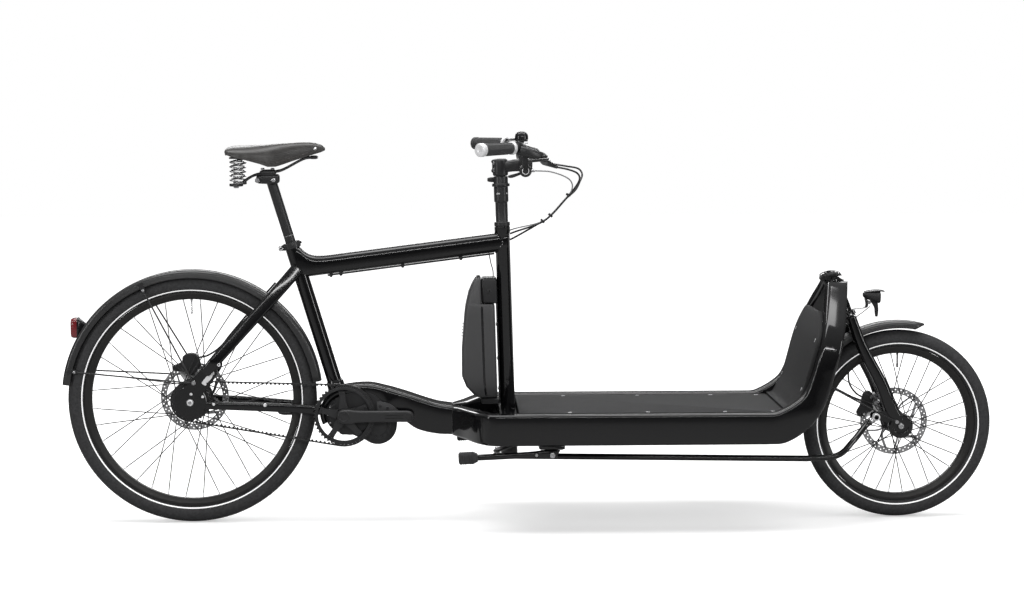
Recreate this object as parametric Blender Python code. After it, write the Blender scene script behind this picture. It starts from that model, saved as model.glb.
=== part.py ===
"""Front-loading cargo bike with a hub gear, a belt drive and a mid motor.

Lengths are written in millimetres and turned into metres when a mesh is made.
X points forward, Y to the rider's left and Z up. The wheels stand on Z = 0 and
the origin lies under the middle of the bike.
"""
import bmesh
import bpy
import math
from mathutils import Matrix, Vector

MM = 0.001
GAP = 0.3

# Wheels and wheelbase
WHEELBASE = 1866.0
REAR_R = 326.5
FRONT_R = 250.0
TYRE_W = 47.0
CROWN_HALF = 13.0
TYRE_H = 42.5
RIM_H = 15.7
RIM_W = 26.0
WHEEL_SIDES = 28
REAR_SPOKES = 36
FRONT_SPOKES = 32
SPOKE_R = 1.3
ROTOR_R = 90.0
ROTOR_T = 2.0
DISC_ROOM = 1.4
REAR_DISC_Y = 47.3
FRONT_DISC_Y = 36.3
REAR_OLD = 135.0
FRONT_OLD = 100.0
AXLE_R = 5.0

# Belt drive
BELT_PITCH = 11.0
BELT_TEETH = 111
FRONT_TEETH = 46
REAR_TEETH = 30
BELT_W = 11.0
BELT_LINE = -48.0
BELT_BACK = 1.6
BELT_LAND = 0.7
TOOTH_H = 3.2
TOOTH_BASE = 6.2
TOOTH_TIP = 4.0
CRANK_LEN = 170.0
BB_DROP = 40.0

# Frame
SEAT_ANGLE = math.radians(73.1)
SEAT_TUBE_R = 19.0
SEAT_TUBE_START = 92.0
SEAT_TUBE_END = 470.0
TOP_TUBE_W = 38.0
TOP_TUBE_H = 50.0
TOP_TUBE_DROP = 69.0
TOP_TUBE_RISE = math.radians(7.2)
COLUMN_AHEAD = 839.3
COLUMN_LEAN = math.radians(1.72)
COLUMN_R = 19.0
COLUMN_BORE = 15.4
COLUMN_TOP = 779.0
DECK_Z = 310.0
RAIL_H = 81.0
RAIL_W = 44.0
RAIL_OUT = 232.0
DECK_FRONT = 655.0
BOARD_T = 10.0
HEAD_ANGLE = math.radians(68.5)
FORK_RAKE = 25.0
HEAD_TUBE_R = 22.0
HEAD_BORE = 15.4
HEAD_LOW = 548.0
HEAD_HIGH = 634.0
STAY_T = 15.0
DROPOUT_T = 7.0

# Rider's place
SEATPOST_R = 13.6
POST_TOP = 628.7
BAR_HALF = 330.0
BAR_R = 11.1
GRIP_R = 15.5

# Fenders
FENDER_GAP = 13.9
FENDER_T = 1.6
FENDER_HALF = 29.0
FENDER_REACH = REAR_R + FENDER_GAP + FENDER_T


def belt_length(centres, big, small):
    """Length of an open belt round two pitch circles."""
    swing = math.asin((big - small) / centres)
    straight = 2 * centres * math.cos(swing)
    return straight + math.pi * (big + small) + 2 * swing * (big - small)


def belt_centres(big, small, length):
    """Distance between the axles at which the belt is just tight."""
    low = big + small
    high = length
    for _ in range(60):
        middle = (low + high) / 2
        if belt_length(middle, big, small) > length:
            high = middle
        else:
            low = middle
    return low


FRONT_PITCH_R = FRONT_TEETH * BELT_PITCH / (2 * math.pi)
REAR_PITCH_R = REAR_TEETH * BELT_PITCH / (2 * math.pi)
CHAINSTAY = belt_centres(FRONT_PITCH_R, REAR_PITCH_R, BELT_TEETH * BELT_PITCH)

REAR_AXLE = Vector((-(WHEELBASE + FRONT_R - FENDER_REACH) / 2, 0, REAR_R))
FRONT_AXLE = Vector((REAR_AXLE.x + WHEELBASE, 0, FRONT_R))
BB = REAR_AXLE + Vector((math.sqrt(CHAINSTAY ** 2 - BB_DROP ** 2), 0, -BB_DROP))
SEAT_UP = Vector((-math.cos(SEAT_ANGLE), 0, math.sin(SEAT_ANGLE)))
COLUMN_UP = Vector((-math.sin(COLUMN_LEAN), 0, math.cos(COLUMN_LEAN)))
COLUMN_FOOT = Vector((REAR_AXLE.x + COLUMN_AHEAD, 0, 0))
HEAD_UP = Vector((-math.cos(HEAD_ANGLE), 0, math.sin(HEAD_ANGLE)))
HEAD_SIDE = Vector((-math.sin(HEAD_ANGLE), 0, -math.cos(HEAD_ANGLE)))
HEAD_FOOT = FRONT_AXLE + HEAD_SIDE * FORK_RAKE


def on_seat_line(distance):
    return BB + SEAT_UP * distance


def on_column(height):
    return COLUMN_FOOT + COLUMN_UP * (height / COLUMN_UP.z)


def on_head_axis(height):
    return HEAD_FOOT + HEAD_UP * ((height - HEAD_FOOT.z) / HEAD_UP.z)


def point(x, y, z):
    return Vector((x, y, z))


def mirrored(points):
    return [Vector((p.x, -p.y, p.z)) for p in points]


def make_material(name, colour, roughness, metallic):
    material = bpy.data.materials.new(name)
    material.use_nodes = True
    shader = material.node_tree.nodes["Principled BSDF"]
    shader.inputs["Base Color"].default_value = (*colour, 1)
    shader.inputs["Roughness"].default_value = roughness
    shader.inputs["Metallic"].default_value = metallic
    return material


def add_object(name, bm, material, crease=35):
    bmesh.ops.recalc_face_normals(bm, faces=bm.faces)
    bmesh.ops.scale(bm, vec=(MM, MM, MM), verts=bm.verts)
    mesh = bpy.data.meshes.new(name)
    bm.to_mesh(mesh)
    bm.free()
    mesh.shade_smooth()
    mesh.set_sharp_from_angle(angle=math.radians(crease))
    mesh.materials.append(material)
    made = bpy.data.objects.new(name, mesh)
    bpy.context.scene.collection.objects.link(made)
    return made


def loft(name, rings, material, closed=False, crease=35):
    """Skin over rings of points, capped unless the row of rings is closed."""
    bm = bmesh.new()
    rows = [[bm.verts.new(p) for p in ring] for ring in rings]
    pairs = list(zip(rows, rows[1:]))
    if closed:
        pairs.append((rows[-1], rows[0]))
    for low, high in pairs:
        for i in range(len(low)):
            j = (i + 1) % len(low)
            bm.faces.new((low[i], low[j], high[j], high[i]))
    if not closed:
        bm.faces.new(rows[0])
        bm.faces.new(rows[-1])
    return add_object(name, bm, material, crease)


def section(centre, across, up, width, height, radius=0.0, steps=1):
    """Ring of a rectangle with rounded corners."""
    across = across.normalized()
    up = up.normalized()
    radius = min(radius, width / 2 - 0.01, height / 2 - 0.01)
    ring = []
    for corner, (sx, sy) in enumerate(((1, 1), (-1, 1), (-1, -1), (1, -1))):
        cx = sx * (width / 2 - radius)
        cy = sy * (height / 2 - radius)
        if radius <= 0:
            ring.append(centre + across * cx + up * cy)
            continue
        for step in range(steps + 1):
            angle = math.pi / 2 * (corner + step / steps)
            x = cx + radius * math.cos(angle)
            y = cy + radius * math.sin(angle)
            ring.append(centre + across * x + up * y)
    return ring


def circle(centre, across, up, radius, sides):
    across = across.normalized()
    up = up.normalized()
    turns = [2 * math.pi * i / sides for i in range(sides)]
    return [centre + (across * math.cos(a) + up * math.sin(a)) * radius for a in turns]


def smooth(points, spans=4):
    """Points on a smooth curve through the given ones."""
    points = [Vector(p) for p in points]
    first = points[0] * 2 - points[1]
    last = points[-1] * 2 - points[-2]
    held = [first] + points + [last]
    curve = []
    for a, b, c, d in zip(held, held[1:], held[2:], held[3:]):
        for step in range(spans):
            t = step / spans
            curve.append(0.5 * (2 * b + (c - a) * t + (2 * a - 5 * b + 4 * c - d) * t ** 2
                                + (3 * b - a - 3 * c + d) * t ** 3))
    curve.append(points[-1])
    return curve


def directions(points):
    found = []
    for i in range(len(points)):
        before = points[max(i - 1, 0)]
        after = points[min(i + 1, len(points) - 1)]
        found.append((after - before).normalized())
    return found


def tube(name, points, radius, material, sides=8):
    """Round bar along a route; radius is one number or one for each point."""
    radii = radius if isinstance(radius, list) else [radius] * len(points)
    ways = directions(points)
    side = ways[0].orthogonal().normalized()
    rings = []
    for centre, way, size in zip(points, ways, radii):
        side = (side - way * side.dot(way)).normalized()
        rings.append(circle(centre, side, way.cross(side), size, sides))
    return loft(name, rings, material)


def turned(name, centre, axis, profile, material, sides=20, ring=False, flat=False):
    """Solid turned about an axis from (distance along, radius) pairs.

    A ring closes its profile on itself; otherwise the ends are capped. With flat,
    the radii are those of the facets' middles, and one facet faces straight down.
    """
    axis = axis.normalized()
    across = axis.orthogonal() if not flat else Vector((0, 0, -1))
    across = (across - axis * across.dot(axis)).normalized()
    up = axis.cross(across)
    turn = math.pi / sides
    grow = 1 / math.cos(turn) if flat else 1.0
    if flat:
        across, up = (across * math.cos(turn) + up * math.sin(turn),
                      up * math.cos(turn) - across * math.sin(turn))
    rings = [circle(centre + axis * along, across, up, size * grow, sides) for along, size in profile]
    return loft(name, rings, material, closed=ring)


def plate(name, outline, low, high, material):
    """Flat plate: an outline in X and Z, as thick as low to high in Y."""
    rings = [[Vector((x, y, z)) for x, z in outline] for y in (low, high)]
    return loft(name, rings, material)


def block(name, low, high, material):
    outline = [(low[0], low[2]), (high[0], low[2]), (high[0], high[2]), (low[0], high[2])]
    return plate(name, outline, low[1], high[1], material)


def combine(base, tool, operation):
    step = base.modifiers.new(tool.name, "BOOLEAN")
    step.operation = operation
    step.solver = "EXACT"
    step.object = tool
    tool.hide_render = True
    tool.display_type = "WIRE"
    return base


def cut(base, *tools):
    for tool in tools:
        combine(base, tool, "DIFFERENCE")
    return base


def weld(base, *tools):
    for tool in tools:
        combine(base, tool, "UNION")
    return base


def set_origin(place, *names):
    """Move the origins of the named objects without moving their shapes."""
    for name in names:
        held = bpy.data.objects[name]
        held.data.transform(Matrix.Translation(place * -MM))
        held.location = place * MM


def arc(cx, cz, radius, start, end, steps):
    """Points of an arc in X and Z, angles in degrees from +X towards +Z."""
    turns = [math.radians(start + (end - start) * i / steps) for i in range(steps + 1)]
    return [(cx + radius * math.cos(a), cz + radius * math.sin(a)) for a in turns]


for old in list(bpy.data.objects):
    bpy.data.objects.remove(old, do_unlink=True)

X = Vector((1, 0, 0))
Y = Vector((0, 1, 0))
Z = Vector((0, 0, 1))
BLACK_PAINT = make_material("black_paint", (0.012, 0.012, 0.013), 0.18, 0.0)
BLACK_METAL = make_material("black_metal", (0.03, 0.03, 0.032), 0.4, 0.6)
BLACK_PLASTIC = make_material("black_plastic", (0.03, 0.03, 0.032), 0.5, 0.0)
DECK_GREY = make_material("deck_grey", (0.075, 0.075, 0.078), 0.6, 0.0)
TYRE_RUBBER = make_material("tyre_rubber", (0.035, 0.035, 0.036), 0.8, 0.0)
BELT_RUBBER = make_material("belt_rubber", (0.05, 0.05, 0.05), 0.6, 0.0)
STEEL = make_material("steel", (0.6, 0.6, 0.61), 0.3, 1.0)
CHROME = make_material("chrome", (0.8, 0.8, 0.8), 0.1, 1.0)
GRIP_RUBBER = make_material("grip_rubber", (0.025, 0.025, 0.026), 0.7, 0.0)
LEATHER = make_material("leather", (0.035, 0.034, 0.033), 0.45, 0.0)
LENS_RED = make_material("lens_red", (0.35, 0.01, 0.01), 0.15, 0.0)


def make_seat_tube():
    points = [on_seat_line(SEAT_TUBE_START), on_seat_line(SEAT_TUBE_END)]
    length = SEAT_TUBE_END - SEAT_TUBE_START
    seat = turned("seat_tube", points[0], SEAT_UP, [(0, SEAT_TUBE_R), (length, SEAT_TUBE_R)],
                  BLACK_PAINT, 18)
    bore = turned("seat_tube_bore", on_seat_line(SEAT_TUBE_END - 360), SEAT_UP,
                  [(0, SEATPOST_R + GAP), (400, SEATPOST_R + GAP)], BLACK_PAINT, 18)
    return cut(seat, bore)


def top_tube_middle(x):
    """Height of the top tube's middle line at a station along X."""
    rear = on_seat_line(SEAT_TUBE_END - TOP_TUBE_DROP)
    return rear.z + (x - rear.x) * math.tan(TOP_TUBE_RISE)


def make_top_tube():
    """Rounded tube that flares up into a fillet against the seat tube."""
    seat = on_seat_line(SEAT_TUBE_END - TOP_TUBE_DROP)
    column = on_column(top_tube_middle(COLUMN_FOOT.x))
    flare = ((-12, 40), (4, 30), (14, 19), (26, 9), (42, 3), (64, 0))
    stations = [(seat.x + away, extra) for away, extra in flare]
    stations.append((column.x, 0))
    rings = []
    for x, extra in stations:
        height = TOP_TUBE_H + extra
        centre = point(x, 0, top_tube_middle(x) + extra / 2)
        rings.append(section(centre, Y, Z, TOP_TUBE_W, height, 16, 2))
    tube_body = loft("top_tube", rings, BLACK_PAINT)
    seat_cut = turned("top_tube_seat_cut", on_seat_line(SEAT_TUBE_START), SEAT_UP,
                      [(0, SEAT_TUBE_R + GAP), (SEAT_TUBE_END, SEAT_TUBE_R + GAP)], BLACK_PAINT, 18)
    column_cut = turned("top_tube_column_cut", on_column(400), COLUMN_UP,
                        [(0, COLUMN_R + GAP), (500, COLUMN_R + GAP)], BLACK_PAINT, 20)
    low = on_seat_line(SEAT_TUBE_START)
    high = on_seat_line(SEAT_TUBE_END + 90)
    rear_cut = plate("top_tube_rear_cut", [(low.x, low.z), (high.x, high.z), (high.x - 200, high.z),
                                           (high.x - 200, low.z)], -60, 60, BLACK_PAINT)
    return cut(tube_body, seat_cut, column_cut, rear_cut)


CROSS_LOW = DECK_Z - 74
CROSS_HALF = 26.0


def make_head_column():
    """Steering column's fixed tube, welded to the cross member between the rails."""
    low = CROSS_LOW - 6
    top = COLUMN_TOP
    outer = [(0, COLUMN_R), (top - low - 18, COLUMN_R), (top - low - 16, COLUMN_R + 1.5),
             (top - low, COLUMN_R + 1.5)]
    column = turned("head_column", on_column(low), COLUMN_UP, outer, BLACK_PAINT, 20)
    inside = RAIL_OUT - RAIL_W - GAP
    middle = on_column(270).x
    member = block("rear_cross_member", (middle - CROSS_HALF, -inside, CROSS_LOW),
                   (middle + CROSS_HALF, inside, DECK_Z - BOARD_T - 6), BLACK_PAINT)
    bore = turned("column_bore", on_column(100), COLUMN_UP, [(0, COLUMN_BORE), (900, COLUMN_BORE)],
                  BLACK_PAINT, 16)
    return cut(weld(column, member), bore)


BRACKET_R = 49.0
BOOM_HALF = 46.0
BOOM_END = point(BB.x + 284, 0, 270)


def make_boom():
    """Motor bridge: a hook behind the motor that grows into a deep beam to the rails."""
    stations = []
    for angle, thick, half in ((205, 13, 37), (180, 14, 39), (150, 16, 40), (120, 19, 40), (92, 24, 40)):
        turn = math.radians(angle)
        out = Vector((math.cos(turn), 0, math.sin(turn)))
        stations.append((BB + out * (BRACKET_R + GAP + thick / 2), out, thick, half))
    run = ((59, 61, 80, 38, 40), (104, 49, 74, 44, 41), (128, 38, 70, 52, 46), (162, 21, 68, 64, 46),
           (200, 0, 76, 79, 46), (244, -12, 86, 79, 46), (284, -16, 90, 75, 48))
    for ahead, above, lean, thick, half in run:
        turn = math.radians(lean)
        out = Vector((math.cos(turn), 0, math.sin(turn)))
        stations.append((BB + point(ahead, 0, above), out, thick, half))
    rings = [section(centre, Y, out, 2 * half, thick, 10) for centre, out, thick, half in stations]
    boom = loft("boom", rings, BLACK_PAINT)
    lug = turned("seat_lug", on_seat_line(BRACKET_R + 8), SEAT_UP,
                 [(0, SEAT_TUBE_R + 4), (SEAT_TUBE_START - BRACKET_R - 16, SEAT_TUBE_R + 4),
                  (SEAT_TUBE_START - BRACKET_R - 8 - GAP, SEAT_TUBE_R)], BLACK_PAINT, 18)
    clearance = turned("boom_motor_cut", BB - Y * 70, Y, [(0, BRACKET_R + GAP), (140, BRACKET_R + GAP)],
                       BLACK_PAINT, 20)
    return cut(weld(boom, lug), clearance)


def rail_stations():
    """Middle points, depth directions, widths and depths of the right-hand rail."""
    low = RAIL_OUT - RAIL_W / 2
    middle = DECK_Z - RAIL_H / 2
    start = BOOM_END.x + GAP
    rows = []
    plan = ((0, 24.2, 0, 47.6, 75), (18, 48, 52, 40, 77), (40, 92, 66, 36, 79), (64, 148, 66, 38, 81),
            (82, 182, 56, 41, 81), (98, 203, 32, 43, 81), (114, low, 0, RAIL_W, RAIL_H))
    for ahead, out, turn, width, depth in plan:
        way = Vector((math.cos(math.radians(turn)), -math.sin(math.radians(turn)), 0))
        across = way.cross(Z)
        rows.append((point(start + ahead, -out, middle), across, Z, width, depth))
    front = DECK_FRONT
    sweep = ((-55, 0, 0, 0, RAIL_H), (-20, 0, 2, 10, 82), (13, 0, 18, 32, 78), (45, 1, 43, 52, 70),
             (70, 4, 76, 62, 60), (89, 7, 126, 71, 55), (102, 10, 171, 72, 54), (114, 18, 210, 72, 54),
             (124, 42, 248, 72, 54), (135, 92, 290, 73, 54), (147, 148, 331, 73, 54),
             (155, 192, 366, 74, 54))
    centres = [point(front + ahead, -(low - inward), middle + above) for ahead, inward, above, _, _ in sweep]
    ways = directions(centres)
    ways[0] = X
    for centre, way, (_, _, _, lean, depth) in zip(centres, ways, sweep):
        turn = math.radians(lean - 90)
        out = -Vector((math.cos(turn), 0, math.sin(turn)))
        across = way.cross(out).normalized()
        rows.append((centre, across, across.cross(way), RAIL_W, depth))
    return rows


def make_rail(name, side):
    rings = []
    for centre, across, up, width, depth in rail_stations():
        ring = section(centre, across, up, width, depth, 10)
        rings.append(ring if side < 0 else mirrored(ring))
    rail = loft(name, rings, BLACK_PAINT)
    head_cut = turned(name + "_head_cut", on_head_axis(HEAD_LOW - 60), HEAD_UP,
                      [(0, HEAD_TUBE_R + GAP), (260, HEAD_TUBE_R + GAP)], BLACK_PAINT, 18)
    top_cut = block(name + "_top_cut", (600, -200, HEAD_HIGH - 2), (1000, 200, 900), BLACK_PAINT)
    middle_cut = block(name + "_middle_cut", (600, -2 * side * 30 - 30, 400),
                       (1000, -2 * side * 30 + 30, 700), BLACK_PAINT)
    middle_cut.location.y = side * (30 + GAP) * MM
    return cut(rail, head_cut, top_cut, middle_cut)


def make_front_head_tube():
    """Front steering head, bored for the fork, with a cup at each end."""
    start = on_head_axis(HEAD_LOW)
    length = (HEAD_HIGH - HEAD_LOW) / HEAD_UP.z
    outer = [(0, HEAD_TUBE_R - 2), (1.5, HEAD_TUBE_R), (length - 1.5, HEAD_TUBE_R),
             (length, HEAD_TUBE_R - 2)]
    head = turned("front_head_tube", start, HEAD_UP, outer, BLACK_PAINT, 18)
    bore = turned("front_head_bore", start - HEAD_UP * 40, HEAD_UP,
                  [(0, HEAD_BORE), (length + 80, HEAD_BORE)], BLACK_PAINT, 16)
    return cut(head, bore)


DROPOUT_IN = REAR_OLD / 2 + GAP
PLATE_R = 41.0


def make_chain_stay(name, side):
    """Chain stay ending in the round dropout plate that holds the axle."""
    plate_y = DROPOUT_IN + DROPOUT_T / 2
    start = REAR_AXLE + point(PLATE_R - 6, 0, -8)
    end = BB + point(-(BRACKET_R + 14 + 2 * GAP), 0, 12)
    route = smooth([point(start.x, plate_y, start.z), point(start.x + 80, plate_y - 10, start.z - 4),
                    point(start.x + 190, 44, start.z - 11), point(end.x, 31.5, end.z)], 2)
    ways = directions(route)
    ways[-1] = X
    rings = []
    for i, (centre, way) in enumerate(zip(route, ways)):
        along = i / (len(route) - 1)
        across = way.cross(Z).normalized()
        ring = section(centre, across, Z, DROPOUT_T + 9 * min(1, along * 4), 20 + 5 * along, 5)
        rings.append(ring if side > 0 else mirrored(ring))
    stay = loft(name, rings, BLACK_PAINT)
    low, high = sorted((side * DROPOUT_IN, side * (DROPOUT_IN + DROPOUT_T)))
    outline = arc(REAR_AXLE.x, REAR_AXLE.z, PLATE_R, 115, 395, 14)
    outline += [(REAR_AXLE.x + 66, REAR_AXLE.z + 62), (REAR_AXLE.x + 72, REAR_AXLE.z + 86),
                (REAR_AXLE.x + 55, REAR_AXLE.z + 100), (REAR_AXLE.x + 32, REAR_AXLE.z + 88)]
    dropout = plate(name + "_plate", outline, low, high, BLACK_PAINT)
    hole = turned(name + "_axle_hole", REAR_AXLE - Y * 100, Y, [(0, AXLE_R + GAP), (200, AXLE_R + GAP)],
                  BLACK_PAINT, 10)
    return cut(weld(stay, dropout), hole)


def make_seat_stay(name, side):
    """Deep flat stay from the seat tube's side to the dropout's bolted arm."""
    top = on_seat_line(SEAT_TUBE_END - 68)
    foot = REAR_AXLE + point(56, 0, 96)
    lean = (top - foot).normalized()
    inner = DROPOUT_IN + DROPOUT_T + GAP
    route = smooth([point(top.x - 2, 17, top.z), top + (foot - top) * 0.25 + Y * 38,
                    top + (foot - top) * 0.6 + Y * 60,
                    point(foot.x + lean.x * 20, inner + 7, foot.z + lean.z * 20),
                    point(foot.x - lean.x * 22, inner + 5, foot.z - lean.z * 22)], 2)
    rings = []
    for i, (centre, way) in enumerate(zip(route, directions(route))):
        along = i / (len(route) - 1)
        deep = Y.cross(way).normalized()
        across = way.cross(deep).normalized()
        wide = STAY_T if along < 0.75 else STAY_T + (10 - STAY_T) * (along - 0.75) * 4
        ring = section(centre, across, deep, wide, 34 - 6 * along, 5)
        rings.append(ring if side > 0 else mirrored(ring))
    stay = loft(name, rings, BLACK_PAINT)
    seat_cut = turned(name + "_cut", on_seat_line(SEAT_TUBE_START), SEAT_UP,
                      [(0, SEAT_TUBE_R + GAP), (SEAT_TUBE_END, SEAT_TUBE_R + GAP)], BLACK_PAINT, 18)
    half_cut = block(name + "_half_cut", (-900, -60, 200), (-400, 60, 900), BLACK_PAINT)
    half_cut.location.y = -side * (60 - GAP) * MM
    low = on_seat_line(0) - X * GAP
    high = on_seat_line(SEAT_TUBE_END + 90) - X * GAP
    front_cut = plate(name + "_front_cut", [(low.x, low.z), (low.x + 200, low.z), (high.x + 200, high.z),
                                            (high.x, high.z)], -60, 60, BLACK_PAINT)
    return cut(stay, seat_cut, half_cut, front_cut)


def make_deck_board():
    inside = RAIL_OUT - RAIL_W - 0.5
    top = DECK_Z - 4
    rear = on_column(DECK_Z).x + COLUMN_R + 6
    board = block("deck_board", (rear, -inside, top - BOARD_T), (DECK_FRONT, inside, top), DECK_GREY)
    return board


def make_front_board():
    """Bent panel that closes the front between the two rising rails."""
    rows = ((19, 4, 186), (32, 24, 186), (46, 56, 183), (58, 100, 178), (70, 146, 172), (80, 182, 158),
            (88, 212, 122), (94, 240, 78), (97, 252, 58))
    base = point(DECK_FRONT, 0, DECK_Z - 4)
    centres = [base + point(ahead, 0, above) for ahead, above, _ in rows]
    rings = []
    for centre, way, (_, _, half) in zip(centres, directions(centres), rows):
        rings.append(section(centre, Y, way.cross(Y), 2 * half, BOARD_T))
    return loft("front_board", rings, DECK_GREY)


MOTOR_HALF = 38.0
DRUM = BB + point(88, 0, -30)


def make_motor():
    """Mid motor: crank case on the bottom bracket joined to the motor drum."""
    case = turned("motor", BB - Y * MOTOR_HALF, Y,
                  [(0, 40), (5, BRACKET_R), (2 * MOTOR_HALF - 5, BRACKET_R), (2 * MOTOR_HALF, 40)],
                  BLACK_METAL, 20)
    drum_half = MOTOR_HALF + 2
    drum = turned("motor_drum", DRUM - Y * drum_half, Y,
                  [(0, 36), (12, 50), (2 * drum_half - 12, 50), (2 * drum_half, 36)], BLACK_METAL, 16)
    waist = plate("motor_waist", [(BB.x, BB.z - 44), (DRUM.x - 8, DRUM.z - 48), (DRUM.x + 10, DRUM.z + 38),
                                  (BB.x + 22, BB.z + 36), (BB.x, BB.z + 30)],
                  -MOTOR_HALF + 4, MOTOR_HALF - 4, BLACK_METAL)
    ear = plate("motor_ear", arc(DRUM.x + 4, DRUM.z + 2, 64, 35, 95, 8) +
                arc(DRUM.x + 4, DRUM.z + 2, 26, 95, 35, 6), -BOOM_HALF - 5, -BOOM_HALF - GAP, STEEL)
    root = plate("motor_ear_root", arc(DRUM.x + 4, DRUM.z + 2, 42, 41, 89, 5) +
                 arc(DRUM.x + 4, DRUM.z + 2, 30, 89, 41, 5), -BOOM_HALF - 2, -drum_half + 9, STEEL)
    bore = turned("motor_bore", BB - Y * 100, Y, [(0, 12.9), (200, 12.9)], BLACK_METAL, 12)
    return cut(weld(case, drum, waist, root, ear), bore)


def make_tyre(name, centre, radius):
    """Tyre with a flat crown, so that a facet stands on the ground."""
    half = TYRE_W / 2
    bead = radius - TYRE_H
    profile = [(CROWN_HALF, radius), (half, radius - 15), (11.5, bead), (-11.5, bead),
               (-half, radius - 15), (-CROWN_HALF, radius)]
    return turned(name, centre, Y, profile, TYRE_RUBBER, WHEEL_SIDES, ring=True, flat=True)


def make_wheel(name, centre, radius, hub, spokes, flanges, flange_r):
    """Rim, laced spokes and hub shell as one wheel."""
    bead = radius - TYRE_H - GAP
    inner = bead - RIM_H
    half = RIM_W / 2
    rim = turned(name, centre, Y, [(half, bead), (8, inner), (-8, inner), (-half, bead)], BLACK_METAL,
                 WHEEL_SIDES, ring=True, flat=True)
    shell = turned(name + "_hub", centre, Y, hub, BLACK_METAL, 12, ring=True)
    bm = bmesh.new()
    reach = inner + 4
    for i in range(spokes):
        side = flanges[i % 2]
        lead = 1 if (i // 2) % 2 else -1
        rim_turn = 2 * math.pi * (i + 0.5) / spokes
        hub_turn = rim_turn + lead * 6 * math.pi / spokes * 1.6
        lift = 0.9 * lead
        start = centre + Vector((math.cos(hub_turn) * (flange_r - 4), side + lift, math.sin(hub_turn) * (flange_r - 4)))
        end = centre + Vector((math.cos(rim_turn) * reach, side * 0.12, math.sin(rim_turn) * reach))
        way = (end - start).normalized()
        across = way.cross(Y).normalized()
        rings = [circle(c, across, way.cross(across), SPOKE_R, 3) for c in (start, end)]
        rows = [[bm.verts.new(p) for p in ring] for ring in rings]
        for a in range(3):
            b = (a + 1) % 3
            bm.faces.new((rows[0][a], rows[0][b], rows[1][b], rows[1][a]))
        bm.faces.new(rows[0])
        bm.faces.new(rows[1])
    laced = add_object(name + "_spokes", bm, STEEL)
    return weld(rim, shell, laced)


def make_rotor(name, centre, side_y, bore):
    """Brake disc: braking ring on five swept arms."""
    inner = ROTOR_R - 17
    ring = turned(name, centre + Y * side_y, Y, [(0, ROTOR_R), (0, inner), (ROTOR_T, inner), (ROTOR_T, ROTOR_R)],
                  STEEL, 20, ring=True)
    carrier = turned(name + "_carrier", centre + Y * side_y, Y,
                     [(0.2, bore + 14), (0.2, bore), (ROTOR_T - 0.2, bore), (ROTOR_T - 0.2, bore + 14)],
                     STEEL, 8, ring=True)
    arms = []
    for i in range(5):
        turn = 2 * math.pi * i / 5
        swing = turn + math.radians(38)
        start = centre + point((bore + 8) * math.cos(turn), 0, (bore + 8) * math.sin(turn))
        end = centre + point((inner + 6) * math.cos(swing), 0, (inner + 6) * math.sin(swing))
        across = (end - start).cross(Y).normalized() * 4
        outline = [(p.x, p.z) for p in (start + across, end + across, end - across, start - across)]
        arms.append(plate(f"{name}_arm_{i}", outline, side_y + 0.1, side_y + ROTOR_T - 0.1, STEEL))
    return weld(ring, carrier, *arms)


def toothed(radius, teeth, phase, base, tip, height, clearance):
    """Outline of a belt sprocket: a groove for each belt tooth."""
    top = radius - BELT_LAND - clearance
    floor = top - height - 0.5
    points = []
    for i in range(teeth):
        middle = phase + 2 * math.pi * i / teeth
        for away, size in ((-(base / 2 + clearance), top), (-(tip / 2 + clearance), floor),
                           (tip / 2 + clearance, floor), (base / 2 + clearance, top)):
            turn = middle + away / radius
            points.append((size * math.cos(turn), size * math.sin(turn)))
    return points


def make_sprocket(name, centre, radius, teeth, phase, rim_inner, width):
    """Toothed ring whose grooves take the belt's teeth."""
    outline = toothed(radius, teeth, phase, TOOTH_BASE, TOOTH_TIP, TOOTH_H, 0.35)
    bm = bmesh.new()
    rows = []
    for y in (BELT_LINE - width / 2, BELT_LINE + width / 2):
        outer = [bm.verts.new(centre + point(x, y, z)) for x, z in outline]
        inner = []
        for i in range(teeth):
            turn = phase + 2 * math.pi * i / teeth
            inner.append(bm.verts.new(centre + point(rim_inner * math.cos(turn), y, rim_inner * math.sin(turn))))
        rows.append((outer, inner))
    (outer_a, inner_a), (outer_b, inner_b) = rows
    count = len(outer_a)
    for i in range(count):
        j = (i + 1) % count
        bm.faces.new((outer_a[i], outer_a[j], outer_b[j], outer_b[i]))
    for i in range(teeth):
        j = (i + 1) % teeth
        bm.faces.new((inner_a[j], inner_a[i], inner_b[i], inner_b[j]))
        for outer, inner in rows:
            bm.faces.new((outer[4 * i + 1], outer[4 * i + 2], inner[i]))
            bm.faces.new((outer[4 * i], outer[4 * i + 1], inner[i]))
            bm.faces.new((outer[4 * i + 2], outer[4 * i + 3], inner[i]))
            bm.faces.new((outer[4 * i + 3], outer[(4 * i + 4) % count], inner[j], inner[i]))
    return add_object(name, bm, BLACK_METAL)


def belt_path():
    """Point, inward direction and turn rate along the belt's pitch line, by distance."""
    centres = (REAR_AXLE - BB).length
    swing = math.asin((FRONT_PITCH_R - REAR_PITCH_R) / centres)
    line = math.atan2(REAR_AXLE.z - BB.z, REAR_AXLE.x - BB.x)
    up_turn = line - math.pi / 2 + swing
    low_turn = line + math.pi / 2 - swing
    straight = math.sqrt(centres ** 2 - (FRONT_PITCH_R - REAR_PITCH_R) ** 2)
    front_wrap = math.pi + 2 * swing
    rear_wrap = math.pi - 2 * swing
    return up_turn, low_turn, straight, front_wrap, rear_wrap


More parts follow.
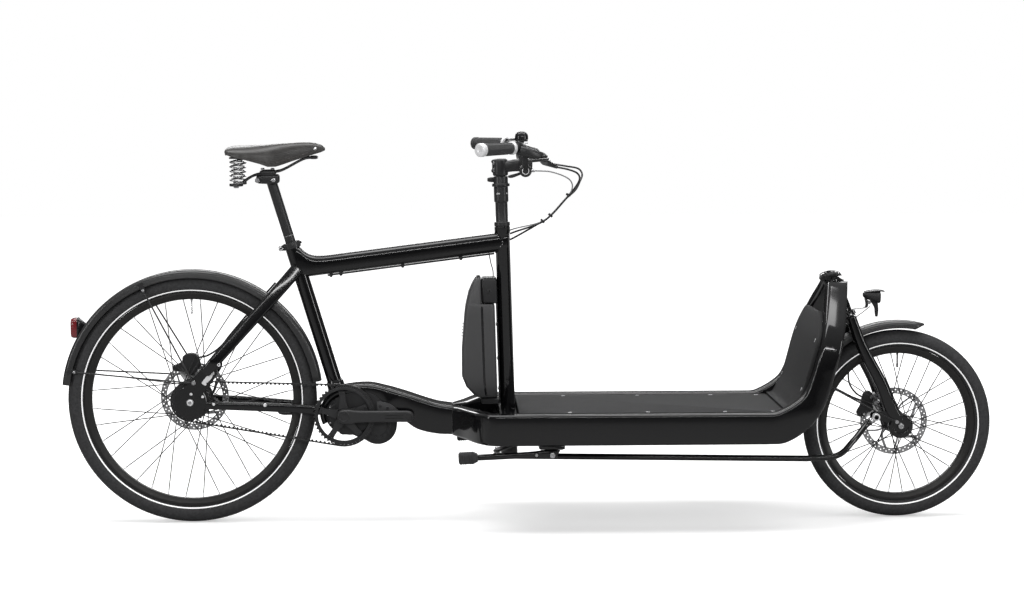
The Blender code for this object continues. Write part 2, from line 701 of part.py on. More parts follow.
def belt_point(distance):
    """Place on the pitch line and the outward normal there.

    Distance runs from the top of the front sprocket round its front, along the
    lower run, round the rear sprocket and back along the upper run.
    """
    up_turn, low_turn, straight, front_wrap, rear_wrap = belt_path()
    total = BELT_TEETH * BELT_PITCH
    distance %= total
    front = FRONT_PITCH_R * front_wrap
    rear = REAR_PITCH_R * rear_wrap
    if distance < front:
        turn = up_turn - distance / FRONT_PITCH_R
        out = Vector((math.cos(turn), 0, math.sin(turn)))
        return BB + out * FRONT_PITCH_R, out
    distance -= front
    if distance < straight:
        turn = up_turn - front_wrap
        out = Vector((math.cos(turn), 0, math.sin(turn)))
        along = Vector((out.z, 0, -out.x))
        return BB + out * FRONT_PITCH_R + along * distance, out
    distance -= straight
    if distance < rear:
        turn = up_turn - front_wrap - distance / REAR_PITCH_R
        out = Vector((math.cos(turn), 0, math.sin(turn)))
        return REAR_AXLE + out * REAR_PITCH_R, out
    distance -= rear
    out = Vector((math.cos(up_turn), 0, math.sin(up_turn)))
    along = Vector((out.z, 0, -out.x))
    return REAR_AXLE + out * REAR_PITCH_R + along * distance, out


def make_belt():
    """Toothed belt, one tooth for each pitch of its loop."""
    bm = bmesh.new()
    sides = []
    for y in (BELT_LINE - BELT_W / 2, BELT_LINE + BELT_W / 2):
        teeth = []
        for i in range(BELT_TEETH):
            middle = (i + 0.5) * BELT_PITCH
            row = []
            for away, depth in ((-TOOTH_BASE / 2, BELT_LAND), (-TOOTH_TIP / 2, BELT_LAND + TOOTH_H),
                                (TOOTH_TIP / 2, BELT_LAND + TOOTH_H), (TOOTH_BASE / 2, BELT_LAND),
                                (0, -BELT_BACK)):
                place, out = belt_point(middle + (0 if depth > BELT_LAND else away))
                if depth > BELT_LAND:
                    place = place + Vector((out.z, 0, -out.x)) * away
                row.append(bm.verts.new(place - out * depth + Y * y))
            teeth.append(row)
        sides.append(teeth)
    for i in range(BELT_TEETH):
        j = (i + 1) % BELT_TEETH
        near, far = sides
        loop = ((0, 1), (1, 2), (2, 3))
        for a, b in loop:
            bm.faces.new((near[i][a], near[i][b], far[i][b], far[i][a]))
        bm.faces.new((near[i][3], near[j][0], far[j][0], far[i][3]))
        bm.faces.new((near[i][4], near[j][4], far[j][4], far[i][4]))
        for teeth in sides:
            bm.faces.new((teeth[i][0], teeth[i][1], teeth[i][2], teeth[i][3]))
            bm.faces.new((teeth[i][0], teeth[i][3], teeth[i][4]))
            bm.faces.new((teeth[i][3], teeth[j][0], teeth[j][4], teeth[i][4]))
    return add_object("belt", bm, BELT_RUBBER)


CRANK_IN = BELT_LINE - BELT_W / 2 - 4.5


def make_crank(name, side, along):
    """Crank arm, tapered to the pedal eye; the right one carries the axle."""
    inner = abs(CRANK_IN)
    way = X * along
    rows = ((-14, 24, 6, 18), (0, 34, 8, 20), (22, 34, 8, 20), (45, 24, 10, 17), (CRANK_LEN - 6, 26, 13, 14),
            (CRANK_LEN + 12, 14, 13, 12))
    rings = []
    for ahead, wide, out, thick in rows:
        middle = BB + way * ahead + point(0, side * (inner + out - 6 + thick / 2), 0)
        rings.append(section(middle, Z, Y, wide, thick, 5))
    arm = loft(name, rings, BLACK_METAL)
    eye = turned(name + "_eye", BB + way * CRANK_LEN - Y * 100, Y, [(0, 6.8), (200, 6.8)], BLACK_METAL, 10)
    cut(arm, eye)
    boss = turned(name + "_boss", BB + Y * side * (inner + 2), Y * side, [(0, 16), (20, 16)],
                  BLACK_METAL, 12)
    weld(arm, boss)
    if side < 0:
        low = -inner - 6
        axle = turned(name + "_axle", BB + Y * low, Y, [(0, 12), (2 * inner + 18, 12)], BLACK_METAL, 12)
        spider = []
        for i in range(5):
            turn = 2 * math.pi * (i + 0.3) / 5
            start = BB + point(12 * math.cos(turn), 0, 12 * math.sin(turn))
            end = BB + point((FRONT_PITCH_R - 16) * math.cos(turn), 0, (FRONT_PITCH_R - 16) * math.sin(turn))
            across = (end - start).cross(Y).normalized()
            outline = [(p.x, p.z) for p in (start + across * 11, end + across * 8, end - across * 8,
                                            start - across * 11)]
            spider.append(plate(f"{name}_spider_{i}", outline, -inner - 3, -inner + 1.5, BLACK_METAL))
        weld(arm, axle, *spider)
    else:
        socket = turned(name + "_socket", BB, Y, [(0, 12 + GAP), (inner + 12 + GAP, 12 + GAP)], BLACK_METAL, 12)
        cut(arm, socket)
    return arm


def make_rear_axle():
    """Fixed axle with its spacers inside the dropouts and a nut outside each."""
    drop = DROPOUT_IN + DROPOUT_T + GAP
    seat = REAR_OLD / 2
    half = [(48, AXLE_R), (48, 9), (seat, 9), (seat, AXLE_R), (drop, AXLE_R), (drop, 9.5),
            (drop + 9, 9.5)]
    profile = [(-along, radius) for along, radius in reversed(half)] + half
    return turned("rear_axle", REAR_AXLE, Y, profile, STEEL, 8)


def make_fork():
    """Fork: steerer, crown, two raked legs with dropouts and the through axle."""
    crown = on_head_axis(HEAD_LOW - 14)
    steerer = turned("fork", on_head_axis(HEAD_LOW - 20), HEAD_UP,
                     [(0, 14.9), ((HEAD_HIGH - HEAD_LOW) / HEAD_UP.z + 24, 14.9)], BLACK_PAINT, 16)
    half = 56.0
    bridge = loft("fork_crown", [section(crown + Y * y, Y.cross(HEAD_UP), HEAD_UP, wide, high, 8)
                                 for y, wide, high in ((-half - 8, 26, 24), (-30, 36, 24), (0, 44, 26),
                                                       (30, 36, 24), (half + 8, 26, 24))], BLACK_PAINT)
    seat = turned("fork_seat", on_head_axis(HEAD_LOW - 16), HEAD_UP, [(0, 21), (15 - GAP, 21)],
                  BLACK_PAINT, 18)
    legs = []
    for side in (-1, 1):
        top = crown + point(4, side * half, 4)
        route = smooth([top, crown + point(34, side * (half + 1), -74), crown + point(84, side * (half + 1), -168),
                        FRONT_AXLE + point(-26, side * (FRONT_OLD / 2 + 5.5), 44),
                        FRONT_AXLE + point(2, side * (FRONT_OLD / 2 + 5.5), -8)], 1)
        rings = []
        for i, (centre, way) in enumerate(zip(route, directions(route))):
            along = i / (len(route) - 1)
            deep = Y.cross(way).normalized()
            across = way.cross(deep)
            narrow = 22 if along < 0.6 else 22 - (along - 0.6) * 34
            rings.append(section(centre, across, deep, narrow, 27 + 9 * along, 6))
        legs.append(loft(f"fork_leg_{side}", rings, BLACK_PAINT))
        disc = turned(f"fork_dropout_{side}", FRONT_AXLE + Y * side * (FRONT_OLD / 2 + GAP), Y * side,
                      [(0, 33), (9, 33), (12, 28)], BLACK_PAINT, 12)
        legs.append(disc)
    axle = turned("fork_axle", FRONT_AXLE - Y * 60, Y, [(0, 7.6), (120, 7.6)], STEEL, 10)
    lug = plate("fork_steering_lug", arc(ROD_END.x, ROD_END.z, 11, 100, 290, 8) +
                [(ROD_END.x + 40, ROD_END.z - 20), (ROD_END.x + 52, ROD_END.z + 14)],
                -FRONT_OLD / 2 - 11, -FRONT_OLD / 2 - 4, BLACK_PAINT)
    stud = turned("fork_steering_stud", point(ROD_END.x, -FRONT_OLD / 2 - 6, ROD_END.z), -Y,
                  [(0, 4), (17, 4), (20.6, 1.6)], STEEL, 8)
    return weld(steerer, bridge, seat, *legs, axle, lug, stud)


ROD_Z = 181.0
ROD_R = 8.0
ROD_END = FRONT_AXLE + Vector((-71, -76, 28))
ARM_BACK = 34.0
SHAFT_LOW = 186.0
ARM_OUT = 76.0


def rod_start():
    foot = on_column(ROD_Z)
    return foot + point(-ARM_BACK, -ARM_OUT, 0)


def make_steering_rod():
    """Rod from the column's arm under the deck to the fork, bent round the tyre."""
    start = rod_start()
    front = DECK_FRONT
    points = [start + point(5, -0.5, 0), start + point(120, -12, 0), point(front + 60, -150, ROD_Z - 1),
              point(front + 140, -149, ROD_Z + 6), point(front + 185, -128, ROD_Z + 40),
              point(front + 222, -95, ROD_Z + 74), ROD_END + point(-16, -14, -12)]
    route = points[:2] + smooth(points[2:], 2)
    rod = tube("steering_rod", route, ROD_R, BLACK_PAINT, 6)
    rear_eye = turned("steering_rod_rear_eye", start - Z * 8.5, Z, [(0, 11), (17, 11)], STEEL, 12)
    front_eye = turned("steering_rod_front_eye", ROD_END + Y * -2.5, -Y, [(0, 10), (16, 10)], STEEL, 10)
    link = tube("steering_rod_link", [points[-1], ROD_END + point(-2, -10.5, 0)], 6.5, STEEL, 8)
    rear_hole = turned("steering_rod_rear_hole", start - Z * 30, Z, [(0, 4.7), (60, 4.7)], STEEL, 8)
    front_hole = turned("steering_rod_front_hole", ROD_END + Y * 30, -Y, [(0, 5.6), (80, 5.6)], STEEL, 8)
    return cut(weld(rod, rear_eye, link, front_eye), rear_hole, front_hole)


def make_steering_shaft():
    """Steering shaft through the column, up to the height sleeve and its clamp."""
    low = SHAFT_LOW
    top = COLUMN_TOP
    profile = [(0, 15), (top + GAP - low, 15), (top + GAP - low, 20.5), (top + 11 - low, 20.5),
               (top + 12 - low, 16), (top + 64 - low, 16), (top + 66 - low, 18.5), (top + 104 - low, 18.5),
               (top + 105 - low, 23), (top + 112 - low, 23), (top + 113 - low, 19), (top + 131 - low, 19)]
    shaft = turned("steering_shaft", on_column(low), COLUMN_UP, profile, BLACK_METAL, 12)
    bore = turned("steering_shaft_bore", on_column(top - 70), COLUMN_UP, [(0, 13), (300, 13)], BLACK_METAL, 12)
    lever = loft("height_lever", [section(on_column(top + 122) + point(x, 0, 0), Y, Z, wide, high, 2, 1)
                                  for x, wide, high in ((-16, 12, 12), (-28, 16, 12), (-34, 14, 9))], BLACK_METAL)
    return cut(weld(shaft, lever), bore)


def make_steering_arm():
    """Arm clamped under the column that pushes the steering rod."""
    foot = on_column(ROD_Z)
    start = rod_start()
    collar = turned("steering_arm", foot + Z * -6, COLUMN_UP, [(0, 22), (24, 22)], BLACK_METAL, 14)
    way = (start - foot).normalized()
    across = way.cross(Z)
    rings = [section(foot + way * d + Z * 14, across, Z, wide, 7, 2, 1)
             for d, wide in ((6, 34), (30, 26), (76, 20), (94, 14))]
    arm = loft("steering_arm_blade", rings, BLACK_METAL)
    stud = turned("steering_arm_stud", start - Z * 10, Z, [(0, 4), (24, 4)], STEEL, 8)
    socket = turned("steering_arm_socket", on_column(SHAFT_LOW - GAP), COLUMN_UP, [(0, 15 + GAP), (40, 15 + GAP)],
                    BLACK_METAL, 12)
    return cut(weld(collar, arm, stud), socket)


def fender_ring(centre, angle, radius, half, skirt):
    """Cross-section of a mudguard shell at an angle round the wheel."""
    turn = math.radians(angle)
    out = Vector((math.cos(turn), 0, math.sin(turn)))
    side = half * 0.6
    outer = [(-half, radius - skirt), (-half, radius - 9), (-side, radius), (side, radius),
             (half, radius - 9), (half, radius - skirt)]
    inner = [(y * (half - FENDER_T) / half, r - FENDER_T) for y, r in reversed(outer[1:-1])]
    ends = [(half - FENDER_T, radius - skirt), *inner, (FENDER_T - half, radius - skirt)]
    return [centre + out * r + Y * y for y, r in outer + ends]


def make_fender(name, centre, radius, half, skirt, start, end, step):
    count = round((end - start) / step)
    rings = [fender_ring(centre, start + (end - start) * i / count, radius, half, skirt)
             for i in range(count + 1)]
    return loft(name, rings, BLACK_PLASTIC)


EYELET = REAR_AXLE + Vector((10, 0, 52))


def make_tail_light():
    """Lamp on the mudguard's back, its lens facing rearwards."""
    turn = math.radians(147.5)
    seat = REAR_AXLE + point(FENDER_REACH * math.cos(turn), 0, FENDER_REACH * math.sin(turn))
    body = loft("tail_light", [section(seat + point(x, 0, 2), Y, Z, wide, high, 7)
                               for x, wide, high in ((28, 22, 30), (14, 34, 44), (-14, 40, 54), (-22, 36, 50))],
                BLACK_PLASTIC)
    lens = loft("tail_lens", [section(seat + point(x, 0, 2), Y, Z, wide, high, 7)
                              for x, wide, high in ((-20, 30, 44), (-27, 26, 40))], LENS_RED)
    clear = turned("tail_light_cut", REAR_AXLE - Y * 60, Y, [(0, FENDER_REACH + 0.5), (120, FENDER_REACH + 0.5)],
                   BLACK_PLASTIC, 150)
    return cut(weld(body, lens), clear)


def make_rear_fender():
    """Mudguard shell with its two wire stays bolted through the skirts."""
    shell = make_fender("rear_fender", REAR_AXLE, FENDER_REACH, FENDER_HALF, 30, 8, 173, 11)
    foot_y = DROPOUT_IN + DROPOUT_T + GAP + 2
    wires = []
    for side in (-1, 1):
        foot = point(EYELET.x, side * foot_y, EYELET.z)
        wires.append(turned(f"rear_fender_eye_{side}", foot - Y * side * 2, Y * side, [(0, 6), (5, 6)],
                            STEEL, 8))
        for angle in (113, 166):
            turn = math.radians(angle)
            tip = REAR_AXLE + point(318 * math.cos(turn), side * (FENDER_HALF + 1.4), 318 * math.sin(turn))
            bend = foot + point(tip.x - foot.x, 0, tip.z - foot.z).normalized() * 44
            wires.append(tube(f"rear_fender_wire_{side}_{angle}", [foot, bend, tip], 2.2, STEEL, 4))
    return weld(shell, *wires)


FRONT_FENDER_R = FRONT_R + 25
FRONT_FENDER_HALF = 28.0


def make_front_fender():
    """Short front mudguard whose stays run back from the fork ends."""
    shell = make_fender("front_fender", FRONT_AXLE, FRONT_FENDER_R, FRONT_FENDER_HALF, 21, 75.5, 172, 12)
    foot_y = FRONT_OLD / 2 + GAP + 12 + GAP + 5
    wires = []
    for side in (-1, 1):
        foot = FRONT_AXLE + point(-12, side * foot_y, 12)
        bend = FRONT_AXLE + point(-78, side * foot_y, 46)
        turn = math.radians(151)
        tip = FRONT_AXLE + point(260 * math.cos(turn), side * (FRONT_FENDER_HALF + 1), 260 * math.sin(turn))
        wires.append(turned(f"front_fender_eye_{side}", foot - Y * side * 5, Y * side, [(0, 5), (8, 5)],
                            STEEL, 8))
        wires.append(tube(f"front_fender_wire_{side}", [foot, bend, tip], 2.2, STEEL, 4))
    return weld(shell, *wires)


def make_caliper(name, centre, lean, inner, outer, ear, mount_y):
    """Disc caliper: a body straddling the rotor and a plate to its frame boss."""
    turn = math.radians(lean)
    along = point(math.cos(turn), 0, math.sin(turn))
    out = Y.cross(along)
    shape = ((-36, -16), (-28, -24), (26, -24), (36, -12), (34, 12), (20, 25), (-14, 28), (-34, 14))
    outline = [centre + along * a + out * b for a, b in shape]
    body = plate(name, [(p.x, p.z) for p in outline], inner, outer, BLACK_METAL)
    tabs = plate(name + "_mount", ear, mount_y[0], mount_y[1], STEEL)
    return weld(body, tabs)


def disc_space(name, axle, disc_y):
    """Room that a caliper leaves for its brake disc."""
    return turned(name + "_disc", axle + Y * (disc_y - DISC_ROOM), Y,
                  [(0, ROTOR_R + 2), (ROTOR_T + 2 * DISC_ROOM, ROTOR_R + 2)], BLACK_METAL, 28)


def make_rear_caliper():
    centre = REAR_AXLE + point(-20, 0, 83)
    ear = [(REAR_AXLE.x + x, REAR_AXLE.z + z) for x, z in ((-48, 70), (-16, 22), (8, 30), (14, 84))]
    body = make_caliper("rear_caliper", centre, 14, 38, 60, ear, (56, DROPOUT_IN - GAP))
    piston = turned("rear_caliper_piston", centre + Y * 58, Y, [(0, 15), (6, 15), (8, 12)], BLACK_METAL, 14)
    return cut(weld(body, piston), disc_space("rear_caliper", REAR_AXLE, REAR_DISC_Y))


def make_front_caliper():
    centre = FRONT_AXLE + point(-72, 0, 44)
    ear = [(FRONT_AXLE.x + x, FRONT_AXLE.z + z) for x, z in ((-78, 62), (-70, 10), (-34, 34), (-52, 78))]
    body = make_caliper("front_caliper", centre, 58, 27, 43.6, ear, (40, 46.7))
    return cut(body, disc_space("front_caliper", FRONT_AXLE, FRONT_DISC_Y))


def make_headlight():
    """Lamp on a strip bolted to the fork crown, lens forward."""
    centre = on_head_axis(HEAD_LOW) + point(75, 0, 36)
    lamp = turned("headlight", centre - X * 26, X, [(0, 9), (8, 16), (26, 20), (44, 21.5), (50, 19)],
                  BLACK_PLASTIC, 14)
    front = on_head_axis(HEAD_LOW - 12) + Y.cross(HEAD_UP) * (24 + GAP)
    strip = loft("headlight_strip", [section(front + HEAD_UP * -6, Y, X, 20, 3), section(front + HEAD_UP * 10, Y, X, 20, 3),
                                     section(centre + point(-5, 0, -24), Y, X, 16, 4), section(centre + point(-3, 0, -12), Y, X, 16, 4)],
                 BLACK_METAL)
    fin = block("headlight_fin", centre + point(7, -5, -49), centre + point(19, 5, -14), BLACK_METAL)
    return weld(lamp, strip, fin)


STAND_PIVOT = Vector((50, 0, 205))
STAND_LEG = 241.0
STAND_OUT = 200.0
STAND_CHEEK = 172.0


def make_kickstand_bracket():
    """Plate bolted under both rails with two cheeks that hold the stand's shaft."""
    base = block("kickstand_bracket", (STAND_PIVOT.x - 34, -RAIL_OUT + 6, DECK_Z - RAIL_H - GAP - 8),
                 (STAND_PIVOT.x + 32, RAIL_OUT - 6, DECK_Z - RAIL_H - GAP), BLACK_PAINT)
    cheeks = []
    outline = [(STAND_PIVOT.x + x, STAND_PIVOT.z + z) for x, z in ((-30, 17), (-14, -14), (12, -16), (28, 17))]
    for side in (-1, 1):
        cheeks.append(plate(f"kickstand_cheek_{side}", outline, side * STAND_CHEEK - 4, side * STAND_CHEEK + 4,
                            BLACK_PAINT))
    hole = turned("kickstand_hole", STAND_PIVOT - Y * 300, Y, [(0, 8.9), (600, 8.9)], BLACK_PAINT, 10)
    return cut(weld(base, *cheeks), hole)


def make_kickstand():
    """Twin-leg stand: cross shaft, two legs folded back and a rubber foot on each."""
    shaft = turned("kickstand", STAND_PIVOT - Y * (RAIL_OUT - 6), Y, [(0, 8), (2 * RAIL_OUT - 12, 8)], BLACK_PAINT, 10)
    pieces = []
    lean = math.radians(182.5)
    way = point(math.cos(lean), 0, math.sin(lean))
    up = Y.cross(way)
    for side in (-1, 1):
        pivot = STAND_PIVOT + Y * side * STAND_OUT
        rows = ((-12, 22, 20), (14, 24, 22), (60, 18, 16), (STAND_LEG - 44, 16, 15))
        pieces.append(loft(f"kickstand_leg_{side}", [section(pivot + way * d, Y, up, wide, high)
                                                     for d, wide, high in rows], BLACK_PAINT))
        foot = ((STAND_LEG - 48, 22, 22), (STAND_LEG - 40, 30, 28), (STAND_LEG - 8, 34, 30), (STAND_LEG, 26, 22))
        pieces.append(loft(f"kickstand_foot_{side}", [section(pivot + way * d, Y, up, wide, high, 6)
                                                      for d, wide, high in foot], TYRE_RUBBER))
    return weld(shaft, *pieces)


BATTERY_HALF = 44.0
DOCK_HALF = 22.0
DOCK_T = 7.0


def behind_column(height, reach):
    """X of a point that far behind the column's middle line."""
    return on_column(height).x - reach


def make_battery_dock():
    """Rail up the back of the column, a cradle below and a lock box above."""
    seat = COLUMN_R + GAP
    rings = [section(point(behind_column(z, seat + DOCK_T / 2), 0, z), Y, X, 2 * DOCK_HALF, DOCK_T)
             for z in (DECK_Z + 4, DECK_Z + 330)]
    rail = loft("battery_dock", rings, BLACK_PLASTIC)
    low = DECK_Z + 2
    cradle = block("battery_cradle", (behind_column(low, 70), -34, low), (behind_column(low, seat + 3), 34, low + 14),
                   BLACK_PLASTIC)
    rows = ((DECK_Z + 268, seat + 1, 26), (DECK_Z + 276, seat + 1, 32), (DECK_Z + 326, seat + 1, 32),
            (DECK_Z + 335, seat + 3, 26))
    rings = []
    for z, near, half in rows:
        rear = behind_column(z, 58)
        front = behind_column(z, near)
        rings.append(section(point((rear + front) / 2, 0, z), Y, X, 2 * half, front - rear, 6))
    box = loft("battery_lock", rings, BLACK_PLASTIC)
    return weld(rail, cradle, box)


def make_battery():
    """Battery pack with a sloping shoulder that leaves room for the lock box."""
    near = COLUMN_R + GAP + DOCK_T + GAP
    step = 61.0
    rows = ((19, 82, near, 34), (31, 94, near, 40), (75, 119, near, BATTERY_HALF), (144, 117, near, BATTERY_HALF),
            (237, 107, near, BATTERY_HALF), (262, 103, near, BATTERY_HALF), (267, 101, step, BATTERY_HALF - 1),
            (297, 94, step, 40), (336, 73, step, 30))
    rings = []
    for above, far, close, half in rows:
        z = DECK_Z + above
        rear = behind_column(z, far)
        front = behind_column(z, close)
        rings.append(section(point((rear + front) / 2, 0, z), Y, X, 2 * half, front - rear, 9))
    return loft("battery", rings, BLACK_PLASTIC)


def make_seat_collar():
    """Clamp ring round the seat tube's mouth, its split ears at the back."""
    at = on_seat_line(SEAT_TUBE_END - 14)
    ring = turned("seat_collar", at, SEAT_UP, [(0, SEAT_TUBE_R + GAP), (0, 23.5), (16, 23.5),
                                               (16, SEATPOST_R + GAP), (14 + GAP, SEATPOST_R + GAP),
                                               (14 + GAP, SEAT_TUBE_R + GAP)], BLACK_METAL, 18, ring=True)
    behind = Y.cross(SEAT_UP) * -1
    ears = loft("seat_collar_ears", [section(at + behind * d + SEAT_UP * 8, Y, SEAT_UP, 20, 13, 3)
                                     for d in (21.5, 35)], BLACK_METAL)
    slit = loft("seat_collar_slit", [section(at + behind * d + SEAT_UP * 8, Y, SEAT_UP, 2.4, 40)
                                     for d in (12, 40)], BLACK_METAL)
    nut = turned("seat_collar_nut", at + behind * 29 + SEAT_UP * 8 - Y * 9, -Y, [(0, 6), (5, 6)], CHROME, 6)
    return cut(weld(ring, ears, nut), slit)


def clamp_cam():
    """Middle of the quick-release cam beside the collar's ears."""
    behind = Y.cross(SEAT_UP) * -1
    return on_seat_line(SEAT_TUBE_END - 14) + behind * 29 + SEAT_UP * 8 + Y * 17.5


def make_seat_clamp_lever():
    """Quick-release lever that wraps the collar's left side."""
    behind = Y.cross(SEAT_UP) * -1
    middle = clamp_cam()
    cam = turned("seat_clamp_lever", middle - SEAT_UP * 6, SEAT_UP, [(0, 7), (12, 7)], BLACK_METAL, 12)
    path = smooth([middle + Y * 0.5, middle + Y * 8.5 - behind * 14, middle + Y * 11.5 - behind * 34,
                   middle + Y * 4.5 - behind * 54], 2)
    rings = [section(p, way.cross(SEAT_UP), SEAT_UP, 4.5, high, 1.5)
             for p, way, high in zip(path, directions(path), (10, 11, 12, 12, 12, 11, 9))]
    blade = loft("seat_clamp_blade", rings, BLACK_METAL)
    return weld(cam, blade)


RAIL_GAUGE = 21.0


SADDLE_HINGE = on_seat_line(POST_TOP) + Vector((108, 0, 79))


def on_saddle(x, y, z):
    return on_seat_line(POST_TOP) + point(x, y, z)


def saddle_rail(side):
    rows = ((108, 8, 73), (81, 17, 69), (31, RAIL_GAUGE, 43), (7, RAIL_GAUGE, 36), (-40, RAIL_GAUGE, 29),
            (-64, 30, 18), (-81, 44, 4))
    return smooth([on_saddle(x, side * y, z) for x, y, z in rows], 2)


def make_seatpost():
    """Straight post with a clamp head that grips the saddle's rails."""
    post = turned("seatpost", on_seat_line(SEAT_TUBE_END - 200), SEAT_UP,
                  [(0, SEATPOST_R), (POST_TOP - SEAT_TUBE_END + 212, SEATPOST_R)], BLACK_METAL, 14)
    head = on_saddle(-12, 0, 17)
    lower = loft("seatpost_head", [section(head + X * x, Y, Z, 54, high, 5)
                                   for x, high in ((-29, 18), (-22, 24), (22, 26), (29, 20))], BLACK_METAL)
    upper = loft("seatpost_cap", [section(head + X * x + Z * 16, Y, Z, 54, high, 4)
                                  for x, high in ((-20, 10), (-14, 14), (14, 16), (20, 12))], BLACK_METAL)
    grooves = [tube(f"seatpost_groove_{side}", saddle_rail(side), 4.3, BLACK_METAL, 4) for side in (-1, 1)]
    return cut(weld(post, lower, upper), *grooves)


SPRING_BACK = 90.0
SPRING_Y = 60.0
SPRING_LOW = 11.0
SPRING_HIGH = 69.0


def make_saddle_frame():
    """Sprung saddle's wire frame: two rails, nose piece and rear bar."""
    rails = [tube("saddle_frame" if side < 0 else "saddle_rail_left", saddle_rail(side), 3.5, BLACK_METAL, 4)
             for side in (-1, 1)]
    nose = loft("saddle_nose_piece", [section(on_saddle(x, 0, 73), Y, Z, wide, 9, 2)
                                      for x, wide in ((101, 24), (115, 20))], BLACK_METAL)
    bar = loft("saddle_rear_bar", [section(on_saddle(-SPRING_BACK, y, 4), X, Z, wide, 8)
                                   for y, wide in ((-78, 16), (-66, 34), (-50, 34), (-38, 18), (38, 18), (50, 34),
                                                   (66, 34), (78, 16))], BLACK_METAL)
    return weld(rails[0], rails[1], nose, bar)


def make_spring(name, side):
    """Coil spring under the saddle's rear, wound as one unbroken wire."""
    turns = 5
    steps = 7
    wire = 2.3
    radius = 15.5
    low = SPRING_LOW + wire - 2
    high = SPRING_HIGH - wire + 2
    route = []
    for i in range(turns * steps + 1):
        angle = 2 * math.pi * i / steps
        route.append(on_saddle(radius * math.cos(angle) - SPRING_BACK, side * (SPRING_Y + radius * math.sin(angle)),
                               low + (high - low) * i / (turns * steps)))
    gap = (high - low) / turns - 2 * wire
    print(f"{name}: least gap between curls {gap:.2f} mm")
    return tube(name, route, wire, CHROME, 4)


def saddle_section(x, half, top, drop, inset):
    """Closed arch of leather at one station: outer curve out, inner curve back."""
    outer = []
    inner = []
    for i in range(7):
        turn = math.pi * i / 6
        wide = math.copysign(abs(math.cos(turn)) ** 0.7, math.cos(turn))
        outer.append(on_saddle(x, half * wide, top - drop + drop * math.sin(turn) ** 0.8))
        inner.append(on_saddle(x, (half - inset) * wide, top - drop + (drop - inset) * math.sin(turn) ** 0.8))
    return outer + inner[::-1]


def make_saddle_leather():
    rows = ((136, 12, 98, 30, 4), (126, 19, 108, 42, 4), (96, 24, 112, 52, 4.5), (51, 30, 111, 60, 4.5),
            (11, 46, 108, 62, 4.5), (-29, 72, 106, 56, 4.5), (-69, 95, 105, 46, 4.5), (-99, 102, 105, 38, 4.5),
            (-115, 98, 102, 28, 4.5))
    shell = loft("saddle_leather", [saddle_section(*row) for row in rows], LEATHER, crease=50)
    back = ((-88, 70.3), (88, 70.3), (88, 78.3), (40, 98.3), (-40, 98.3), (-88, 78.3))
    cap = loft("saddle_cantle", [[on_saddle(x, y, z) for y, z in back] for x in (-115, -107)], LEATHER)
    shelf = loft("saddle_spring_shelf", [section(on_saddle(2 - SPRING_BACK, y, 74), X, Z, 38, 5, 2)
                                         for y in (-84, 84)], BLACK_METAL)
    nose = loft("saddle_nose_cap", [section(on_saddle(x, 0, 86), Y, Z, wide, 10, 2)
                                    for x, wide in ((111, 34), (133, 20))], LEATHER)
    return weld(shell, cap, shelf, nose)


BAR_CENTRE = on_column(COLUMN_TOP + 161) + X * 61
GRIP_IN = BAR_CENTRE + point(-33, 235, 50)
GRIP_OUT = BAR_CENTRE + point(-119, BAR_HALF, 48)


def bar_route():
    """Right half reversed, then the left half, of the swept riser bar."""
    half = smooth([BAR_CENTRE + Y * 42, BAR_CENTRE + point(-3, 78, 8), BAR_CENTRE + point(-8, 132, 42),
                   BAR_CENTRE + point(-20, 196, 51), GRIP_IN], 2)
    half.append(GRIP_OUT)
    return [p for p in mirrored(half)[::-1]] + half


def make_handlebar():
    return tube("handlebar", bar_route(), BAR_R, BLACK_METAL, 8)


def make_stem():
    """Quill that slides in the height sleeve, with a clamp round the bar."""
    quill = turned("stem", on_column(COLUMN_TOP + 20), COLUMN_UP,
                   [(0, 12.2), (116, 12.2)], BLACK_METAL, 12)
    low = on_column(COLUMN_TOP + 132)
    head = turned("stem_head", low, COLUMN_UP, [(0, 18), (3, 20), (40, 20), (45, 15)], BLACK_METAL, 14)
    rows = ((-65, -6, 30, 28), (-41, -4, 34, 30), (-15, -1, 46, 32), (19, 0, 46, 34), (23, 0, 40, 28))
    body = loft("stem_body", [section(BAR_CENTRE + point(x, 0, z), Y, Z, wide, high, 6)
                              for x, z, wide, high in rows], BLACK_METAL)
    ears = loft("stem_pinch", [section(BAR_CENTRE + point(x, 0, -4), Y, Z, 20, 36, 4) for x in (-81, -55)],
                BLACK_METAL)
    seat = tube("stem_bar_hole", bar_route(), BAR_R + GAP, BLACK_METAL, 8)
    return cut(weld(quill, head, body, ears), seat)


def on_side(side, place):
    return point(place.x, side * place.y, place.z)


def make_grip(name, side):
    """Ribbed grip with a closed end, pushed over the bar."""
    start = on_side(side, GRIP_IN)
    end = on_side(side, GRIP_OUT)
    way = (end - start).normalized()
    length = (end - start).length
    grip = turned(name, start + way * 4, way, [(0, 16.6), (10, 16.6), (10, 14.4), (length - 13, GRIP_R),
                                               (length - 13, 17), (length + 1, 16.5)], GRIP_RUBBER, 12)
    bore = turned(name + "_bore", start - way * 20, way, [(0, BAR_R + GAP), (length + 20 + GAP, BAR_R + GAP)],
                  GRIP_RUBBER, 8)
    return cut(grip, bore)


def at_bars(side, x, y, z):
    return BAR_CENTRE + point(x, side * y, z)


LEVER_PIVOT = BAR_CENTRE + point(45, 200, 22)


